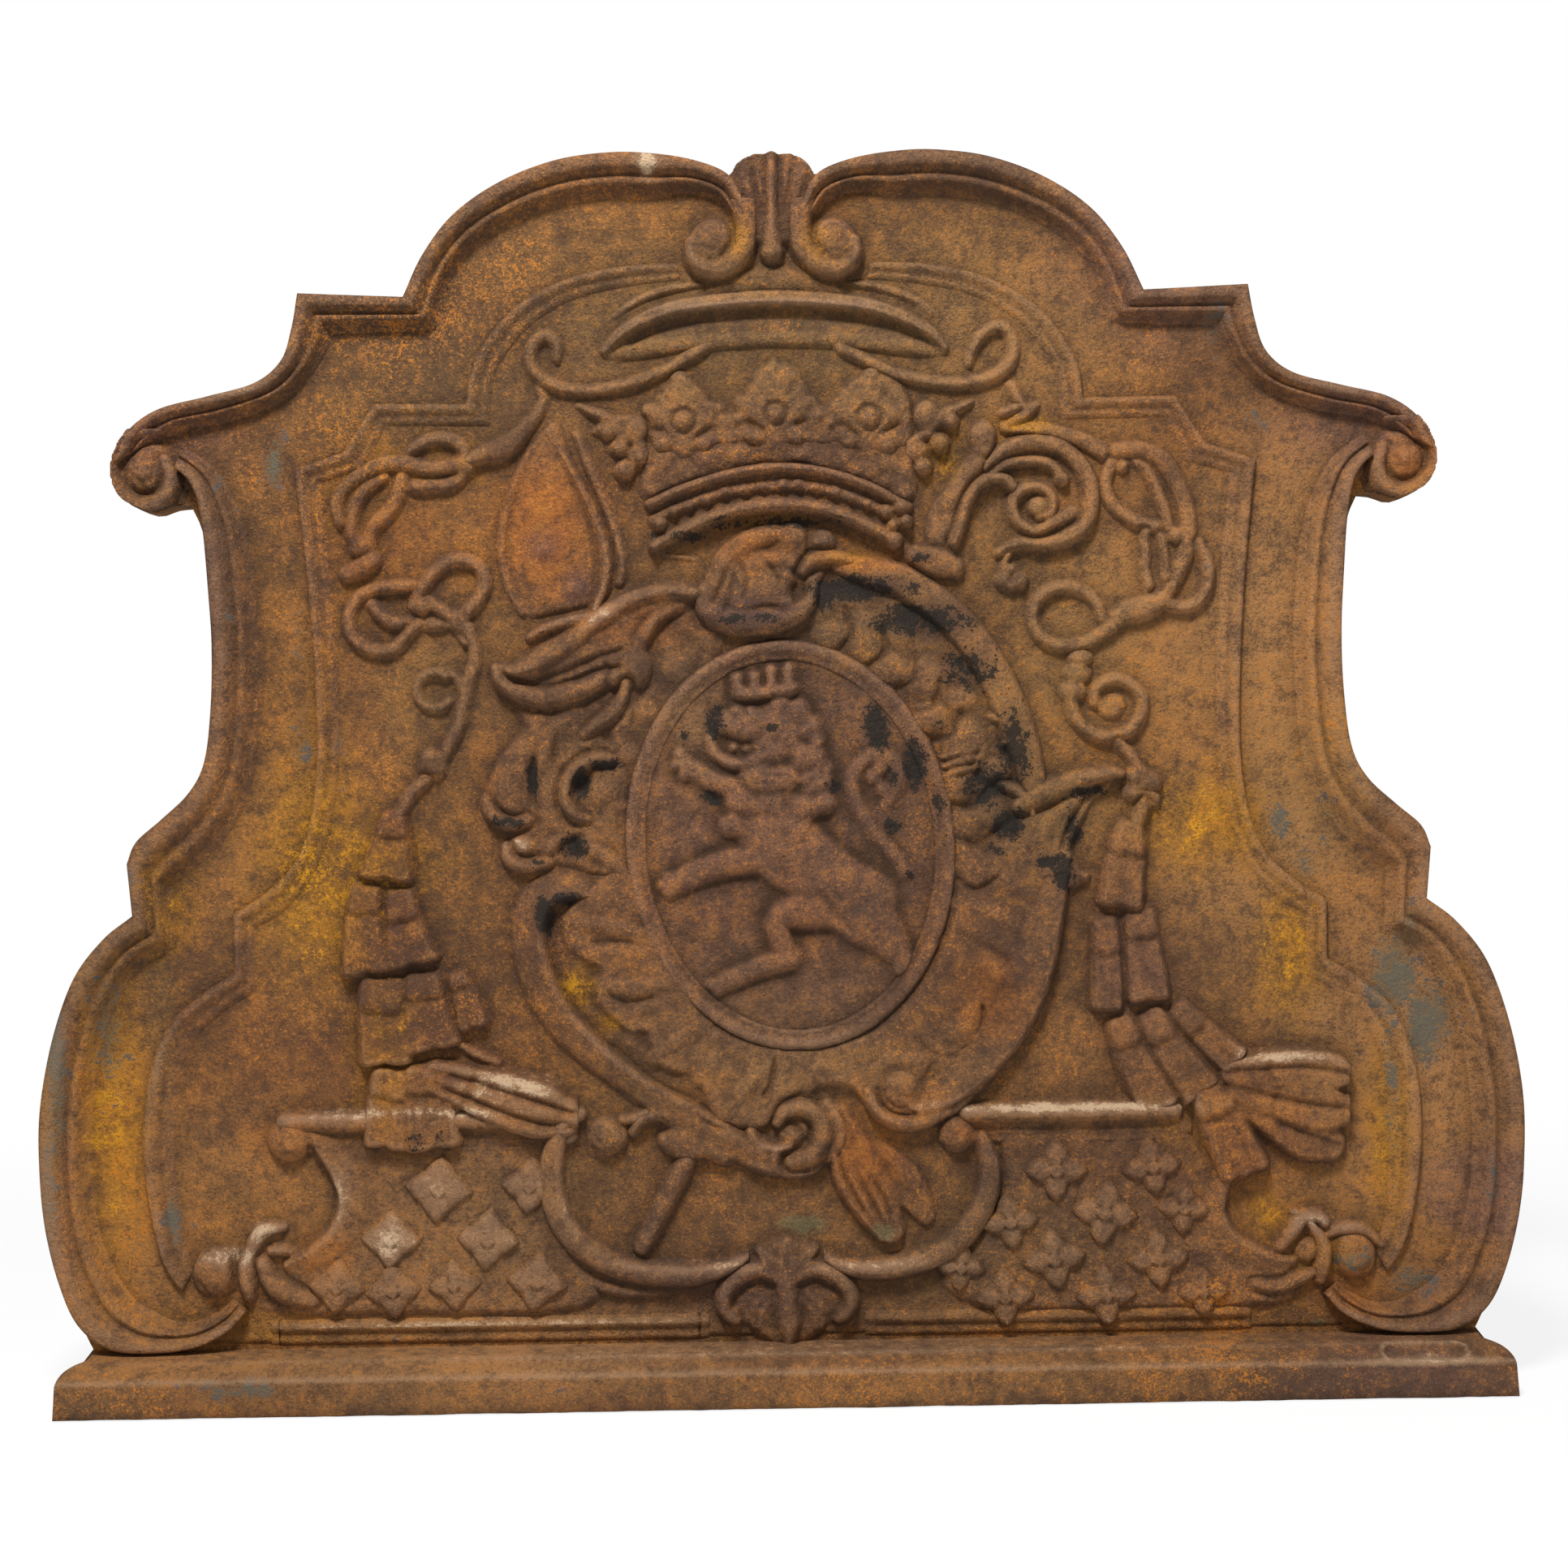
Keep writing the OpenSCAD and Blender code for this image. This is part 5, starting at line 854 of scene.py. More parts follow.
LEFT_CORDS = [[[-238, 594, 9, .9], [-224, 594, 10], [-211, 595, 10], [-203, 600, 10], [-199, 609, 10],
    [-201, 618, 10], [-209, 623.5, 10], [-220, 624, 10], [-230, 620, 9], [-237, 613, 8, .8]],
    [[-268, 553, 11], [-273, 566, 10], [-271, 580, 10], [-264, 592, 10], [-252, 601, 9, .9]],
    [[-264, 553, 11], [-258, 569, 11], [-248, 579, 11], [-242, 591, 11], [-240, 602, 9, .9]],
    [[-280, 572, 9, .9], [-282, 583, 10], [-276, 594, 10], [-265, 602.5, 10.5], [-252, 608, 11], [-238, 608.5, 11],
    [-222, 605, 11], [-204, 607, 11]], [[-261, 520, 9, .9], [-255, 512, 10], [-247, 507, 10], [-235, 506, 10],
    [-220, 505.5, 9], [-207, 508, 9]], [[-231, 530, 9, .9], [-245, 530, 9.5], [-258, 528.5, 9.5], [-269, 523, 9.5],
    [-275, 512, 9.5], [-274, 500, 9.5], [-266, 491.5, 9.5], [-255, 488.5, 9.5], [-245, 491.5, 9.5], [-237, 500, 9],
    [-230, 506, 8, .9]], [[-233, 517, 10], [-228, 528, 10], [-221, 538, 10], [-211, 545, 10], [-199, 546, 10],
    [-190, 540, 10], [-188, 530, 10], [-193, 520, 10], [-201, 511, 10], [-204, 503, 10], [-200, 495, 9]],
    [[-224, 520, 9, .9], [-216, 514, 10], [-206, 508, 10], [-199, 500, 9]]]
RIGHT_CORDS = [[[148, 628, 10, .9], [165, 626.5, 11], [182, 623.5, 11.5], [198, 618, 12], [211, 611, 12],
    [222, 603, 12]], [[216, 604, 9, .9], [212, 593, 9.5], [213.5, 582, 10], [221, 573, 10], [232, 566, 10.5],
    [244, 562, 11], [257, 557.5, 11]], [[229, 609, 8, .8], [238, 600, 9], [244, 589, 9], [249, 576, 9],
    [253, 562, 8, .9]], [[220, 612, 11, .9], [236, 612, 12], [249, 605, 13], [258, 591, 13], [264, 574, 13],
    [265, 556, 13], [261, 540, 12], [253, 524, 11]], [[247, 557, 7, .8], [249.5, 545, 7.5], [250, 530, 7.5, .9]],
    [[237, 559, 7.5, .9], [237, 546, 8], [237.5, 532, 8], [241, 519, 9]], [[272, 552, 8, .8], [277, 541, 8.5],
    [277.5, 527, 9], [271.5, 515, 9], [261, 510.5, 9], [250, 513.5, 9], [243, 519, 8]],
    [[209, 504, 8, .8], [205, 514, 9], [196, 522, 9.5], [184, 525, 9.5], [172, 521.5, 9.5], [164.5, 511, 9.5],
    [165, 499, 9.5], [173, 489.5, 9.5], [186, 486.5, 9.5], [200, 489.5, 10], [212, 497, 10], [222, 504, 10],
    [232, 510, 11], [243, 516, 10]], [[146, 637, 7, .8], [156, 640, 8], [166, 641, 6, .7]],
    [[152, 631, 7, .8], [160, 635, 8], [168, 642, 6, .7]]]


def left_cord_knots(r):
    r.h *= 0.0
    for pts in LEFT_CORDS:
        r.cord(pts, 7.4)
    r.lay([[-260, 547, 14], [-267, 542, 15], [-276, 538, 12, .9]], 9.5)
    r.boss(-266, 555, 9.5, 9)
    r.cut([[-277, 548, 2], [-268, 549, 3], [-259, 553, 2]], 3)
    r.boss(-200, 607, 8, 8.6)
    r.boss(-228, 517, 7, 8.6)
    r.boss(-205, 507, 8, 8.6)


def right_cord_knots(r):
    r.h *= 0.0
    for pts in RIGHT_CORDS:
        r.cord(pts, 7.6)
    r.lay([[220, 506, 15, .9], [231, 509, 18], [243, 513, 16], [250, 518, 11, .9]], 9.6)
    r.cut([[226, 517, 2], [229, 509, 2.6], [229, 501, 2]], 2.4)
    r.boss(257, 557, 6.5, 9)


def left_hat_cord(r):
    r.h *= 0.0
    r.cord([[-154, 664, 7, .6], [-149, 650, 8, .8], [-153, 640, 9], [-160, 630, 10]], 6.5)
    r.cord([[-34, 689, 6, .4], [-44, 682, 9, .8], [-56, 675, 9.5], [-70, 667, 9], [-88, 660, 9], [-110, 655, 9],
        [-132, 655, 9], [-148, 661, 9.5], [-157, 672, 9.5], [-155, 684, 9.5], [-147, 690, 9], [-140, 684, 8.5],
        [-140, 675, 7, .8]], 7)
    r.lay([[-159, 634, 10, .8], [-166, 624, 14], [-176, 617, 17], [-187, 614, 14], [-197, 610, 10]], 9)


def right_hat_cord(r):
    r.h *= 0.0
    r.cord([[152, 655, 8, .8], [157, 645, 8], [163, 638, 7, .8]], 6.5)
    r.cord([[34, 688, 6, .4], [43, 680, 9, .8], [56, 673, 9.5], [70, 666, 9], [86, 660.5, 9], [105, 657, 9],
        [122, 656.5, 9], [139, 660, 9.5], [151, 669, 9.5], [154, 681, 9.5], [149, 691, 9.5], [140, 692, 9],
        [132, 686, 8.5], [127, 677, 7.5], [125, 669, 6, .8]], 7)


def left_cord_drop(r):
    r.h *= 0.0
    r.cord([[-221 + 11.5 * math.cos(a), 463 + 11.5 * math.sin(a), 7.5] for a in np.linspace(0.9, 5.6, 14)], 6)
    r.cord([[-199, 503, 9], [-195, 488, 9], [-196, 478, 9.5], [-200, 466, 10], [-203, 452, 10], [-206, 440, 10],
        [-212, 428, 10], [-217, 418, 9, .9]], 7.4)
    r.lay([[-210, 474, 6, .8], [-204, 466, 7], [-202, 456, 7]], 6)
    r.boss(-223, 414, 10.5, 8.6, tall=0.95)
    r.boss(-224, 419, 8, 9)
    r.cut([[-233, 411, 2], [-226, 407, 3], [-217, 410, 2]], 2.6)
    r.cord([[-227, 406, 9], [-236, 398, 9.5], [-241, 390, 10], [-246, 382, 9]], 7)


def right_cord_drop(r):
    r.h *= 0.0
    r.cord([[190, 466, 12, .9], [188, 452, 10], [191, 440, 9.5], [200, 431, 9.5], [212, 427.5, 9.5], [224, 431, 9.5],
        [232, 440, 9.5], [234, 452, 9.5], [227, 461, 9], [216, 465, 9], [205, 460, 8.5], [203, 450, 8, .8]], 7.8)
    r.boss(214, 448, 10, 5)
    r.coil(214, 449, 8, 0.9, 1.0, 2)
    for x, z, w in ((194, 479, 9), (192, 469, 10.5), (189, 458, 10)):
        r.boss(x, z, w, 9, tall=0.75)
    r.cord([[218, 424, 8, .8], [226, 416, 9], [231, 407, 9]], 7)
    for x, z, w in ((230, 403, 9), (238, 398, 9), (236, 388, 10), (228, 392, 8)):
        r.boss(x, z, w, 9.6, tall=0.85)
    r.cord([[234, 384, 11], [230, 376, 12], [227, 368, 12]], 8.6)
    r.cut([[224, 395, 2], [233, 393, 2.6], [245, 392, 2]], 3)


def left_tassel_rows(r):
    r.h *= 0.25
    r.tassel([[-211, 284, 13, .8], [-204, 266, 17], [-197, 244, 22]], 10, 2, 5)
    r.tassel([[-231, 284, 20, .9], [-229, 258, 28], [-224, 230, 36]], 11.5, 2, 4)
    r.tassel([[-257, 282, 26, .9], [-257, 252, 29], [-254, 221, 32]], 11.5, 2, 3)
    r.tassel([[-245, 338, 16, .9], [-242, 312, 24], [-236, 284, 34]], 11.5, 2, 2)
    r.tassel([[-266, 341, 18, .9], [-268, 312, 24], [-266, 279, 31]], 11.5, 2, 1)
    r.tassel([[-247, 388, 12, .9], [-250, 366, 23], [-254, 340, 34]], 10.5, 2, 0)


def left_lower_tassels(r):
    """A knotted cord end over a broad fan of three strands swept along the rail, and two tassels hanging beside it."""
    r.h *= 0.25
    r.lay([[-208, 236, 7, .7], [-196, 229, 9], [-184, 224, 8, .8]], 7)
    strands = lambda side, along: (
        1 - 0.34 * np.exp(-((np.abs(side) - 0.34) / 0.1) ** 2) - 0.16 * np.exp(-((along - 22) / 2.5) ** 2))
    r.lay([[-222, 215, 24, .9], [-206, 210, 30, 1], [-190, 204, 35, 1.05], [-170, 197, 39, 1.1], [-154, 192, 38, 1.1],
        [-142, 189, 28, .9]], 14, strands)
    r.tassel([[-229, 226, 27, .9], [-227, 197, 32, 1.15], [-224, 167, 34, 1.2]], 12.5, 2, 7)
    r.tassel([[-251, 224, 22, .9], [-254, 197, 26, 1.15], [-255, 168, 28, 1.2]], 12.5, 2, 6)


def right_tassel_rows(r):
    r.h *= 0.25
    r.tassel([[215, 250, 16, .9], [225, 221, 22], [243, 186, 26]], 11.5, 2, 15)
    r.tassel([[234, 253, 17, .9], [248, 227, 22], [270, 197, 27]], 11.8, 2, 14)
    r.tassel([[251, 256, 14, .9], [268, 238, 18], [293, 215, 22]], 11, 2, 13)
    r.tassel([[207, 314, 16, .9], [209, 285, 19], [208, 249, 20]], 11.5, 1, 12)
    r.tassel([[230, 318, 18, .9], [232, 290, 23], [236, 256, 27]], 11.5, 2, 11)
    r.tassel([[226, 376, 15, .9], [222, 350, 24], [217, 315, 28]], 11, 2, 10)


def right_lower_tassels(r):
    """One tassel hanging over the rail's end, and at its right three round-ended lobes swept sideways."""
    r.h *= 0.25
    lobe = lambda side, along: (
        1 - 0.26 * np.exp(-((side - 0.1) / 0.13) ** 2) - 0.18 * np.exp(-((along - 24) / 2.5) ** 2))
    r.lay([[298, 190, 18, .8], [314, 181, 26], [330, 172, 32, 1], [342, 167, 32, 1], [350, 164, 24, .8]], 11.5, lobe)
    r.lay([[292, 200, 18, .8], [314, 194, 27], [336, 189, 34, 1.05], [350, 187, 33, 1], [360, 186, 24, .8]], 13, lobe)
    r.lay([[288, 211, 18, .8], [308, 212, 24], [330, 213, 27, 1.05], [350, 211, 26], [360, 209, 20],
        [366, 207, 12, .8]], 13, lobe)
    r.tassel([[268, 206, 19, .9], [281, 180, 27, 1.1], [297, 143, 31, 1.1]], 13, 3, 16)


# ---- stains, and marks of painted light and shade: [x, z, reach across, reach up, strength] on the sheet ----
# Placed one by one, then tuned: strengths were changed, and a few bright ones added, where a region's mean tone was
# off.

STAINS_AND_LIGHT = {
    "yellow": [[-300, 350, 40, 80, .9], [-255, 230, 26, 60, .7], [-430, 190, 22, 90, .95], [-468, 200, 8, 90, .8],
        [-440, 335, 30, 12, .8], [-385, 60, 40, 18, .5], [-268, 352, 50, 24, .85], [-300, 440, 24, 80, .6],
        [275, 372, 44, 36, .9], [325, 290, 24, 46, .9], [-275, 590, 40, 40, .45], [-262, 540, 30, 40, .35],
        [-205, 600, 40, 20, .5], [-330, 55, 34, 14, .7], [-395, 330, 30, 40, .7], [-205, 270, 50, 90, .3],
        [-130, 272, 12, 12, 1], [-112, 250, 9, 8, .8], [160, 628, 22, 8, .8], [108, 612, 14, 20, .7],
        [400, 470, 12, 60, .7], [390, 170, 16, 70, .9], [440, 270, 24, 30, .5], [310, 120, 14, 14, .9],
        [-190, 540, 26, 60, .3], [25, 745, 10, 20, .7], [-22, 750, 8, 20, .7], [-370, 480, 14, 120, .5],
        [360, 440, 12, 90, .6], [-240, 200, 40, 16, .3], [60, 170, 20, 30, .4], [255, 165, 20, 24, .6],
        [-20, 570, 40, 8, .6], [40, 545, 30, 6, .7], [-250, 620, 60, 10, .5], [0, 30, 440, 8, .3],
        [-330, 20, 50, 12, .5], [350, 92, 24, 14, .7]],
    "orange": [[-150, 565, 26, 44, 1], [-255, 560, 50, 40, .6], [135, 262, 26, 26, .9], [52, 160, 18, 34, 1.1],
        [300, 185, 40, 20, .5], [-330, 180, 40, 16, .6], [10, 320, 90, 50, .45], [405, 608, 14, 14, 1.2],
        [55, 543, 34, 8, .9], [-190, 420, 14, 40, .5], [-90, 505, 40, 14, .7], [-240, 470, 60, 60, .3],
        [330, 690, 40, 30, .5], [250, 590, 60, 60, .5], [-360, 260, 60, 40, .4], [-20, 555, 30, 12, .9],
        [80, 195, 30, 12, .8], [118, 176, 12, 8, 1], [360, 75, 24, 24, .8], [-300, 105, 24, 14, .7],
        [-60, 200, 30, 20, .6], [215, 215, 20, 50, .5], [-240, 300, 40, 60, .4], [420, 190, 20, 100, .4],
        [-120, 655, 40, 8, .4], [230, 735, 60, 30, .4]],
    "red": [[-290, 225, 60, 60, 1], [-340, 215, 40, 40, .8], [-170, 255, 30, 50, .7], [-145, 600, 50, 36, .8],
        [-110, 660, 50, 26, .7], [-390, 640, 40, 20, .7], [250, 165, 50, 30, .7], [-20, 45, 60, 20, .7],
        [-350, 10, 60, 14, .8], [385, 275, 30, 34, .7], [-113, 12, 40, 10, .9], [-250, 480, 40, 60, .4],
        [300, 655, 60, 30, .7], [350, 10, 60, 8, .4], [-170, 420, 26, 50, .4], [100, 280, 40, 50, .4],
        [250, 300, 30, 60, .5], [-60, 300, 60, 40, .3], [390, 330, 20, 50, .7], [-370, 300, 14, 60, .5],
        [200, 330, 20, 30, .4]],
    "grey": [[250, 440, 180, 60, .5], [170, 385, 60, 40, .9], [150, 440, 50, 50, .8], [300, 480, 40, 60, .6],
        [0, 690, 200, 60, .9], [-230, 650, 80, 50, .8], [160, 540, 40, 40, .7], [-230, 460, 40, 50, .7],
        [190, 470, 50, 60, .9], [-150, 740, 120, 40, .7], [-140, 560, 30, 40, .3], [340, 400, 50, 60, .9],
        [-400, 250, 14, 80, .7], [-440, 300, 30, 40, .7], [-120, 150, 60, 40, .5], [100, 100, 160, 50, .8],
        [-180, 110, 80, 50, .6], [-380, 580, 30, 60, .6], [60, 500, 80, 40, .7], [-130, 400, 50, 60, .6],
        [140, 400, 40, 60, .7], [350, 210, 20, 90, .6], [300, 200, 60, 60, .4], [0, 150, 100, 30, .4]],
    "rose": [[0, 100, 300, 70, .6], [6, 350, 100, 120, .5], [200, 240, 80, 120, .5], [-240, 290, 50, 60, .4],
        [350, 620, 60, 40, .7], [250, 740, 60, 60, .5], [-410, 60, 60, 20, .4], [0, 50, 440, 12, .4],
        [420, 330, 30, 60, .7], [390, 480, 16, 80, .7], [200, 330, 60, 60, .5], [-100, 300, 80, 80, .4]],
    "purple": [[380, 18, 90, 22, 1.1], [0, 600, 90, 34, .7], [-20, 620, 50, 14, .6], [235, 270, 40, 60, .7],
        [-240, 260, 34, 60, .6], [250, 730, 80, 60, .9], [380, 630, 50, 30, 1], [370, 520, 20, 90, .9],
        [-370, 520, 20, 90, .7], [-250, 730, 90, 60, .5], [0, 780, 60, 40, .6], [453, 134, 38, 22, 1.7],
        [-460, 160, 20, 110, .6], [-390, 625, 50, 26, .8], [380, 380, 30, 30, .5], [0, 600, 90, 40, .6],
        [430, 60, 40, 40, .6], [-250, 250, 40, 60, .5], [-20, 430, 40, 30, .5], [-240, 508, 40, 26, .35],
        [230, 510, 40, 30, .4], [-30, 75, 60, 30, .8], [-150, 555, 14, 14, .9], [-128, 528, 12, 12, .9],
        [120, 160, 14, 30, .6], [-20, 510, 34, 12, 1], [150, 290, 12, 30, .7], [210, 270, 16, 30, .7]],
    "blue": [[394, 272, 14, 22, 1.4], [416, 240, 13, 22, 1.4], [404, 300, 9, 16, 1.1], [-432, 250, 8, 30, 1],
        [-463, 220, 6, 60, 1.2], [-468, 140, 5, 50, 1.1], [404, 76, 14, 9, 1], [366, 90, 14, 9, 1],
        [322, 372, 8, 16, .9], [338, 345, 8, 10, .9], [284, 690, 8, 26, .8], [310, 630, 10, 9, .8],
        [-322, 612, 6, 16, 1.1], [-392, 122, 6, 22, 1], [-340, 28, 26, 7, .9], [-306, 450, 6, 60, .7],
        [392, 200, 5, 60, .9], [-283, 440, 4, 30, .6], [-420, 345, 10, 8, .8], [455, 150, 5, 40, .7],
        [-352, 520, 6, 50, .7], [352, 370, 8, 20, .8], [-360, 600, 8, 20, .6]],
    # Black patches, and painted shadow in dark pockets: the scroll's eye, under the leaves and the coronet's band, and
    # along the right scroll's outer edge.
    "black_and_shadow": [[-42, 440, 10, 14, 1], [-60, 430, 6, 8, .9], [62, 436, 9, 17, 1.1], [86, 412, 10, 18, 1.1],
        [72, 404, 7, 14, .9], [72, 373, 8, 7, 1], [83, 340, 6, 6, .9], [102, 384, 6, 22, .9], [106, 356, 5, 16, .8],
        [-45, 393, 10, 6, 1], [-5, 436, 6, 4, .8], [35, 398, 8, 8, .9], [34, 412, 5, 12, .7], [50, 470, 6, 3, .8],
        [120, 472, 22, 16, 1], [150, 420, 14, 34, 1], [95, 504, 40, 12, 1.1], [50, 525, 40, 10, 1.1],
        [134, 396, 20, 18, 1.1], [100, 438, 8, 8, .8], [146, 374, 12, 12, 1.2], [136, 356, 10, 6, 1],
        [172, 348, 12, 6, 1], [182, 340, 9, 14, 1.1], [196, 392, 20, 6, .9], [188, 368, 8, 18, 1],
        [-152, 318, 8, 16, 1.2], [-138, 329, 14, 6, 1.1], [-128, 402, 7, 12, 1.1], [-132, 362, 11, 9, 1.1],
        [-159, 408, 5, 16, 1], [-112, 414, 12, 6, 1], [-155, 550, 16, 40, .3], [-150, 500, 14, 8, .6],
        [-176, 378, 14, 5, 1], [-160, 352, 12, 4, .8], [0, 568, 70, 6, .9], [-20, 506, 34, 5, .9],
        [30, 520, 9, 10, 1.1], [-235, 176, 7, 9, .9], [-219, 175, 6, 9, .9], [110, 115, 10, 6, .4],
        [90, 545, 14, 6, .9], [230, 395, 10, 8, .5], [0, 640, 80, 16, .4], [-60, 560, 30, 6, .9],
        [-215, 460, 12, 10, .7], [-480, 240, 4, 20, .8]],
    # Pale rust in broad patches, and painted highlights as thin lines along the upper edges of the foot, the fillet,
    # the rails, the hat's brim and the tablet's lip.
    "pale_and_highlight": [[-235, 200, 36, 24, .6], [-175, 210, 34, 12, 1.1], [0, 41, 420, 2.5, .9], [-190, 57, 150, 1.8, 1],
        [180, 53, 90, 1.8, 1], [320, 222, 34, 6, 1], [-240, 194, 90, 4, 1.1], [185, 191, 70, 3.5, 1.2],
        [-200, 125, 70, 40, .5], [-253, 112, 16, 16, .9], [-222, 146, 14, 14, .6], [-355, 104, 20, 6, 1.1],
        [-335, 120, 12, 8, 1.1], [-282, 145, 9, 30, .9], [160, 110, 90, 40, .2], [404, 34, 30, 3, 1],
        [-80, 797, 5, 8, 1.5], [-60, 240, 60, 8, .4], [20, 236, 70, 5, .6], [-138, 150, 8, 40, .8],
        [-60, 94, 50, 4, .8], [70, 92, 50, 4, .8], [-340, 655, 50, 4, .6], [350, 650, 50, 5, .5],
        [-470, 100, 6, 60, .5], [0, 708, 100, 3, .6], [-110, 508, 18, 8, .9], [90, 194, 20, 5, .9],
        [342, 115, 20, 6, .9], [-400, 180, 3, 70, .5], [-10, 166, 10, 3, .7], [-166, 363, 8, 6, .8],
        [0, 36, 420, 2, .6], [375, 55, 50, 4, .5]],
    # Lighter tone over some regions, and painted highlights along the tops of the rails, the foot and the fillet.
    "bright_and_highlight": [[-110, 650, 60, 40, .4], [140, 680, 60, 50, .8], [170, 590, 60, 50, .7], [230, 530, 60, 50, .8],
        [200, 465, 70, 36, .6], [-57, 441, 20, 24, .8], [-57, 555, 24, 20, .5], [-430, 80, 40, 50, .6],
        [-300, 45, 150, 12, .6], [-57, 718, 40, 12, .6], [335, 400, 40, 50, .5], [-337, 165, 60, 30, .5],
        [335, 450, 40, 110, .9], [300, 400, 50, 50, .4], [350, 250, 40, 50, .6], [-430, 130, 40, 60, .5],
        [-170, 50, 120, 12, .5], [-200, 470, 30, 40, .4], [280, 553, 30, 30, .5], [400, 400, 24, 60, .4],
        [395, 255, 34, 90, .9], [290, 350, 60, 50, .9], [-235, 125, 80, 50, .7], [10, 212, 90, 24, .8],
        [190, 190, 80, 8, .9], [235, 240, 60, 60, .4], [-170, 190, 100, 16, .6], [350, 600, 60, 24, .5],
        [120, 560, 50, 24, .4], [0, 22, 420, 10, .3], [-330, 340, 36, 60, .4], [-40, 250, 90, 30, .4],
        [300, 720, 60, 30, .4]],
    "green": [[12, 117, 18, 8, 1.3], [62, 113, 14, 9, 1.1], [344, 48, 10, 5, 1.1], [376, 36, 10, 5, .9],
        [433, 35, 10, 5, .9], [42, 184, 7, 10, .7], [392, 90, 16, 10, .6], [-436, 230, 14, 60, .5],
        [330, 380, 30, 30, .5]],
    # Soot and dark rust, and painted shadow under the hat's brim, under the coronet's band and the crest leaf, in the
    # scroll's eye and over the upper left arch; darker towards the foot's bottom edge.
    "soot_and_shadow": [[6, 400, 130, 150, .35], [0, 640, 110, 60, .5], [-225, 690, 80, 36, .9], [280, 8, 200, 14, 1],
        [-440, 12, 40, 14, 1.1], [-340, 610, 60, 50, .4], [-260, 300, 60, 60, .35], [-80, 130, 50, 50, .35],
        [460, 20, 30, 30, .6], [0, 696, 78, 4.5, 1.3], [-135, 345, 8, 40, .6], [60, 498, 50, 8, .6],
        [0, 568, 70, 6, .8], [-20, 70, 70, 40, .8], [90, 796, 60, 10, .4], [-330, 700, 60, 40, .4],
        [-180, 760, 80, 30, .4], [300, 660, 30, 60, .4], [120, 130, 60, 60, .5], [-440, 60, 30, 30, .4],
        [-60, 540, 60, 20, .6], [-90, 200, 60, 16, .5], [-20, 508, 40, 20, .9], [170, 90, 100, 30, .5],
        [15, 560, 60, 9, 1]],
    # Painted shade darkening regions such as the upper left arch and the foot's lower corners, and painted light
    # brightening the right lobe, the lower right flank and the left of the foot's top.
    "shade": [[-235, 705, 75, 50, 1], [-290, 610, 36, 40, .7], [-225, 275, 80, 36, .9], [125, 235, 60, 60, .7],
        [-310, 385, 50, 60, .4], [20, 600, 100, 30, .45], [100, 370, 50, 60, .6], [-75, 150, 50, 60, .5],
        [290, 25, 70, 30, .8], [-440, 0, 60, 16, .8]],
    "glow": [[415, 220, 46, 76, 1.1], [310, 520, 44, 60, .8], [-145, 48, 70, 16, .8], [335, 330, 40, 60, .4]]}


def stain(name, x, z):
    """How strongly the marks of one kind, stains and painted light and shade alike, cover points of the sheet."""
    total = np.zeros_like(x)
    for sx, sz, rx, rz, k in STAINS_AND_LIGHT[name]:
        total = np.maximum(total, k * np.exp(-0.5 * (((x - sx) / rx) ** 2 + ((z - sz) / rz) ** 2)))
    return total


# ---- making the pieces ----

def finish_mesh(name, verts, faces, finish, stands_for, values, check=True):
    """A piece at the origin that rides on the plate, with its stains, wear, and painted light and shade kept on its
    points.
    """
    me = bpy.data.meshes.new(name)
    me.from_pydata(np.asarray(verts, float).tolist(), [], faces)
    if check:
        bm = bmesh.new()
        bm.from_mesh(me)
        bmesh.ops.recalc_face_normals(bm, faces=bm.faces)
        bm.to_mesh(me)
        bm.free()
    me.polygons.foreach_set("use_smooth", [True] * len(me.polygons))
    co = np.asarray(verts, np.float32).astype(float).reshape(-1, 3) * 1000
    stains_and_light = {k: stain(k, co[:, 0], sheet_z(co[:, 2])) for k in STAINS_AND_LIGHT}
    for k, v in {**values, **stains_and_light}.items():
        me.attributes.new(k, "FLOAT", "POINT").data.foreach_set("value", np.asarray(v, np.float32))
    ob = bpy.data.objects.new(name, me)
    scene.collection.objects.link(ob)
    me.materials.append(finish)
    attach(ob, "root")
    if stands_for:
        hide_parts(*stands_for)
    return ob


def recesses(x, z, h):
    """How far points at height h stand out of what is round them, and how far they lie under it, from 0 to 1."""
    near, far = sampled(SHEET_NEAR, x, z), sampled(SHEET_FAR, x, z)
    return np.clip((h - near) / 3.2, 0, 1), np.clip((near - h) / 3.2 + (far - h) / 9.0, 0, 1)


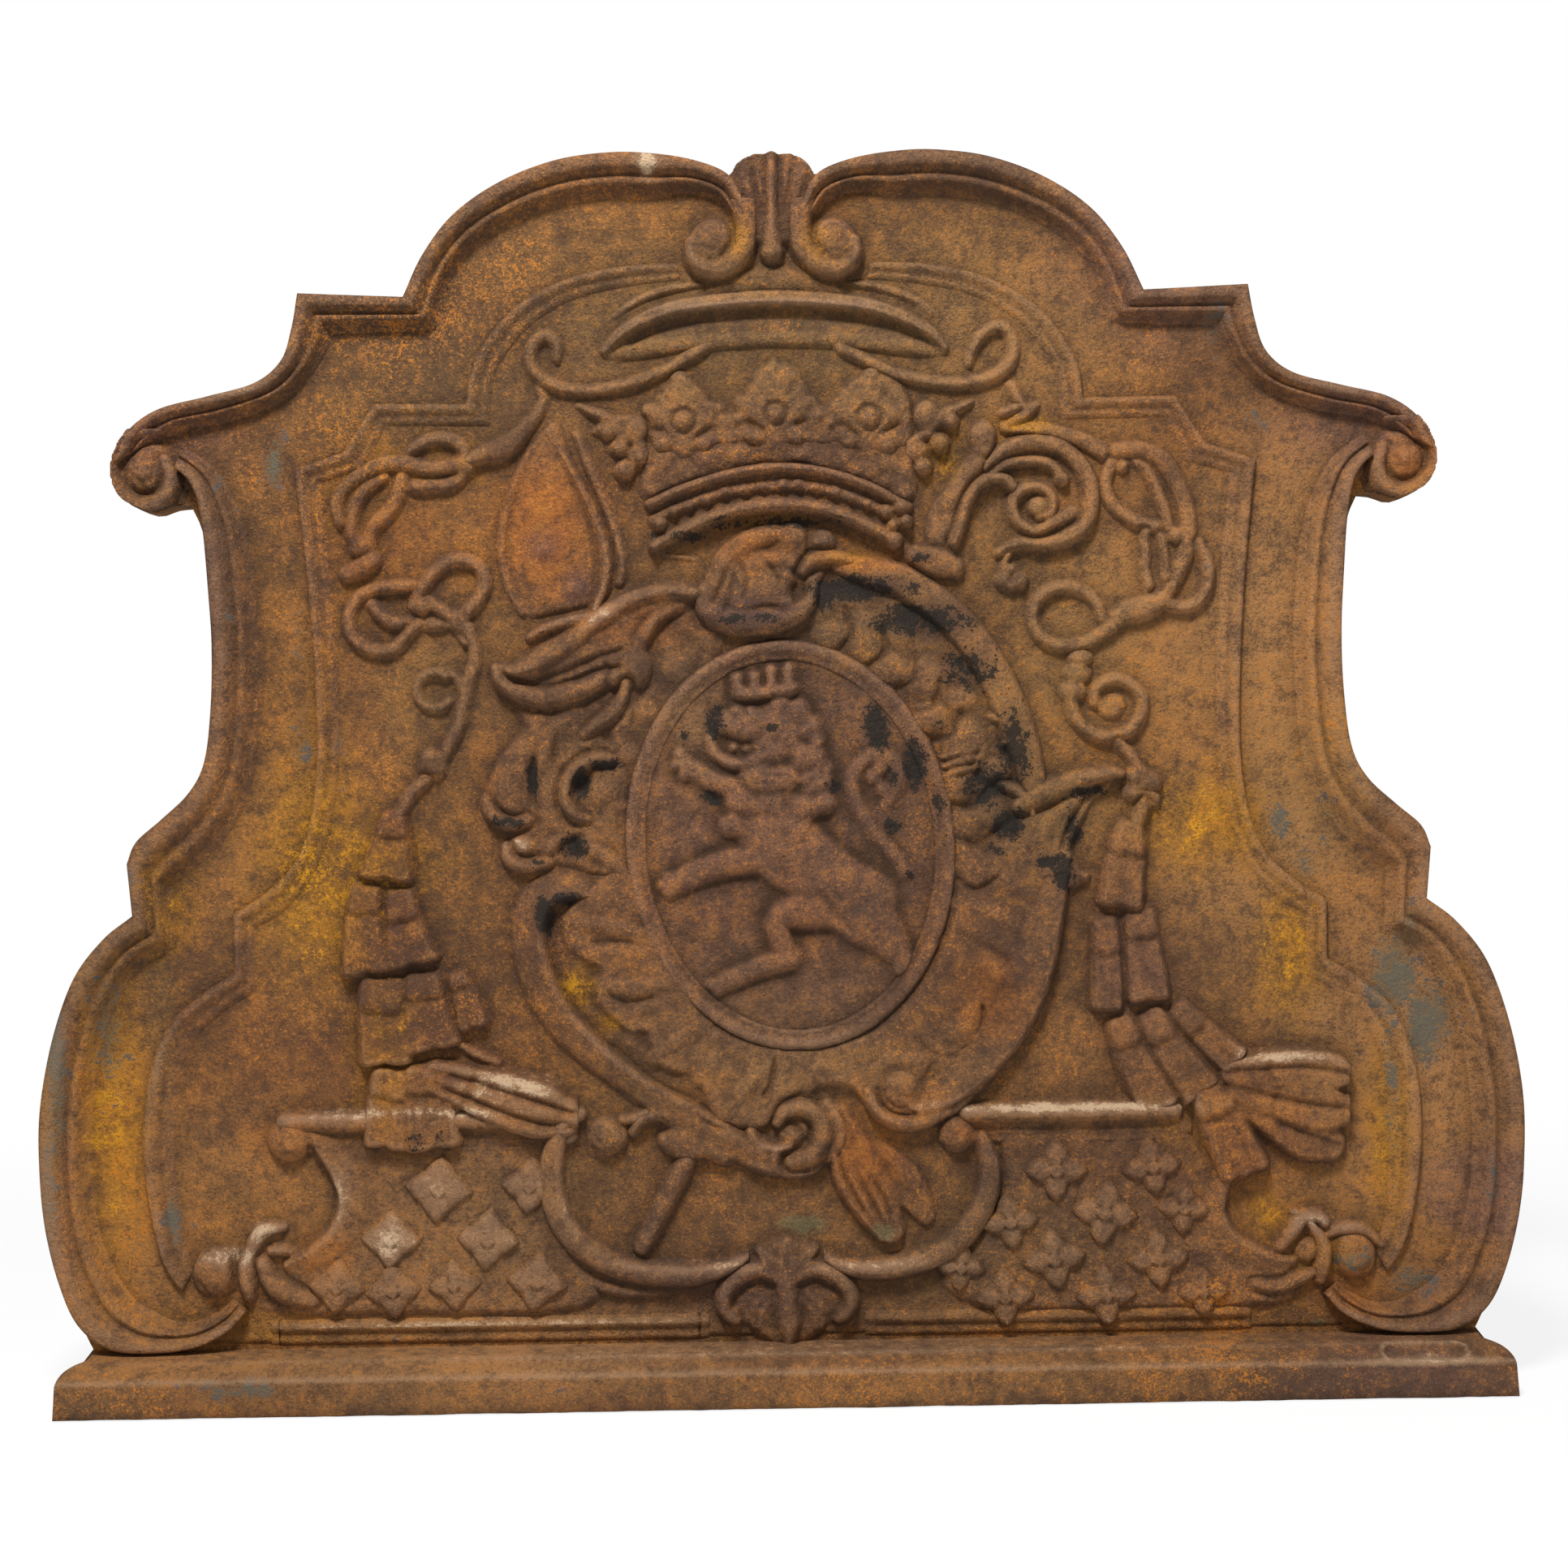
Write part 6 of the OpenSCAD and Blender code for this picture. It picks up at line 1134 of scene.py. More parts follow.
def shell(cells):
    """A closed shell over chosen blocks of 2 x 2 squares: points used in front and, half as fine, behind, and faces."""
    full = np.kron(cells, np.ones((2, 2), bool))
    shape = full.shape[0] + 1, full.shape[1] + 1
    used, under = np.zeros(shape, bool), np.zeros(shape, bool)
    for dj in (0, 1):
        for di in (0, 1):
            used[dj:dj + full.shape[0], di:di + full.shape[1]] |= full
            under[2 * dj:2 * dj + full.shape[0]:2, 2 * di:2 * di + full.shape[1]:2] |= cells
    top, base = np.full(shape, -1), np.full(shape, -1)
    top[used] = np.arange(used.sum())
    base[under] = used.sum() + np.arange(under.sum())
    j, i = np.nonzero(full)
    faces = np.stack([top[j, i], top[j, i + 1], top[j + 1, i + 1], top[j + 1, i]], -1).tolist()
    j, i = 2 * np.array(np.nonzero(cells))
    faces += np.stack([base[j, i], base[j + 2, i], base[j + 2, i + 2], base[j, i + 2]], -1).tolist()
    pad = np.pad(cells, 1)
    for dj, di, a, m, b in ((-1, 0, (0, 0), (0, 1), (0, 2)), (1, 0, (2, 2), (2, 1), (2, 0)),
                            (0, -1, (2, 0), (1, 0), (0, 0)), (0, 1, (0, 2), (1, 2), (2, 2))):
        open_side = cells & ~pad[1 + dj:pad.shape[0] - 1 + dj, 1 + di:pad.shape[1] - 1 + di]
        j, i = 2 * np.array(np.nonzero(open_side))
        faces += np.stack([g[j + k[0], i + k[1]] for g, k in ((top, b), (top, m), (top, a), (base, a), (base, b))],
                          -1).tolist()
    return used, under, faces


def blocks(keep, every):
    """Blocks of 2 x 2 squares of a grid, kept if every point of theirs is, or if any is."""
    cells = np.full(((keep.shape[0] - 1) // 2, (keep.shape[1] - 1) // 2), every)
    for dj in (0, 1, 2):
        for di in (0, 1, 2):
            part = keep[dj:dj + 2 * cells.shape[0]:2, di:di + 2 * cells.shape[1]:2][:cells.shape[0], :cells.shape[1]]
            cells = cells & part if every else cells | part
    return cells


def cast(name, r, finish, slot):
    """Closed shell of a relief, its foot sunk a little into what carries it."""
    piece = name + "_cast"
    h = r.h + 0.35 * waves(r.X, r.Z, 26, len(piece)) * np.clip(r.h / 4, 0, 1) - 0.45
    X, Z = r.X, r.Z
    if name.endswith(AT_THE_EDGE):
        share = plate_share(r.x[0], r.z[0], h.shape, PITCH, 1.2)
        gz, gx = np.gradient(share, PITCH)
        g = np.maximum(np.hypot(gx, gz), 1e-4)
        off = np.clip((0.66 - share) / g, 0, 3.2) * (share < 0.66)
        X, Z = X + off * gx / g, Z + off * gz / g
        h = np.where(share < 0.4, -2.0, h)
    low = -0.8
    cells = blocks(h > -0.3, False)
    h = np.clip(h, low, None)
    cells[[0, -1], :] = False
    cells[:, [0, -1]] = False
    used, under, faces = shell(cells)
    points = np.vstack([place(X[used], Z[used], h[used]), place(X[under], Z[under], np.full(under.sum(), low - 0.5))])
    # Raised points are lightened as worn; points in hollows get painted shade and draw powder.
    crown, hollow = recesses(X[used], Z[used], h[used])
    local = blur(r.h, 3.0)
    crown = np.maximum(crown, np.clip((r.h - local)[used] / 1.6, 0, 1))
    hollow = np.maximum(hollow, np.clip((local - r.h)[used] / 1.6, 0, 1))
    extra = np.zeros(under.sum())
    values = {"crown": np.concatenate([crown, extra]), "hollow": np.concatenate([hollow, extra])}
    finish_mesh(piece, points, faces, finish, STANDS_FOR.get(name, [name]), values, check=False)


# ---- rusted iron ----

class Socket:
    """A shader value that takes part in plain arithmetic."""

    def __init__(self, book, out):
        self.book, self.out = book, out

    def _do(self, op, a, b):
        return self.book.node("ShaderNodeMath", {"operation": op}, {0: a, 1: b})

    def __add__(self, o): return self._do("ADD", self, o)
    def __sub__(self, o): return self._do("SUBTRACT", self, o)
    def __rsub__(self, o): return self._do("SUBTRACT", o, self)
    def __mul__(self, o): return self._do("MULTIPLY", self, o)
    def clip(self): return self.book.node("ShaderNodeClamp", {}, {0: self})


class Book:
    """One material's nodes."""

    def __init__(self, name):
        self.material = bpy.data.materials.new(name)
        self.material.use_nodes = True
        self.tree = self.material.node_tree
        self.tree.nodes.clear()

    def node(self, kind, settings, inputs, out=0):
        n = self.tree.nodes.new(kind)
        for k, v in settings.items():
            setattr(n, k, v)
        for k, v in inputs.items():
            if isinstance(v, Socket):
                self.tree.links.new(v.out, n.inputs[k])
            else:
                n.inputs[k].default_value = v
        return Socket(self, n.outputs[out])

    def noise(self, at, size, detail, rough=0.55):
        return self.node("ShaderNodeTexNoise", {},
                         {"Vector": at, "Scale": size, "Detail": detail, "Roughness": rough})

    def step(self, value, low, high):
        return self.node("ShaderNodeMapRange", {"interpolation_type": "SMOOTHSTEP"},
                         {"Value": value, "From Min": low, "From Max": high})

    def mix(self, share, a, b):
        wrap = lambda c: c if isinstance(c, Socket) else (*c, 1)
        return self.node("ShaderNodeMix", {"data_type": "RGBA"}, {"Factor": share, 6: wrap(a), 7: wrap(b)}, 2)

    def kept(self, name):
        return self.node("ShaderNodeAttribute", {"attribute_name": name}, {}, 2)


def rusted(name, brown, orange, worn_and_highlit, pits=0.5, wear=0.3, powder=1.0, hollow_shade=0.55):
    """Old rust on cast iron: mottled browns, powder blooms, bare bluish and blackened patches, worn crowns, painted
    shade in hollows, painted highlights and sheen, and painted light and shade over some regions.
    """
    b = Book(name)
    at = b.node("ShaderNodeTexCoord", {}, {}, 3)
    broad = b.noise(at, 6, 3)
    blotch = b.noise(at, 30, 6, 0.66)
    patch = b.noise(at, 85, 5, 0.7)
    speck = b.noise(at, 280, 4, 0.8)
    fine = b.noise(at, 700, 2, 0.7)
    crown, hollow = b.kept("crown"), b.kept("hollow")
    mottle = patch * 0.42 + speck * 0.36 + fine * 0.22
    grit = patch * 0.16 + speck * 0.44 + fine * 0.4 + (blotch + broad - 1) * 0.22
    soft = blotch * 0.6 + mottle * 0.4
    colour = b.mix(b.step(broad * 0.4 + soft * 0.6, 0.42, 0.58), brown, orange)
    colour = b.mix(b.kept("red") * (soft * 0.9 + 0.25), colour, (0.165, 0.06, 0.021))
    for key, own, mottled, low, high, most, tone in (
            ("orange", 0.5, 0.6, 0.42, 0.8, 0.9, (0.33, 0.105, 0.018)),
            ("grey", 0.5, 0.6, 0.45, 0.85, 0.75, (0.17, 0.102, 0.037)),
            ("rose", 0.5, 0.6, 0.45, 0.85, 0.65, (0.195, 0.088, 0.056)),
            ("purple", 0.6, 0.7, 0.55, 1.0, 0.8, (0.105, 0.052, 0.05))):
        colour = b.mix(b.step(b.kept(key) * own + soft * mottled, low, high) * most, colour, tone)
    # Soot and dark rust with painted shadow, lighter tone with painted highlights, painted light, and painted shade, in
    # that order.
    for key, mottled, least, tone in (
            ("soot_and_shadow", 0.7, 0.15, (0.06, 0.036, 0.022)), ("bright_and_highlight", 0.7, 0.1, (0.43, 0.22, 0.078)),
            ("glow", 0.6, 0.2, (0.46, 0.22, 0.082)), ("shade", 0.6, 0.25, (0.05, 0.03, 0.019))):
        colour = b.mix(b.kept(key) * (soft * mottled + least), colour, tone)
    ochre = b.step(b.kept("yellow") * 0.6 + soft * 0.75 + hollow * 0.1, 0.58, 1.02) * powder
    colour = b.mix(ochre * 0.8, colour, (0.36, 0.155, 0.01))
    colour = b.mix(b.step(1 - patch, 0.48, 0.66) * 0.5, colour, (0.07, 0.034, 0.019))
    colour = b.mix(b.step(patch, 0.52, 0.68) * 0.4, colour, (0.32, 0.13, 0.03))
    colour = b.mix(b.step(1 - grit, 0.5, 0.6) * 0.55, colour, (0.06, 0.035, 0.024))
    colour = b.mix(b.step(grit, 0.51, 0.61) * 0.5, colour, (0.42, 0.17, 0.04))
    gold = b.step(b.kept("yellow") * 0.22 + mottle + hollow * 0.05, 0.7, 0.78) * powder
    colour = b.mix(gold * 0.8, colour, (0.62, 0.28, 0.008))
    colour = b.mix(b.step(grit + blotch * 0.2, 0.68, 0.74) * powder * 0.6, colour, (0.56, 0.18, 0.01))
    blue = b.kept("blue")
    bare = b.step(blue * 0.2 + mottle * 1.5 + blotch * 0.5, 1.17, 1.21)
    colour = b.mix(bare * 0.85, colour, (0.05, 0.066, 0.074))
    colour = b.mix(b.step(blue * 0.3 + mottle * 0.6 + blotch * 0.3, 0.62, 0.8) * 0.35, colour, (0.2, 0.16, 0.08))
    colour = b.mix(b.step(b.kept("green") * 0.4 + mottle * 1.2, 0.94, 1.02) * 0.6, colour, (0.12, 0.115, 0.055))
    # Painted shade: colour darkened in hollows and recesses.
    colour = b.mix(hollow * hollow_shade, colour, (0.03, 0.015, 0.007))
    # Crowns lightened as worn, with painted highlights along the marked highlight lines.
    rubbed_and_highlit = b.step(crown * wear + b.kept("pale_and_highlight") * 0.4 + mottle * 0.6, 0.5, 1.05)
    colour = b.mix(rubbed_and_highlit * 0.75, colour, worn_and_highlit)
    # Painted sheen: pale speckles, gathered along the marked highlight lines.
    shine = b.step(b.kept("pale_and_highlight") * 0.3 + crown * 0.1 + mottle, 0.8, 0.92)
    colour = b.mix(shine * 0.75, colour, (0.56, 0.4, 0.25))
    # Black patches, with painted shadow where they are marked in dark pockets and under overhangs.
    blackened_and_shadow = b.step(b.kept("black_and_shadow") * 0.32 + blotch * 0.25 + mottle * 1.15, 0.955, 0.985)
    colour = b.mix(blackened_and_shadow * 0.93, colour, (0.012, 0.011, 0.009))
    rough = (0.9 - rubbed_and_highlit * 0.15 - blackened_and_shadow * 0.15 + (speck - 0.5) * 0.3).clip()
    hole = b.node("ShaderNodeTexVoronoi", {"feature": "F1"}, {"Vector": at, "Scale": 210.0})
    dents = b.step(hole, 0.0, 0.3) * 0.6 * pits + speck * 1.5 + fine * 0.7 + patch * 1.4 - blackened_and_shadow * 0.4
    bump = b.node("ShaderNodeBump", {}, {"Strength": 0.85, "Distance": 0.002, "Height": dents})
    shader = b.node("ShaderNodeBsdfPrincipled", {}, {"Base Color": colour, "Roughness": rough, "Metallic": 0.0,
                                                     "Specular IOR Level": 0.2, "Normal": bump})
    out = b.tree.nodes.new("ShaderNodeOutputMaterial")
    b.tree.links.new(shader.out, out.inputs[0])
    return b.material


PLATE_RUST = rusted("plate_rust", (0.14, 0.065, 0.021), (0.255, 0.108, 0.03), (0.3, 0.17, 0.085))
RIM_RUST = rusted("rim_rust", (0.11, 0.054, 0.027), (0.205, 0.09, 0.035), (0.27, 0.155, 0.09), pits=0.8, wear=0.4)
ORNAMENT_RUST = rusted("ornament_rust", (0.117, 0.058, 0.029), (0.204, 0.094, 0.042), (0.3, 0.17, 0.095), wear=0.35)
TASSEL_RUST = rusted("tassel_rust", (0.096, 0.041, 0.02), (0.2, 0.073, 0.026), (0.3, 0.165, 0.085), wear=0.35,
                     powder=0.8)
LION_RUST = rusted("lion_rust", (0.125, 0.063, 0.04), (0.205, 0.096, 0.053), (0.27, 0.15, 0.085), pits=0.9, wear=0.45,
                   powder=0.4, hollow_shade=0.85)
FOOT_RUST = rusted("foot_rust", (0.135, 0.067, 0.027), (0.22, 0.1, 0.035), (0.34, 0.21, 0.12), wear=0.5)

# ---- edge mouldings ----

EDGE = [(0, 0, 0), (0.0, .66, 0), (.008, .82, .2), (.03, .93, .5), (.08, .99, .9), (.16, 1.0, 1),
        (.26, .98, 1), (.35, .88, .6), (.42, .7, 0), (.475, .56, -.7), (.52, .55, -.7),
        (.57, .66, .2), (.63, .7, .6), (.69, .62, .2), (.75, .45, -.2), (.82, .27, -.3),
        (.9, .13, -.2), (.97, .05, -.1), (1, 0, 0)]
INNER = [(0, 0, 0), (.03, .5, -.2), (.08, .85, .3), (.16, 1.0, .9), (.27, 1.0, .8), (.38, .86, .3),
         (.47, .62, -.3), (.56, .5, -.5), (.66, .56, .2), (.76, .5, .4), (.86, .26, 0), (.95, .07, 0),
         (1, 0, 0)]

UPPER = [[14, 742, 21.5, 743, .6], [14, 757, 23, 755, .8], [19, 774, 30, 767, .95], [28, 790, 40, 776, 1],
         [48, 799, 58, 780, 1], [75, 804, 78, 776, 1], [105, 805, 103, 777, 1], [140, 800, 133, 773, 1],
         [175, 786.5, 162, 763, 1], [204, 766.5, 188, 748, 1], [224, 741, 206, 727, 1], [237, 714, 217, 694, 1]]
EAR = [[304, 717, 283, 692, 1], [308, 695, 287, 682, 1], [315, 674, 297, 666, 1], [332, 660, 314, 650, 1],
       [362, 652, 348, 637, 1], [393, 644, 378, 632, 1], [413, 630, 395, 624, .95], [423, 609.5, 402, 623, .85]]
FLANK = [[383, 605.5, 380, 622, .8], [376.5, 600, 366, 613, .9], [370, 588, 354, 600, 1], [366, 565, 342, 574, 1],
         [363.5, 532, 336, 545, 1], [361.5, 495, 332, 497, 1], [362.5, 455, 333, 452, 1], [367, 420, 337, 412, 1],
         [377, 400, 346, 385, 1], [395, 383, 362, 362, 1], [411, 369, 378, 347, 1], [417, 355, 390, 340, 1]]
LOWER = [[414, 322, 388, 300, 1], [433, 307, 408, 290, 1], [452, 282, 424, 268, 1], [466, 243, 436, 236, 1],
         [474, 200, 442, 200, 1], [475, 163, 443, 163, 1], [472, 125, 440, 125, 1], [464, 90, 431, 98, 1],
         [452, 62, 418, 77, 1], [432, 46, 403, 67, 1], [405, 43, 392, 62, 1], [377, 46, 377, 62, .95],
         [356, 56, 363, 69, 0.85], [345, 68, 356, 75, 0.7]]
PANEL = [[[-388, 80, -380.5, 94, .8], [-396, 91, -382, 104, 1], [-403, 108, -386, 114, 1], [-410, 145, -389, 146, 1],
         [-412, 185, -389, 185, 1], [-407, 222, -385, 216, 1], [-394, 252, -375, 242, 1], [-374, 270, -358, 258, 1],
         [-352, 284, -337, 272, 1]], [[-352, 322, -337, 312, 1], [-333, 334, -320, 321, 1], [-314, 352, -301, 343, 1],
         [-303, 378, -288, 374, 1], [-298, 415, -282, 414, 1], [-298, 460, -281, 460, 1], [-302, 530, -285, 530, 1],
         [-310, 606, -291, 597, 1]], [[-278, 617, -264, 604, 1], [-258, 648, -250, 632, 1]],
         [[-199, 647, -183, 632, 1], [-196, 668, -180, 662, 1], [-184, 690, -169, 682, 1], [-165, 710, -152, 699, 1],
         [-135, 726, -126, 713, 1], [-100, 734, -94, 720, 1], [-62, 736, -60, 724, .7]]]


def set_in(rows):
    """Draws the outer line of each row 0.3 mm in from the edge of the plate."""
    r = np.array(rows, float)
    d = r[:, 2:4] - r[:, :2]
    r[:, :2] += d * (0.3 / np.linalg.norm(d, axis=1))[:, None]
    return r


def tube(n, m):
    """Faces between n rings of m points."""
    return [[a * m + b, a * m + (b + 1) % m, (a + 1) * m + (b + 1) % m, (a + 1) * m + b]
            for a in range(n - 1) for b in range(m)]


def run(name, parts, section, height, stands_for, mirror, finish=None):
    """A moulding through rows of [outer x, z, inner x, z, factor], with one cross-section all along it."""
    q = np.vstack([flow(p, 3.0) for p in parts])
    steps = [(a, b, max(1, int(np.linalg.norm((b - a)[:2]) / 4))) for a, b in zip(q, q[1:])]
    q = np.vstack([a + (b - a) * t for a, b, n in steps for t in np.arange(n) / n] + [q[-1:]])
    u, v, wear = np.array(section, float).T
    x = (q[:, 0, None] * (1 - u) + q[:, 2, None] * u) * mirror
    z = q[:, 1, None] * (1 - u) + q[:, 3, None] * u
    h = q[:, 4, None] * height * v
    h = np.where(v > 0, h + 0.35 * waves(x, z, 34, len(name)) * np.minimum(v, 0.5), h - 1.2)
    n, m = h.shape
    faces = tube(n, m) + [list(range(m)), [(n - 1) * m + b for b in reversed(range(m))]]
    # The section's third column lightens crests as worn and, below zero, marks grooves for painted shade.
    values = {"crown": np.tile(np.clip(wear, 0, 1), n), "hollow": np.tile(np.clip(-wear, 0, 1), n)}
    finish_mesh(name, place(x, z, h).reshape(-1, 3), faces, finish or RIM_RUST, stands_for, values)


def edge_mouldings():
    for side, word in ((-1, "left"), (1, "right")):
        run(word + "_upper_moulding", [set_in(UPPER), set_in(EAR)], EDGE, 15, [word + "_upper_rim"], side)
        run(word + "_flank_moulding", [set_in(FLANK), set_in(LOWER)], EDGE, 15, [word + "_flank_rim"], side)
        run(word + "_panel_moulding", PANEL, INNER, 5.5, [word + "_inner_frame"], -side)


# ---- the castings: finish, slot, and the hands that work each one ----

def each(*works):
    """Castings that carry the name of the function that works them."""
    return [(work.__name__, work) for work in works]


def pair(work):
    """The left and the right casting of one kind, mirrored."""
    return [(word + work.__name__, lambda r, s=s: work(r, s)) for s, word in ((-1, "left_"), (1, "right_"))]


CASTINGS = [
    (ORNAMENT_RUST, "ornament_iron", each(crest_shell)),
    (RIM_RUST, "moulding_iron", pair(crest_volute) + pair(ear_volute) + pair(foot_volute) + each(hat_brim)),
    (ORNAMENT_RUST, "ornament_iron", each(
        hat_crown, left_hat_cord, right_hat_cord, left_cord_knots, right_cord_knots, left_cord_drop,
        right_cord_drop)),
    (TASSEL_RUST, "ornament_iron", each(
        left_tassel_rows, left_lower_tassels, right_tassel_rows, right_lower_tassels)),
    (ORNAMENT_RUST, "ornament_iron", each(
        coronet_band, coronet_wall, coronet_fleurons, coronet_side_leaves, mitre, mitre_horn, crosier_staff,
        crosier_crook, crosier_foot, cartouche_crest_leaf, cartouche_left_leafage, cartouche_left_scroll,
        cartouche_petals, cartouche_right_band, cartouche_right_scroll, horn_leaf)),
    (TASSEL_RUST, "ornament_iron", each(leaf_tassel)),
    (LION_RUST, "ornament_iron", each(medallion)),
    (LION_RUST, "moulding_iron", each(medallion_rim)),
    (RIM_RUST, "moulding_iron", pair(rail)),
    (ORNAMENT_RUST, "ornament_iron", each(left_bracket, right_bracket, left_lower_scroll, right_lower_scroll,
                                          pendant))]
STANDS_FOR = {"medallion": ["medallion", "lion", "lion_crown"]}
# Room in mm round the solid's box that a casting's relief may spread into, where it isn't 15.
ROOM = {"left_bracket": 165, "right_bracket": 175, "left_foot_volute": 50, "right_foot_volute": 50,
        "left_rail": 45, "right_rail": 45, "crosier_staff": 40, "cartouche_petals": 40, "cartouche_right_scroll": 35,
        "left_lower_scroll": 30, "right_lower_scroll": 30, "cartouche_left_leafage": 20, "horn_leaf": 20,
        "coronet_side_leaves": 20, "leaf_tassel": 20, "crosier_crook": 20}
AT_THE_EDGE = ("crest_shell", "crest_volute", "ear_volute", "foot_volute")

reliefs = []
for finish, slot_name, works in CASTINGS:
    for name, work in works:
        relief = Relief(name, ROOM.get(name, 15))
        work(relief)
        relief.finish()
        reliefs.append((name, relief, finish, slot_name))
for word in ("left", "right"):
    for part in ("_upper_rim", "_flank_rim", "_inner_frame"):
        imprint(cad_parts[word + part], SHEET_H, SHEET_X[0], SHEET_Z[0], SPREAD)
SHEET_NEAR, SHEET_FAR = blur(SHEET_H, 5, SPREAD), blur(SHEET_H, 13, SPREAD)
for casting in reliefs:
    cast(*casting)
edge_mouldings()


def plate_skin():
    """The cast face of the plate between the mouldings: uneven, pitted, and sunk out of sight under the edge."""
    share = plate_share(SHEET_X[0], SHEET_Z[0], SHEET_H.shape, SPREAD, 4.5)
    X, Z = np.meshgrid(SHEET_X, SHEET_Z)
    h = 0.5 + 0.3 * waves(X, Z, 120, 3) + 0.16 * waves(X, Z, 42, 4) + 0.09 * waves(X, Z, 17, 5)
    h = np.clip(h, 0.12, None) + 0.7 * np.clip(SHEET_NEAR / 6, 0, 1) ** 2
    h = np.where(share > 0.985, h, -0.6)
    used, under, faces = shell(blocks((share > 0.96) & (Z > 40), True))
    X, Z, h = (g[:used.shape[0], :used.shape[1]] for g in (X, Z, h))
    points = np.vstack([place(X[used], Z[used], h[used]), place(X[under], Z[under], np.full(under.sum(), -1.5))])
    # Painted shade on the plate round the ornaments and mouldings.
    hollow = recesses(X[used], Z[used], np.zeros(used.sum()))[1]
    values = {"crown": np.zeros(len(points)), "hollow": np.concatenate([hollow * 0.75, np.zeros(under.sum())])}
    finish_mesh("plate_skin", points, faces, PLATE_RUST, (), values, check=False)


TABLET_X, TABLET_HALF = 402, 18


def foot():
    """The foot: an upright face, a rounded shoulder that also turns round the ends, and the sunk bare tablet."""
    run_y, drop = FOOT_D - LEDGE_D, FOOT_H - FASCIA_H
    shoulder = [(LEDGE_D + run_y * (0.5 * (1 - t / (math.pi / 2)) + 0.5 * math.cos(t)),
                 FASCIA_H + drop * (0.5 * t / (math.pi / 2) + 0.5 * math.sin(t)))
                for t in np.linspace(0, math.pi / 2, 10)]
    face = [(FOOT_D - 1.6, 0), (FOOT_D - 0.5, 0.4), (FOOT_D, 1.6)]
    face += [(FOOT_D, z) for z in np.linspace(4, FASCIA_H - 3, 9)] + [(FOOT_D - 0.15, FASCIA_H - 1.2)]
    side = flow([[p[0], p[1]] for p in face + [(q[0] - 0.1, q[1]) for q in shoulder]], 1.4)
    side = np.vstack([side, [[LEDGE_D - 6, FOOT_H], [LEDGE_D - 14, FOOT_H], [FOOT_D - 58, FOOT_H],
                             [0.8, FOOT_H - 0.2], [0, FOOT_H - 1], [0, FASCIA_H], [0, 1.6], [1.6, 0]]])
    m, count = len(side), 330
    u = np.linspace(-1, 1, count)
    u = np.sign(u) * (1 - (1 - np.abs(u)) ** 1.06)
    d, up = side.T
    rise = np.clip((up - FASCIA_H) / drop, 0, 1)
    turned = (FOOT_REACH - 1.5) * (1 - np.sqrt(np.clip(1 - rise ** 2, 0, 1)))
    x = u[:, None] * (FOOT_HALF - 1.5 * np.clip(up / FASCIA_H, 0, 1) - turned)[None]
    along = lengths(side)
    normal = np.gradient(side, axis=0)
    normal /= np.linalg.norm(normal, axis=1)[:, None]
    middle = along[np.argmin(np.hypot(d - (LEDGE_D + run_y * 0.52), up - (FASCIA_H + drop * 0.66)))]
    sunk = np.hypot(np.maximum(np.abs(x - TABLET_X) - TABLET_HALF, 0), along[None] - middle)
    tablet = np.clip((7.8 - sunk) / 1.2, 0, 1)
    lip = np.exp(-((sunk - 9) / 1.2) ** 2)
    round_it = np.broadcast_to(along, x.shape)
    uneven = 0.25 * waves(x, round_it, 60, 7) + 0.12 * waves(x, round_it, 16, 8) - 0.6
    bulge = (d > 30).astype(float)[None] * uneven - 1.6 * tablet + 0.55 * lip
    y = BACK_Y - (d[None] + bulge * normal[:, 1][None])
    z = np.clip(up[None] - bulge * normal[:, 0][None], 0, FOOT_H)
    points = np.stack([x, y, z], -1).reshape(-1, 3) * MM
    faces = tube(count, m) + [list(range(m))[::-1], [(count - 1) * m + k for k in range(m)]]
    # Painted highlight along the fascia's top edge, weaker along the ledge's front edge, and on the tablet's lip.
    arris_highlight = np.exp(-((d - FOOT_D + 1.5) / 3) ** 2 - ((up - FASCIA_H - 1) / 3.5) ** 2)
    arris_highlight = arris_highlight + 0.25 * np.exp(-((d - LEDGE_D - 3) / 3) ** 2) * (up > FASCIA_H)
    # Darker towards the bottom, and painted shade inside the sunk tablet.
    low = np.exp(-(up / 5) ** 2) * 0.7
    bottom_dark_and_tablet_shade = np.tile(low, (count, 1)) + 0.8 * tablet * (sunk > 5.5)
    values = {"crown": np.clip(np.tile(arris_highlight, (count, 1)) + lip, 0, 1).reshape(-1),
              "hollow": np.clip(bottom_dark_and_tablet_shade, 0, 1).reshape(-1)}
    finish_mesh("foot_cast", points, faces, FOOT_RUST, ["foot"], values)


FILLET = [(0, 0, 0), (.06, .3, .2), (.16, .75, .8), (.3, .95, 1), (.42, .8, .4), (.52, .4, -.6),
          (.62, .3, -.6), (.74, .5, .3), (.86, .42, .2), (.95, .15, 0), (1, 0, 0)]


def lower_fillet():
    """The low moulding along the foot, left and right of the pendant."""
    for word, a, b in (("left", -332, -50), ("right", 50, 300)):
        ends = ((a, .3), (a + 6, .8), (a + 20, 1), (a * .5 + b * .5, 1), (b - 20, 1), (b - 6, .8), (b, .3))
        rows = [[x, 61.5, x, 44, k] for x, k in ends]
        run(word + "_fillet", [rows], FILLET, 4.2, ["lower_fillet"] if word == "left" else [], 1,
            PLATE_RUST)


# ---- repeated castings ----

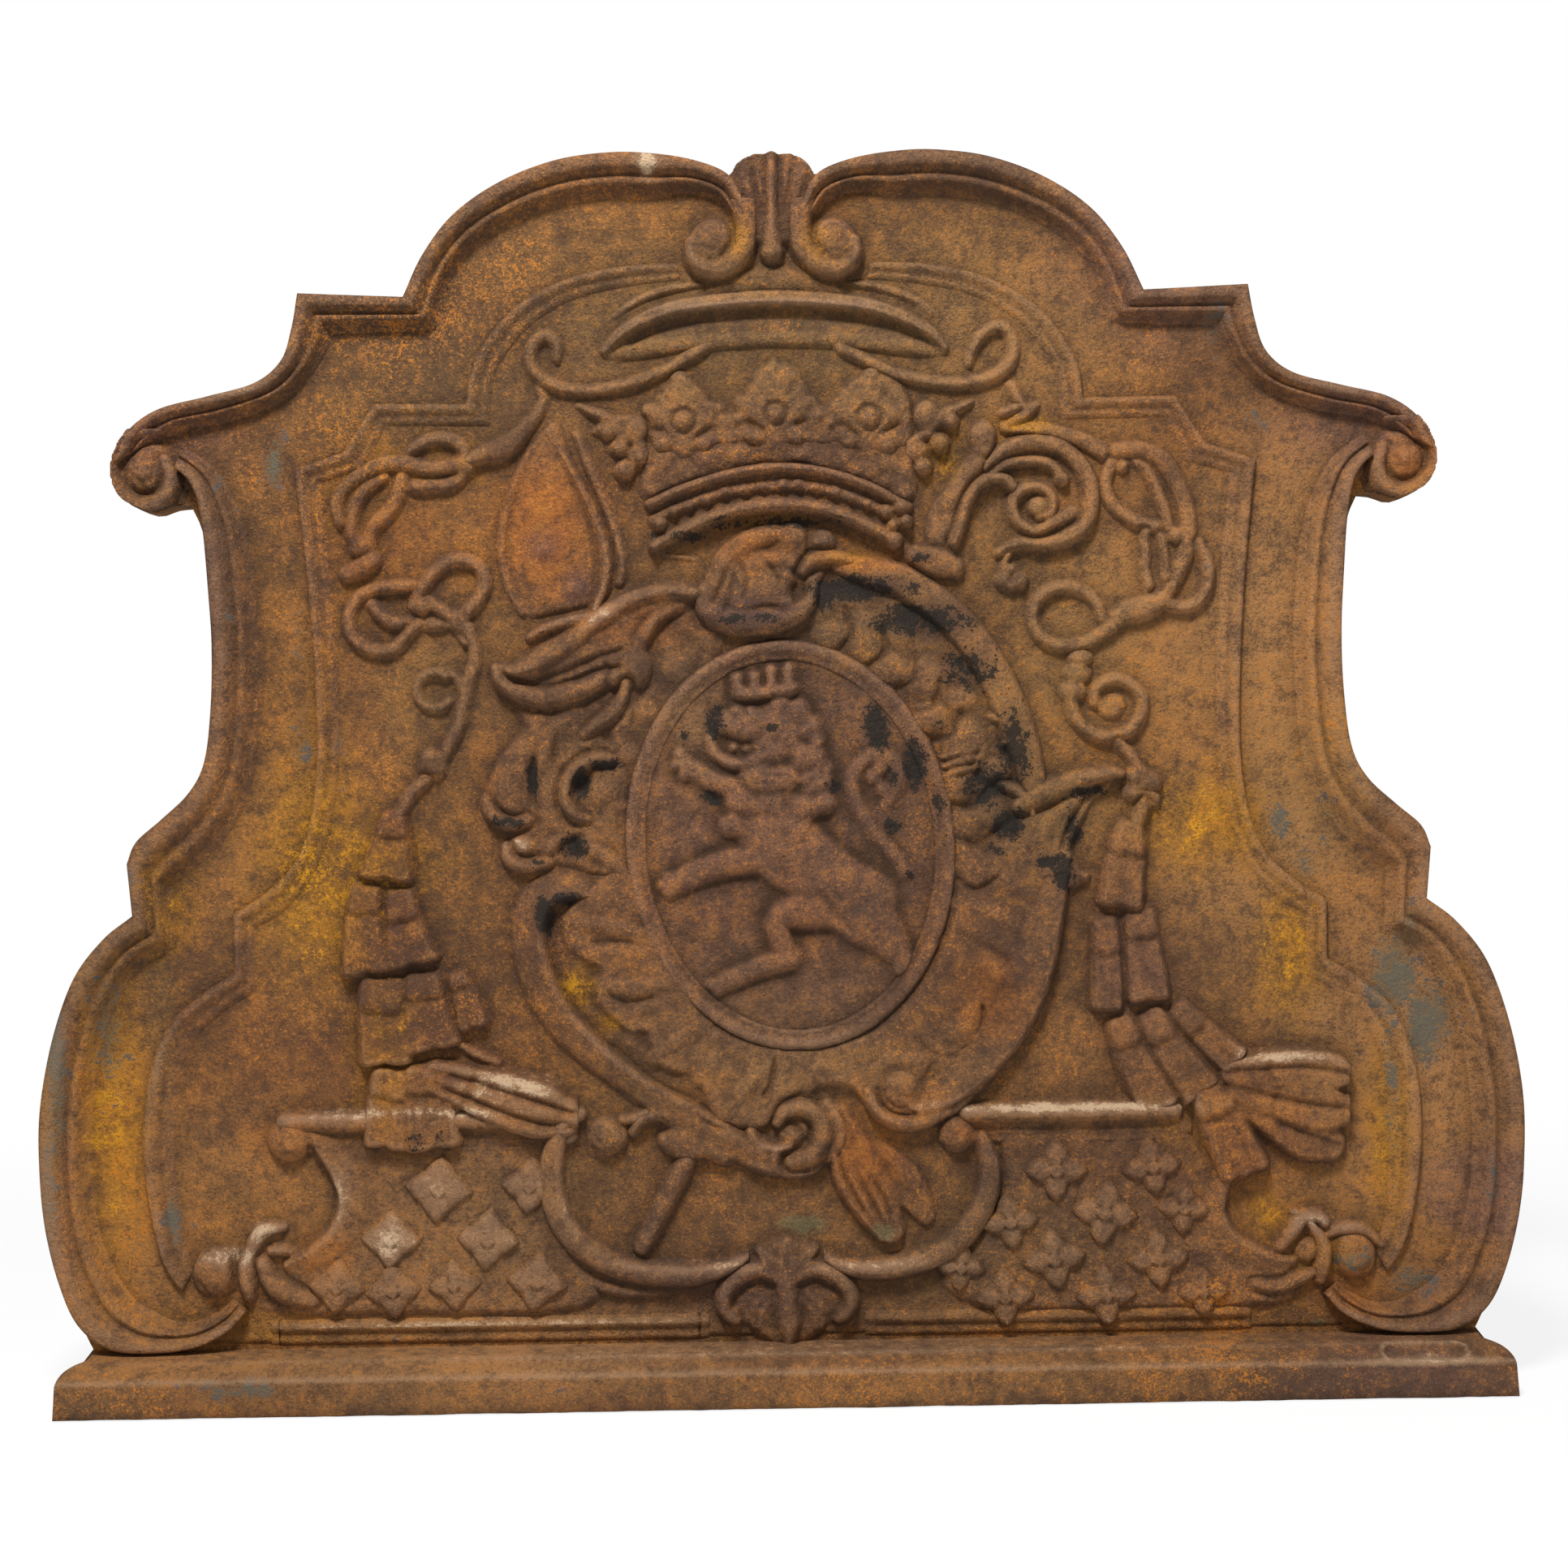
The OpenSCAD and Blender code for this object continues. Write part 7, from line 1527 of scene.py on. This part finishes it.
def repeated(name, spots, unit, seat, turn, spread, finish, stands_for, seed):
    """Copies of one small casting at spots [x, z, size], each a little turned and resized."""
    tree = bpy.data.node_groups.new(name, "GeometryNodeTree")
    kinds = (("Spots", "Geometry"), ("Casting", "Object"), ("Turn", "Float"), ("Spread", "Float"))
    _, one, twist, vary = [tree.interface.new_socket(word, in_out="INPUT", socket_type="NodeSocket" + kind)
                           for word, kind in kinds]
    tree.interface.new_socket("Castings", in_out="OUTPUT", socket_type="NodeSocketGeometry")
    start, end, info, angle, factor, size, grow, pose, copies, real, paint, less, more, flip = [
        tree.nodes.new(kind) for kind in (
            "NodeGroupInput", "NodeGroupOutput", "GeometryNodeObjectInfo", "FunctionNodeRandomValue",
            "FunctionNodeRandomValue", "GeometryNodeInputNamedAttribute", "ShaderNodeMath", "ShaderNodeCombineXYZ",
            "GeometryNodeInstanceOnPoints", "GeometryNodeRealizeInstances", "GeometryNodeSetMaterial",
            "ShaderNodeMath", "ShaderNodeMath", "ShaderNodeMath")]
    size.data_type, size.inputs["Name"].default_value = "FLOAT", "size"
    for node, op, value in ((less, "SUBTRACT", 1.0), (more, "ADD", 1.0), (flip, "MULTIPLY", -1.0),
                            (grow, "MULTIPLY", 1.0)):
        node.operation = op
        node.inputs[0].default_value = value
    drawn = {}
    for node, number in ((angle, seed), (factor, seed + 1)):
        node.inputs["Seed"].default_value = number
        low, high = [s for s in node.inputs if s.type == "VALUE" and s.enabled][:2]
        drawn[node] = low, high, next(s for s in node.outputs if s.type == "VALUE" and s.enabled)
    for out, into in (
            (start.outputs[3], less.inputs[1]), (start.outputs[3], more.inputs[1]), (start.outputs[2], flip.inputs[1]),
            (flip.outputs[0], drawn[angle][0]), (start.outputs[2], drawn[angle][1]),
            (less.outputs[0], drawn[factor][0]), (more.outputs[0], drawn[factor][1]),
            (start.outputs[1], info.inputs["Object"]), (drawn[angle][2], pose.inputs[1]),
            (size.outputs[0], grow.inputs[0]), (drawn[factor][2], grow.inputs[1]),
            (start.outputs[0], copies.inputs["Points"]), (info.outputs["Geometry"], copies.inputs["Instance"]),
            (pose.outputs[0], copies.inputs["Rotation"]), (grow.outputs[0], copies.inputs["Scale"]),
            (copies.outputs[0], real.inputs[0]), (real.outputs[0], paint.inputs["Geometry"]),
            (paint.outputs[0], end.inputs[0])):
        tree.links.new(out, into)
    paint.inputs["Material"].default_value = finish
    verts, polys = unit
    spots = np.array(spots, float)
    where = place(spots[:, 0], spots[:, 1], np.full(len(spots), seat)).tolist()
    stock = []
    for word, points, sides in (("_unit", [[c * MM for c in v] for v in verts], polys), ("_spots", where, [])):
        me = bpy.data.meshes.new(name + word)
        me.from_pydata(points, [], sides)
        stock.append(bpy.data.objects.new(name + word, me))
        scene.collection.objects.link(stock[-1])
    master, host = stock
    host.data.attributes.new("size", "FLOAT", "POINT").data.foreach_set("value", spots[:, 2].astype(np.float32))
    mod = host.modifiers.new("copies", "NODES")
    mod.node_group = tree
    for socket, value in ((one, master), (twist, turn), (vary, spread)):
        mod[socket.identifier] = value
    bpy.context.view_layer.update()
    made = bpy.data.meshes.new_from_object(host.evaluated_get(bpy.context.evaluated_depsgraph_get()))
    host.modifiers.clear()
    co = np.empty(len(made.vertices) * 3)
    made.vertices.foreach_get("co", co)
    co = co.reshape(-1, 3)
    faces = [list(p.vertices) for p in made.polygons]
    for ob in (host, master):
        bpy.data.objects.remove(ob)
    h = FACE_Y - co[:, 1] * 1000 - seat
    # Raised parts lightened as worn, and painted shade round the floret's foot.
    values = {"crown": np.clip((h - 2.6) / 2.5, 0, 1), "hollow": np.clip((2.2 - h) / 2, 0, 1)}
    finish_mesh(name, co, faces, finish, stands_for, values)


def floret_unit(notch):
    """A square flower standing on one corner: four blunt petals, notches between them and a button in the middle."""
    rings = [(.1, 5.9), (.2, 5.6), (.27, 4.9), (.38, 5.0), (.6, 5.0), (.8, 4.4), (.93, 3.0), (1.0, 1.2),
             (1.03, -0.6)]
    n = 32
    verts, polys = [(0, -5.8, 0)], [(0, 1 + (k + 1) % n, 1 + k) for k in range(n)]
    for share, h in rings:
        for k in range(n):
            a = 2 * math.pi * k / n
            corner = 1 / max(abs(math.cos(a)) + abs(math.sin(a)), 0.01) ** 0.85
            gap = abs(math.sin(2 * a)) ** 6
            d = 17.5 * share * (corner * (1 - notch * gap * share) if share > 0.22 else 1)
            fall = 8 * notch * gap if 0.22 < share < 0.98 else 0
            verts.append((d * math.cos(a), -(h - fall), d * math.sin(a)))
    polys += [tuple(1 + k for k in side) for side in tube(len(rings), n)]
    polys.append(tuple(1 + (len(rings) - 1) * n + k for k in range(n)))
    return verts, polys


FLORETS = {"left": [[-222, 144, 1.25], [-253, 112, 1.2], [-191, 111, 1.15], [-164, 145, 1.15], [-288, 82, 1.05],
                    [-252, 79, 1.1], [-213, 82, 1.05], [-160, 83, 1.15]],
           "right": [[174, 150, 1.2], [236, 151, 1.1], [205, 122, 1.25], [256, 124, 1.0], [144, 117, 1.05],
                     [172, 93, 1.25], [239, 92, 1.2], [112, 88, .9], [140, 69, 1.1], [205, 69, 1.15],
                     [268, 70, 1.0]]}

plate_skin()
foot()
lower_fillet()
for word, seed, notch in (("left", 3, 0.09), ("right", 9, 0.19)):
    repeated(word + "_floret_castings", FLORETS[word], floret_unit(notch), 3.2, 0.16, 0.06, ORNAMENT_RUST,
             [word + "_florets"], seed)

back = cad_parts["backboard"]
back.data.materials.clear()
back.data.materials.append(PLATE_RUST)

# ---- floor, light and camera ----


def studio():
    """A floor that reads as white paper and keeps a soft shadow, a white room, a lamp above and a weak one beside."""
    me = bpy.data.meshes.new("floor")
    me.from_pydata([(-9, -6, 0), (9, -6, 0), (9, 9, 0), (-9, 9, 0)], [], [(0, 1, 2, 3)])
    floor = bpy.data.objects.new("floor", me)
    scene.collection.objects.link(floor)
    b = Book("pale_floor")
    seen = b.node("ShaderNodeLightPath", {}, {}, 0)
    plain = b.node("ShaderNodeBsdfDiffuse", {}, {"Color": (0.85, 0.85, 0.85, 1)})
    white = b.node("ShaderNodeEmission", {}, {"Color": (1, 1, 1, 1), "Strength": 1.0})
    at = b.node("ShaderNodeTexCoord", {}, {}, 3)
    away = b.step(b.node("ShaderNodeVectorMath", {"operation": "LENGTH"}, {0: at}, 1), 0.55, 1.5)
    both = b.node("ShaderNodeMixShader", {}, {0: seen * (away * 0.16 + 0.84), 1: plain, 2: white})
    out = b.tree.nodes.new("ShaderNodeOutputMaterial")
    b.tree.links.new(both.out, out.inputs[0])
    me.materials.append(b.material)
    world = bpy.data.worlds.new("studio")
    scene.world = world
    world.use_nodes = True
    t = world.node_tree
    t.nodes.clear()
    path = t.nodes.new("ShaderNodeLightPath")
    near, far, mix, out = (t.nodes.new(k) for k in (
        "ShaderNodeBackground", "ShaderNodeBackground", "ShaderNodeMixShader", "ShaderNodeOutputWorld"))
    for node, strength in ((near, 0.36), (far, 1.0)):
        node.inputs["Color"].default_value, node.inputs["Strength"].default_value = (1, 1, 1, 1), strength
    t.links.new(path.outputs["Is Camera Ray"], mix.inputs[0])
    t.links.new(near.outputs[0], mix.inputs[1])
    t.links.new(far.outputs[0], mix.inputs[2])
    t.links.new(mix.outputs[0], out.inputs[0])
    for name, at, size, power in (("key", (-0.3, -1.1, 1.95), 0.4, 54), ("fill", (1.5, -1.9, 0.9), 1.6, 5)):
        lamp = bpy.data.lights.new(name, "AREA")
        lamp.shape, lamp.size, lamp.energy = "DISK", size, power
        ob = bpy.data.objects.new(name, lamp)
        ob.location = at
        ob.rotation_euler = (Vector((0, 0, 0.4)) - Vector(at)).to_track_quat("-Z", "Y").to_euler()
        scene.collection.objects.link(ob)


def camera():
    """The view of the photo: straight on, a little from the left, and very slightly tilted."""
    cam = bpy.data.cameras.new("camera")
    cam.lens, cam.sensor_width = 50, 36
    cam.clip_start, cam.clip_end = 0.05, 50
    ob = bpy.data.objects.new("camera", cam)
    ob.location = (-0.017, -1.392, 0.3915)
    yaw, roll = -0.0138449, -0.0131719
    turns = ((yaw, "Z"), (math.pi / 2, "X"), (roll, "Z"))
    a, b, c = (Matrix.Rotation(angle, 3, axis) for angle, axis in turns)
    ob.rotation_euler = (a @ b @ c).to_euler()
    scene.collection.objects.link(ob)
    scene.camera = ob


studio()
camera()
scene.view_settings.view_transform = "Standard"
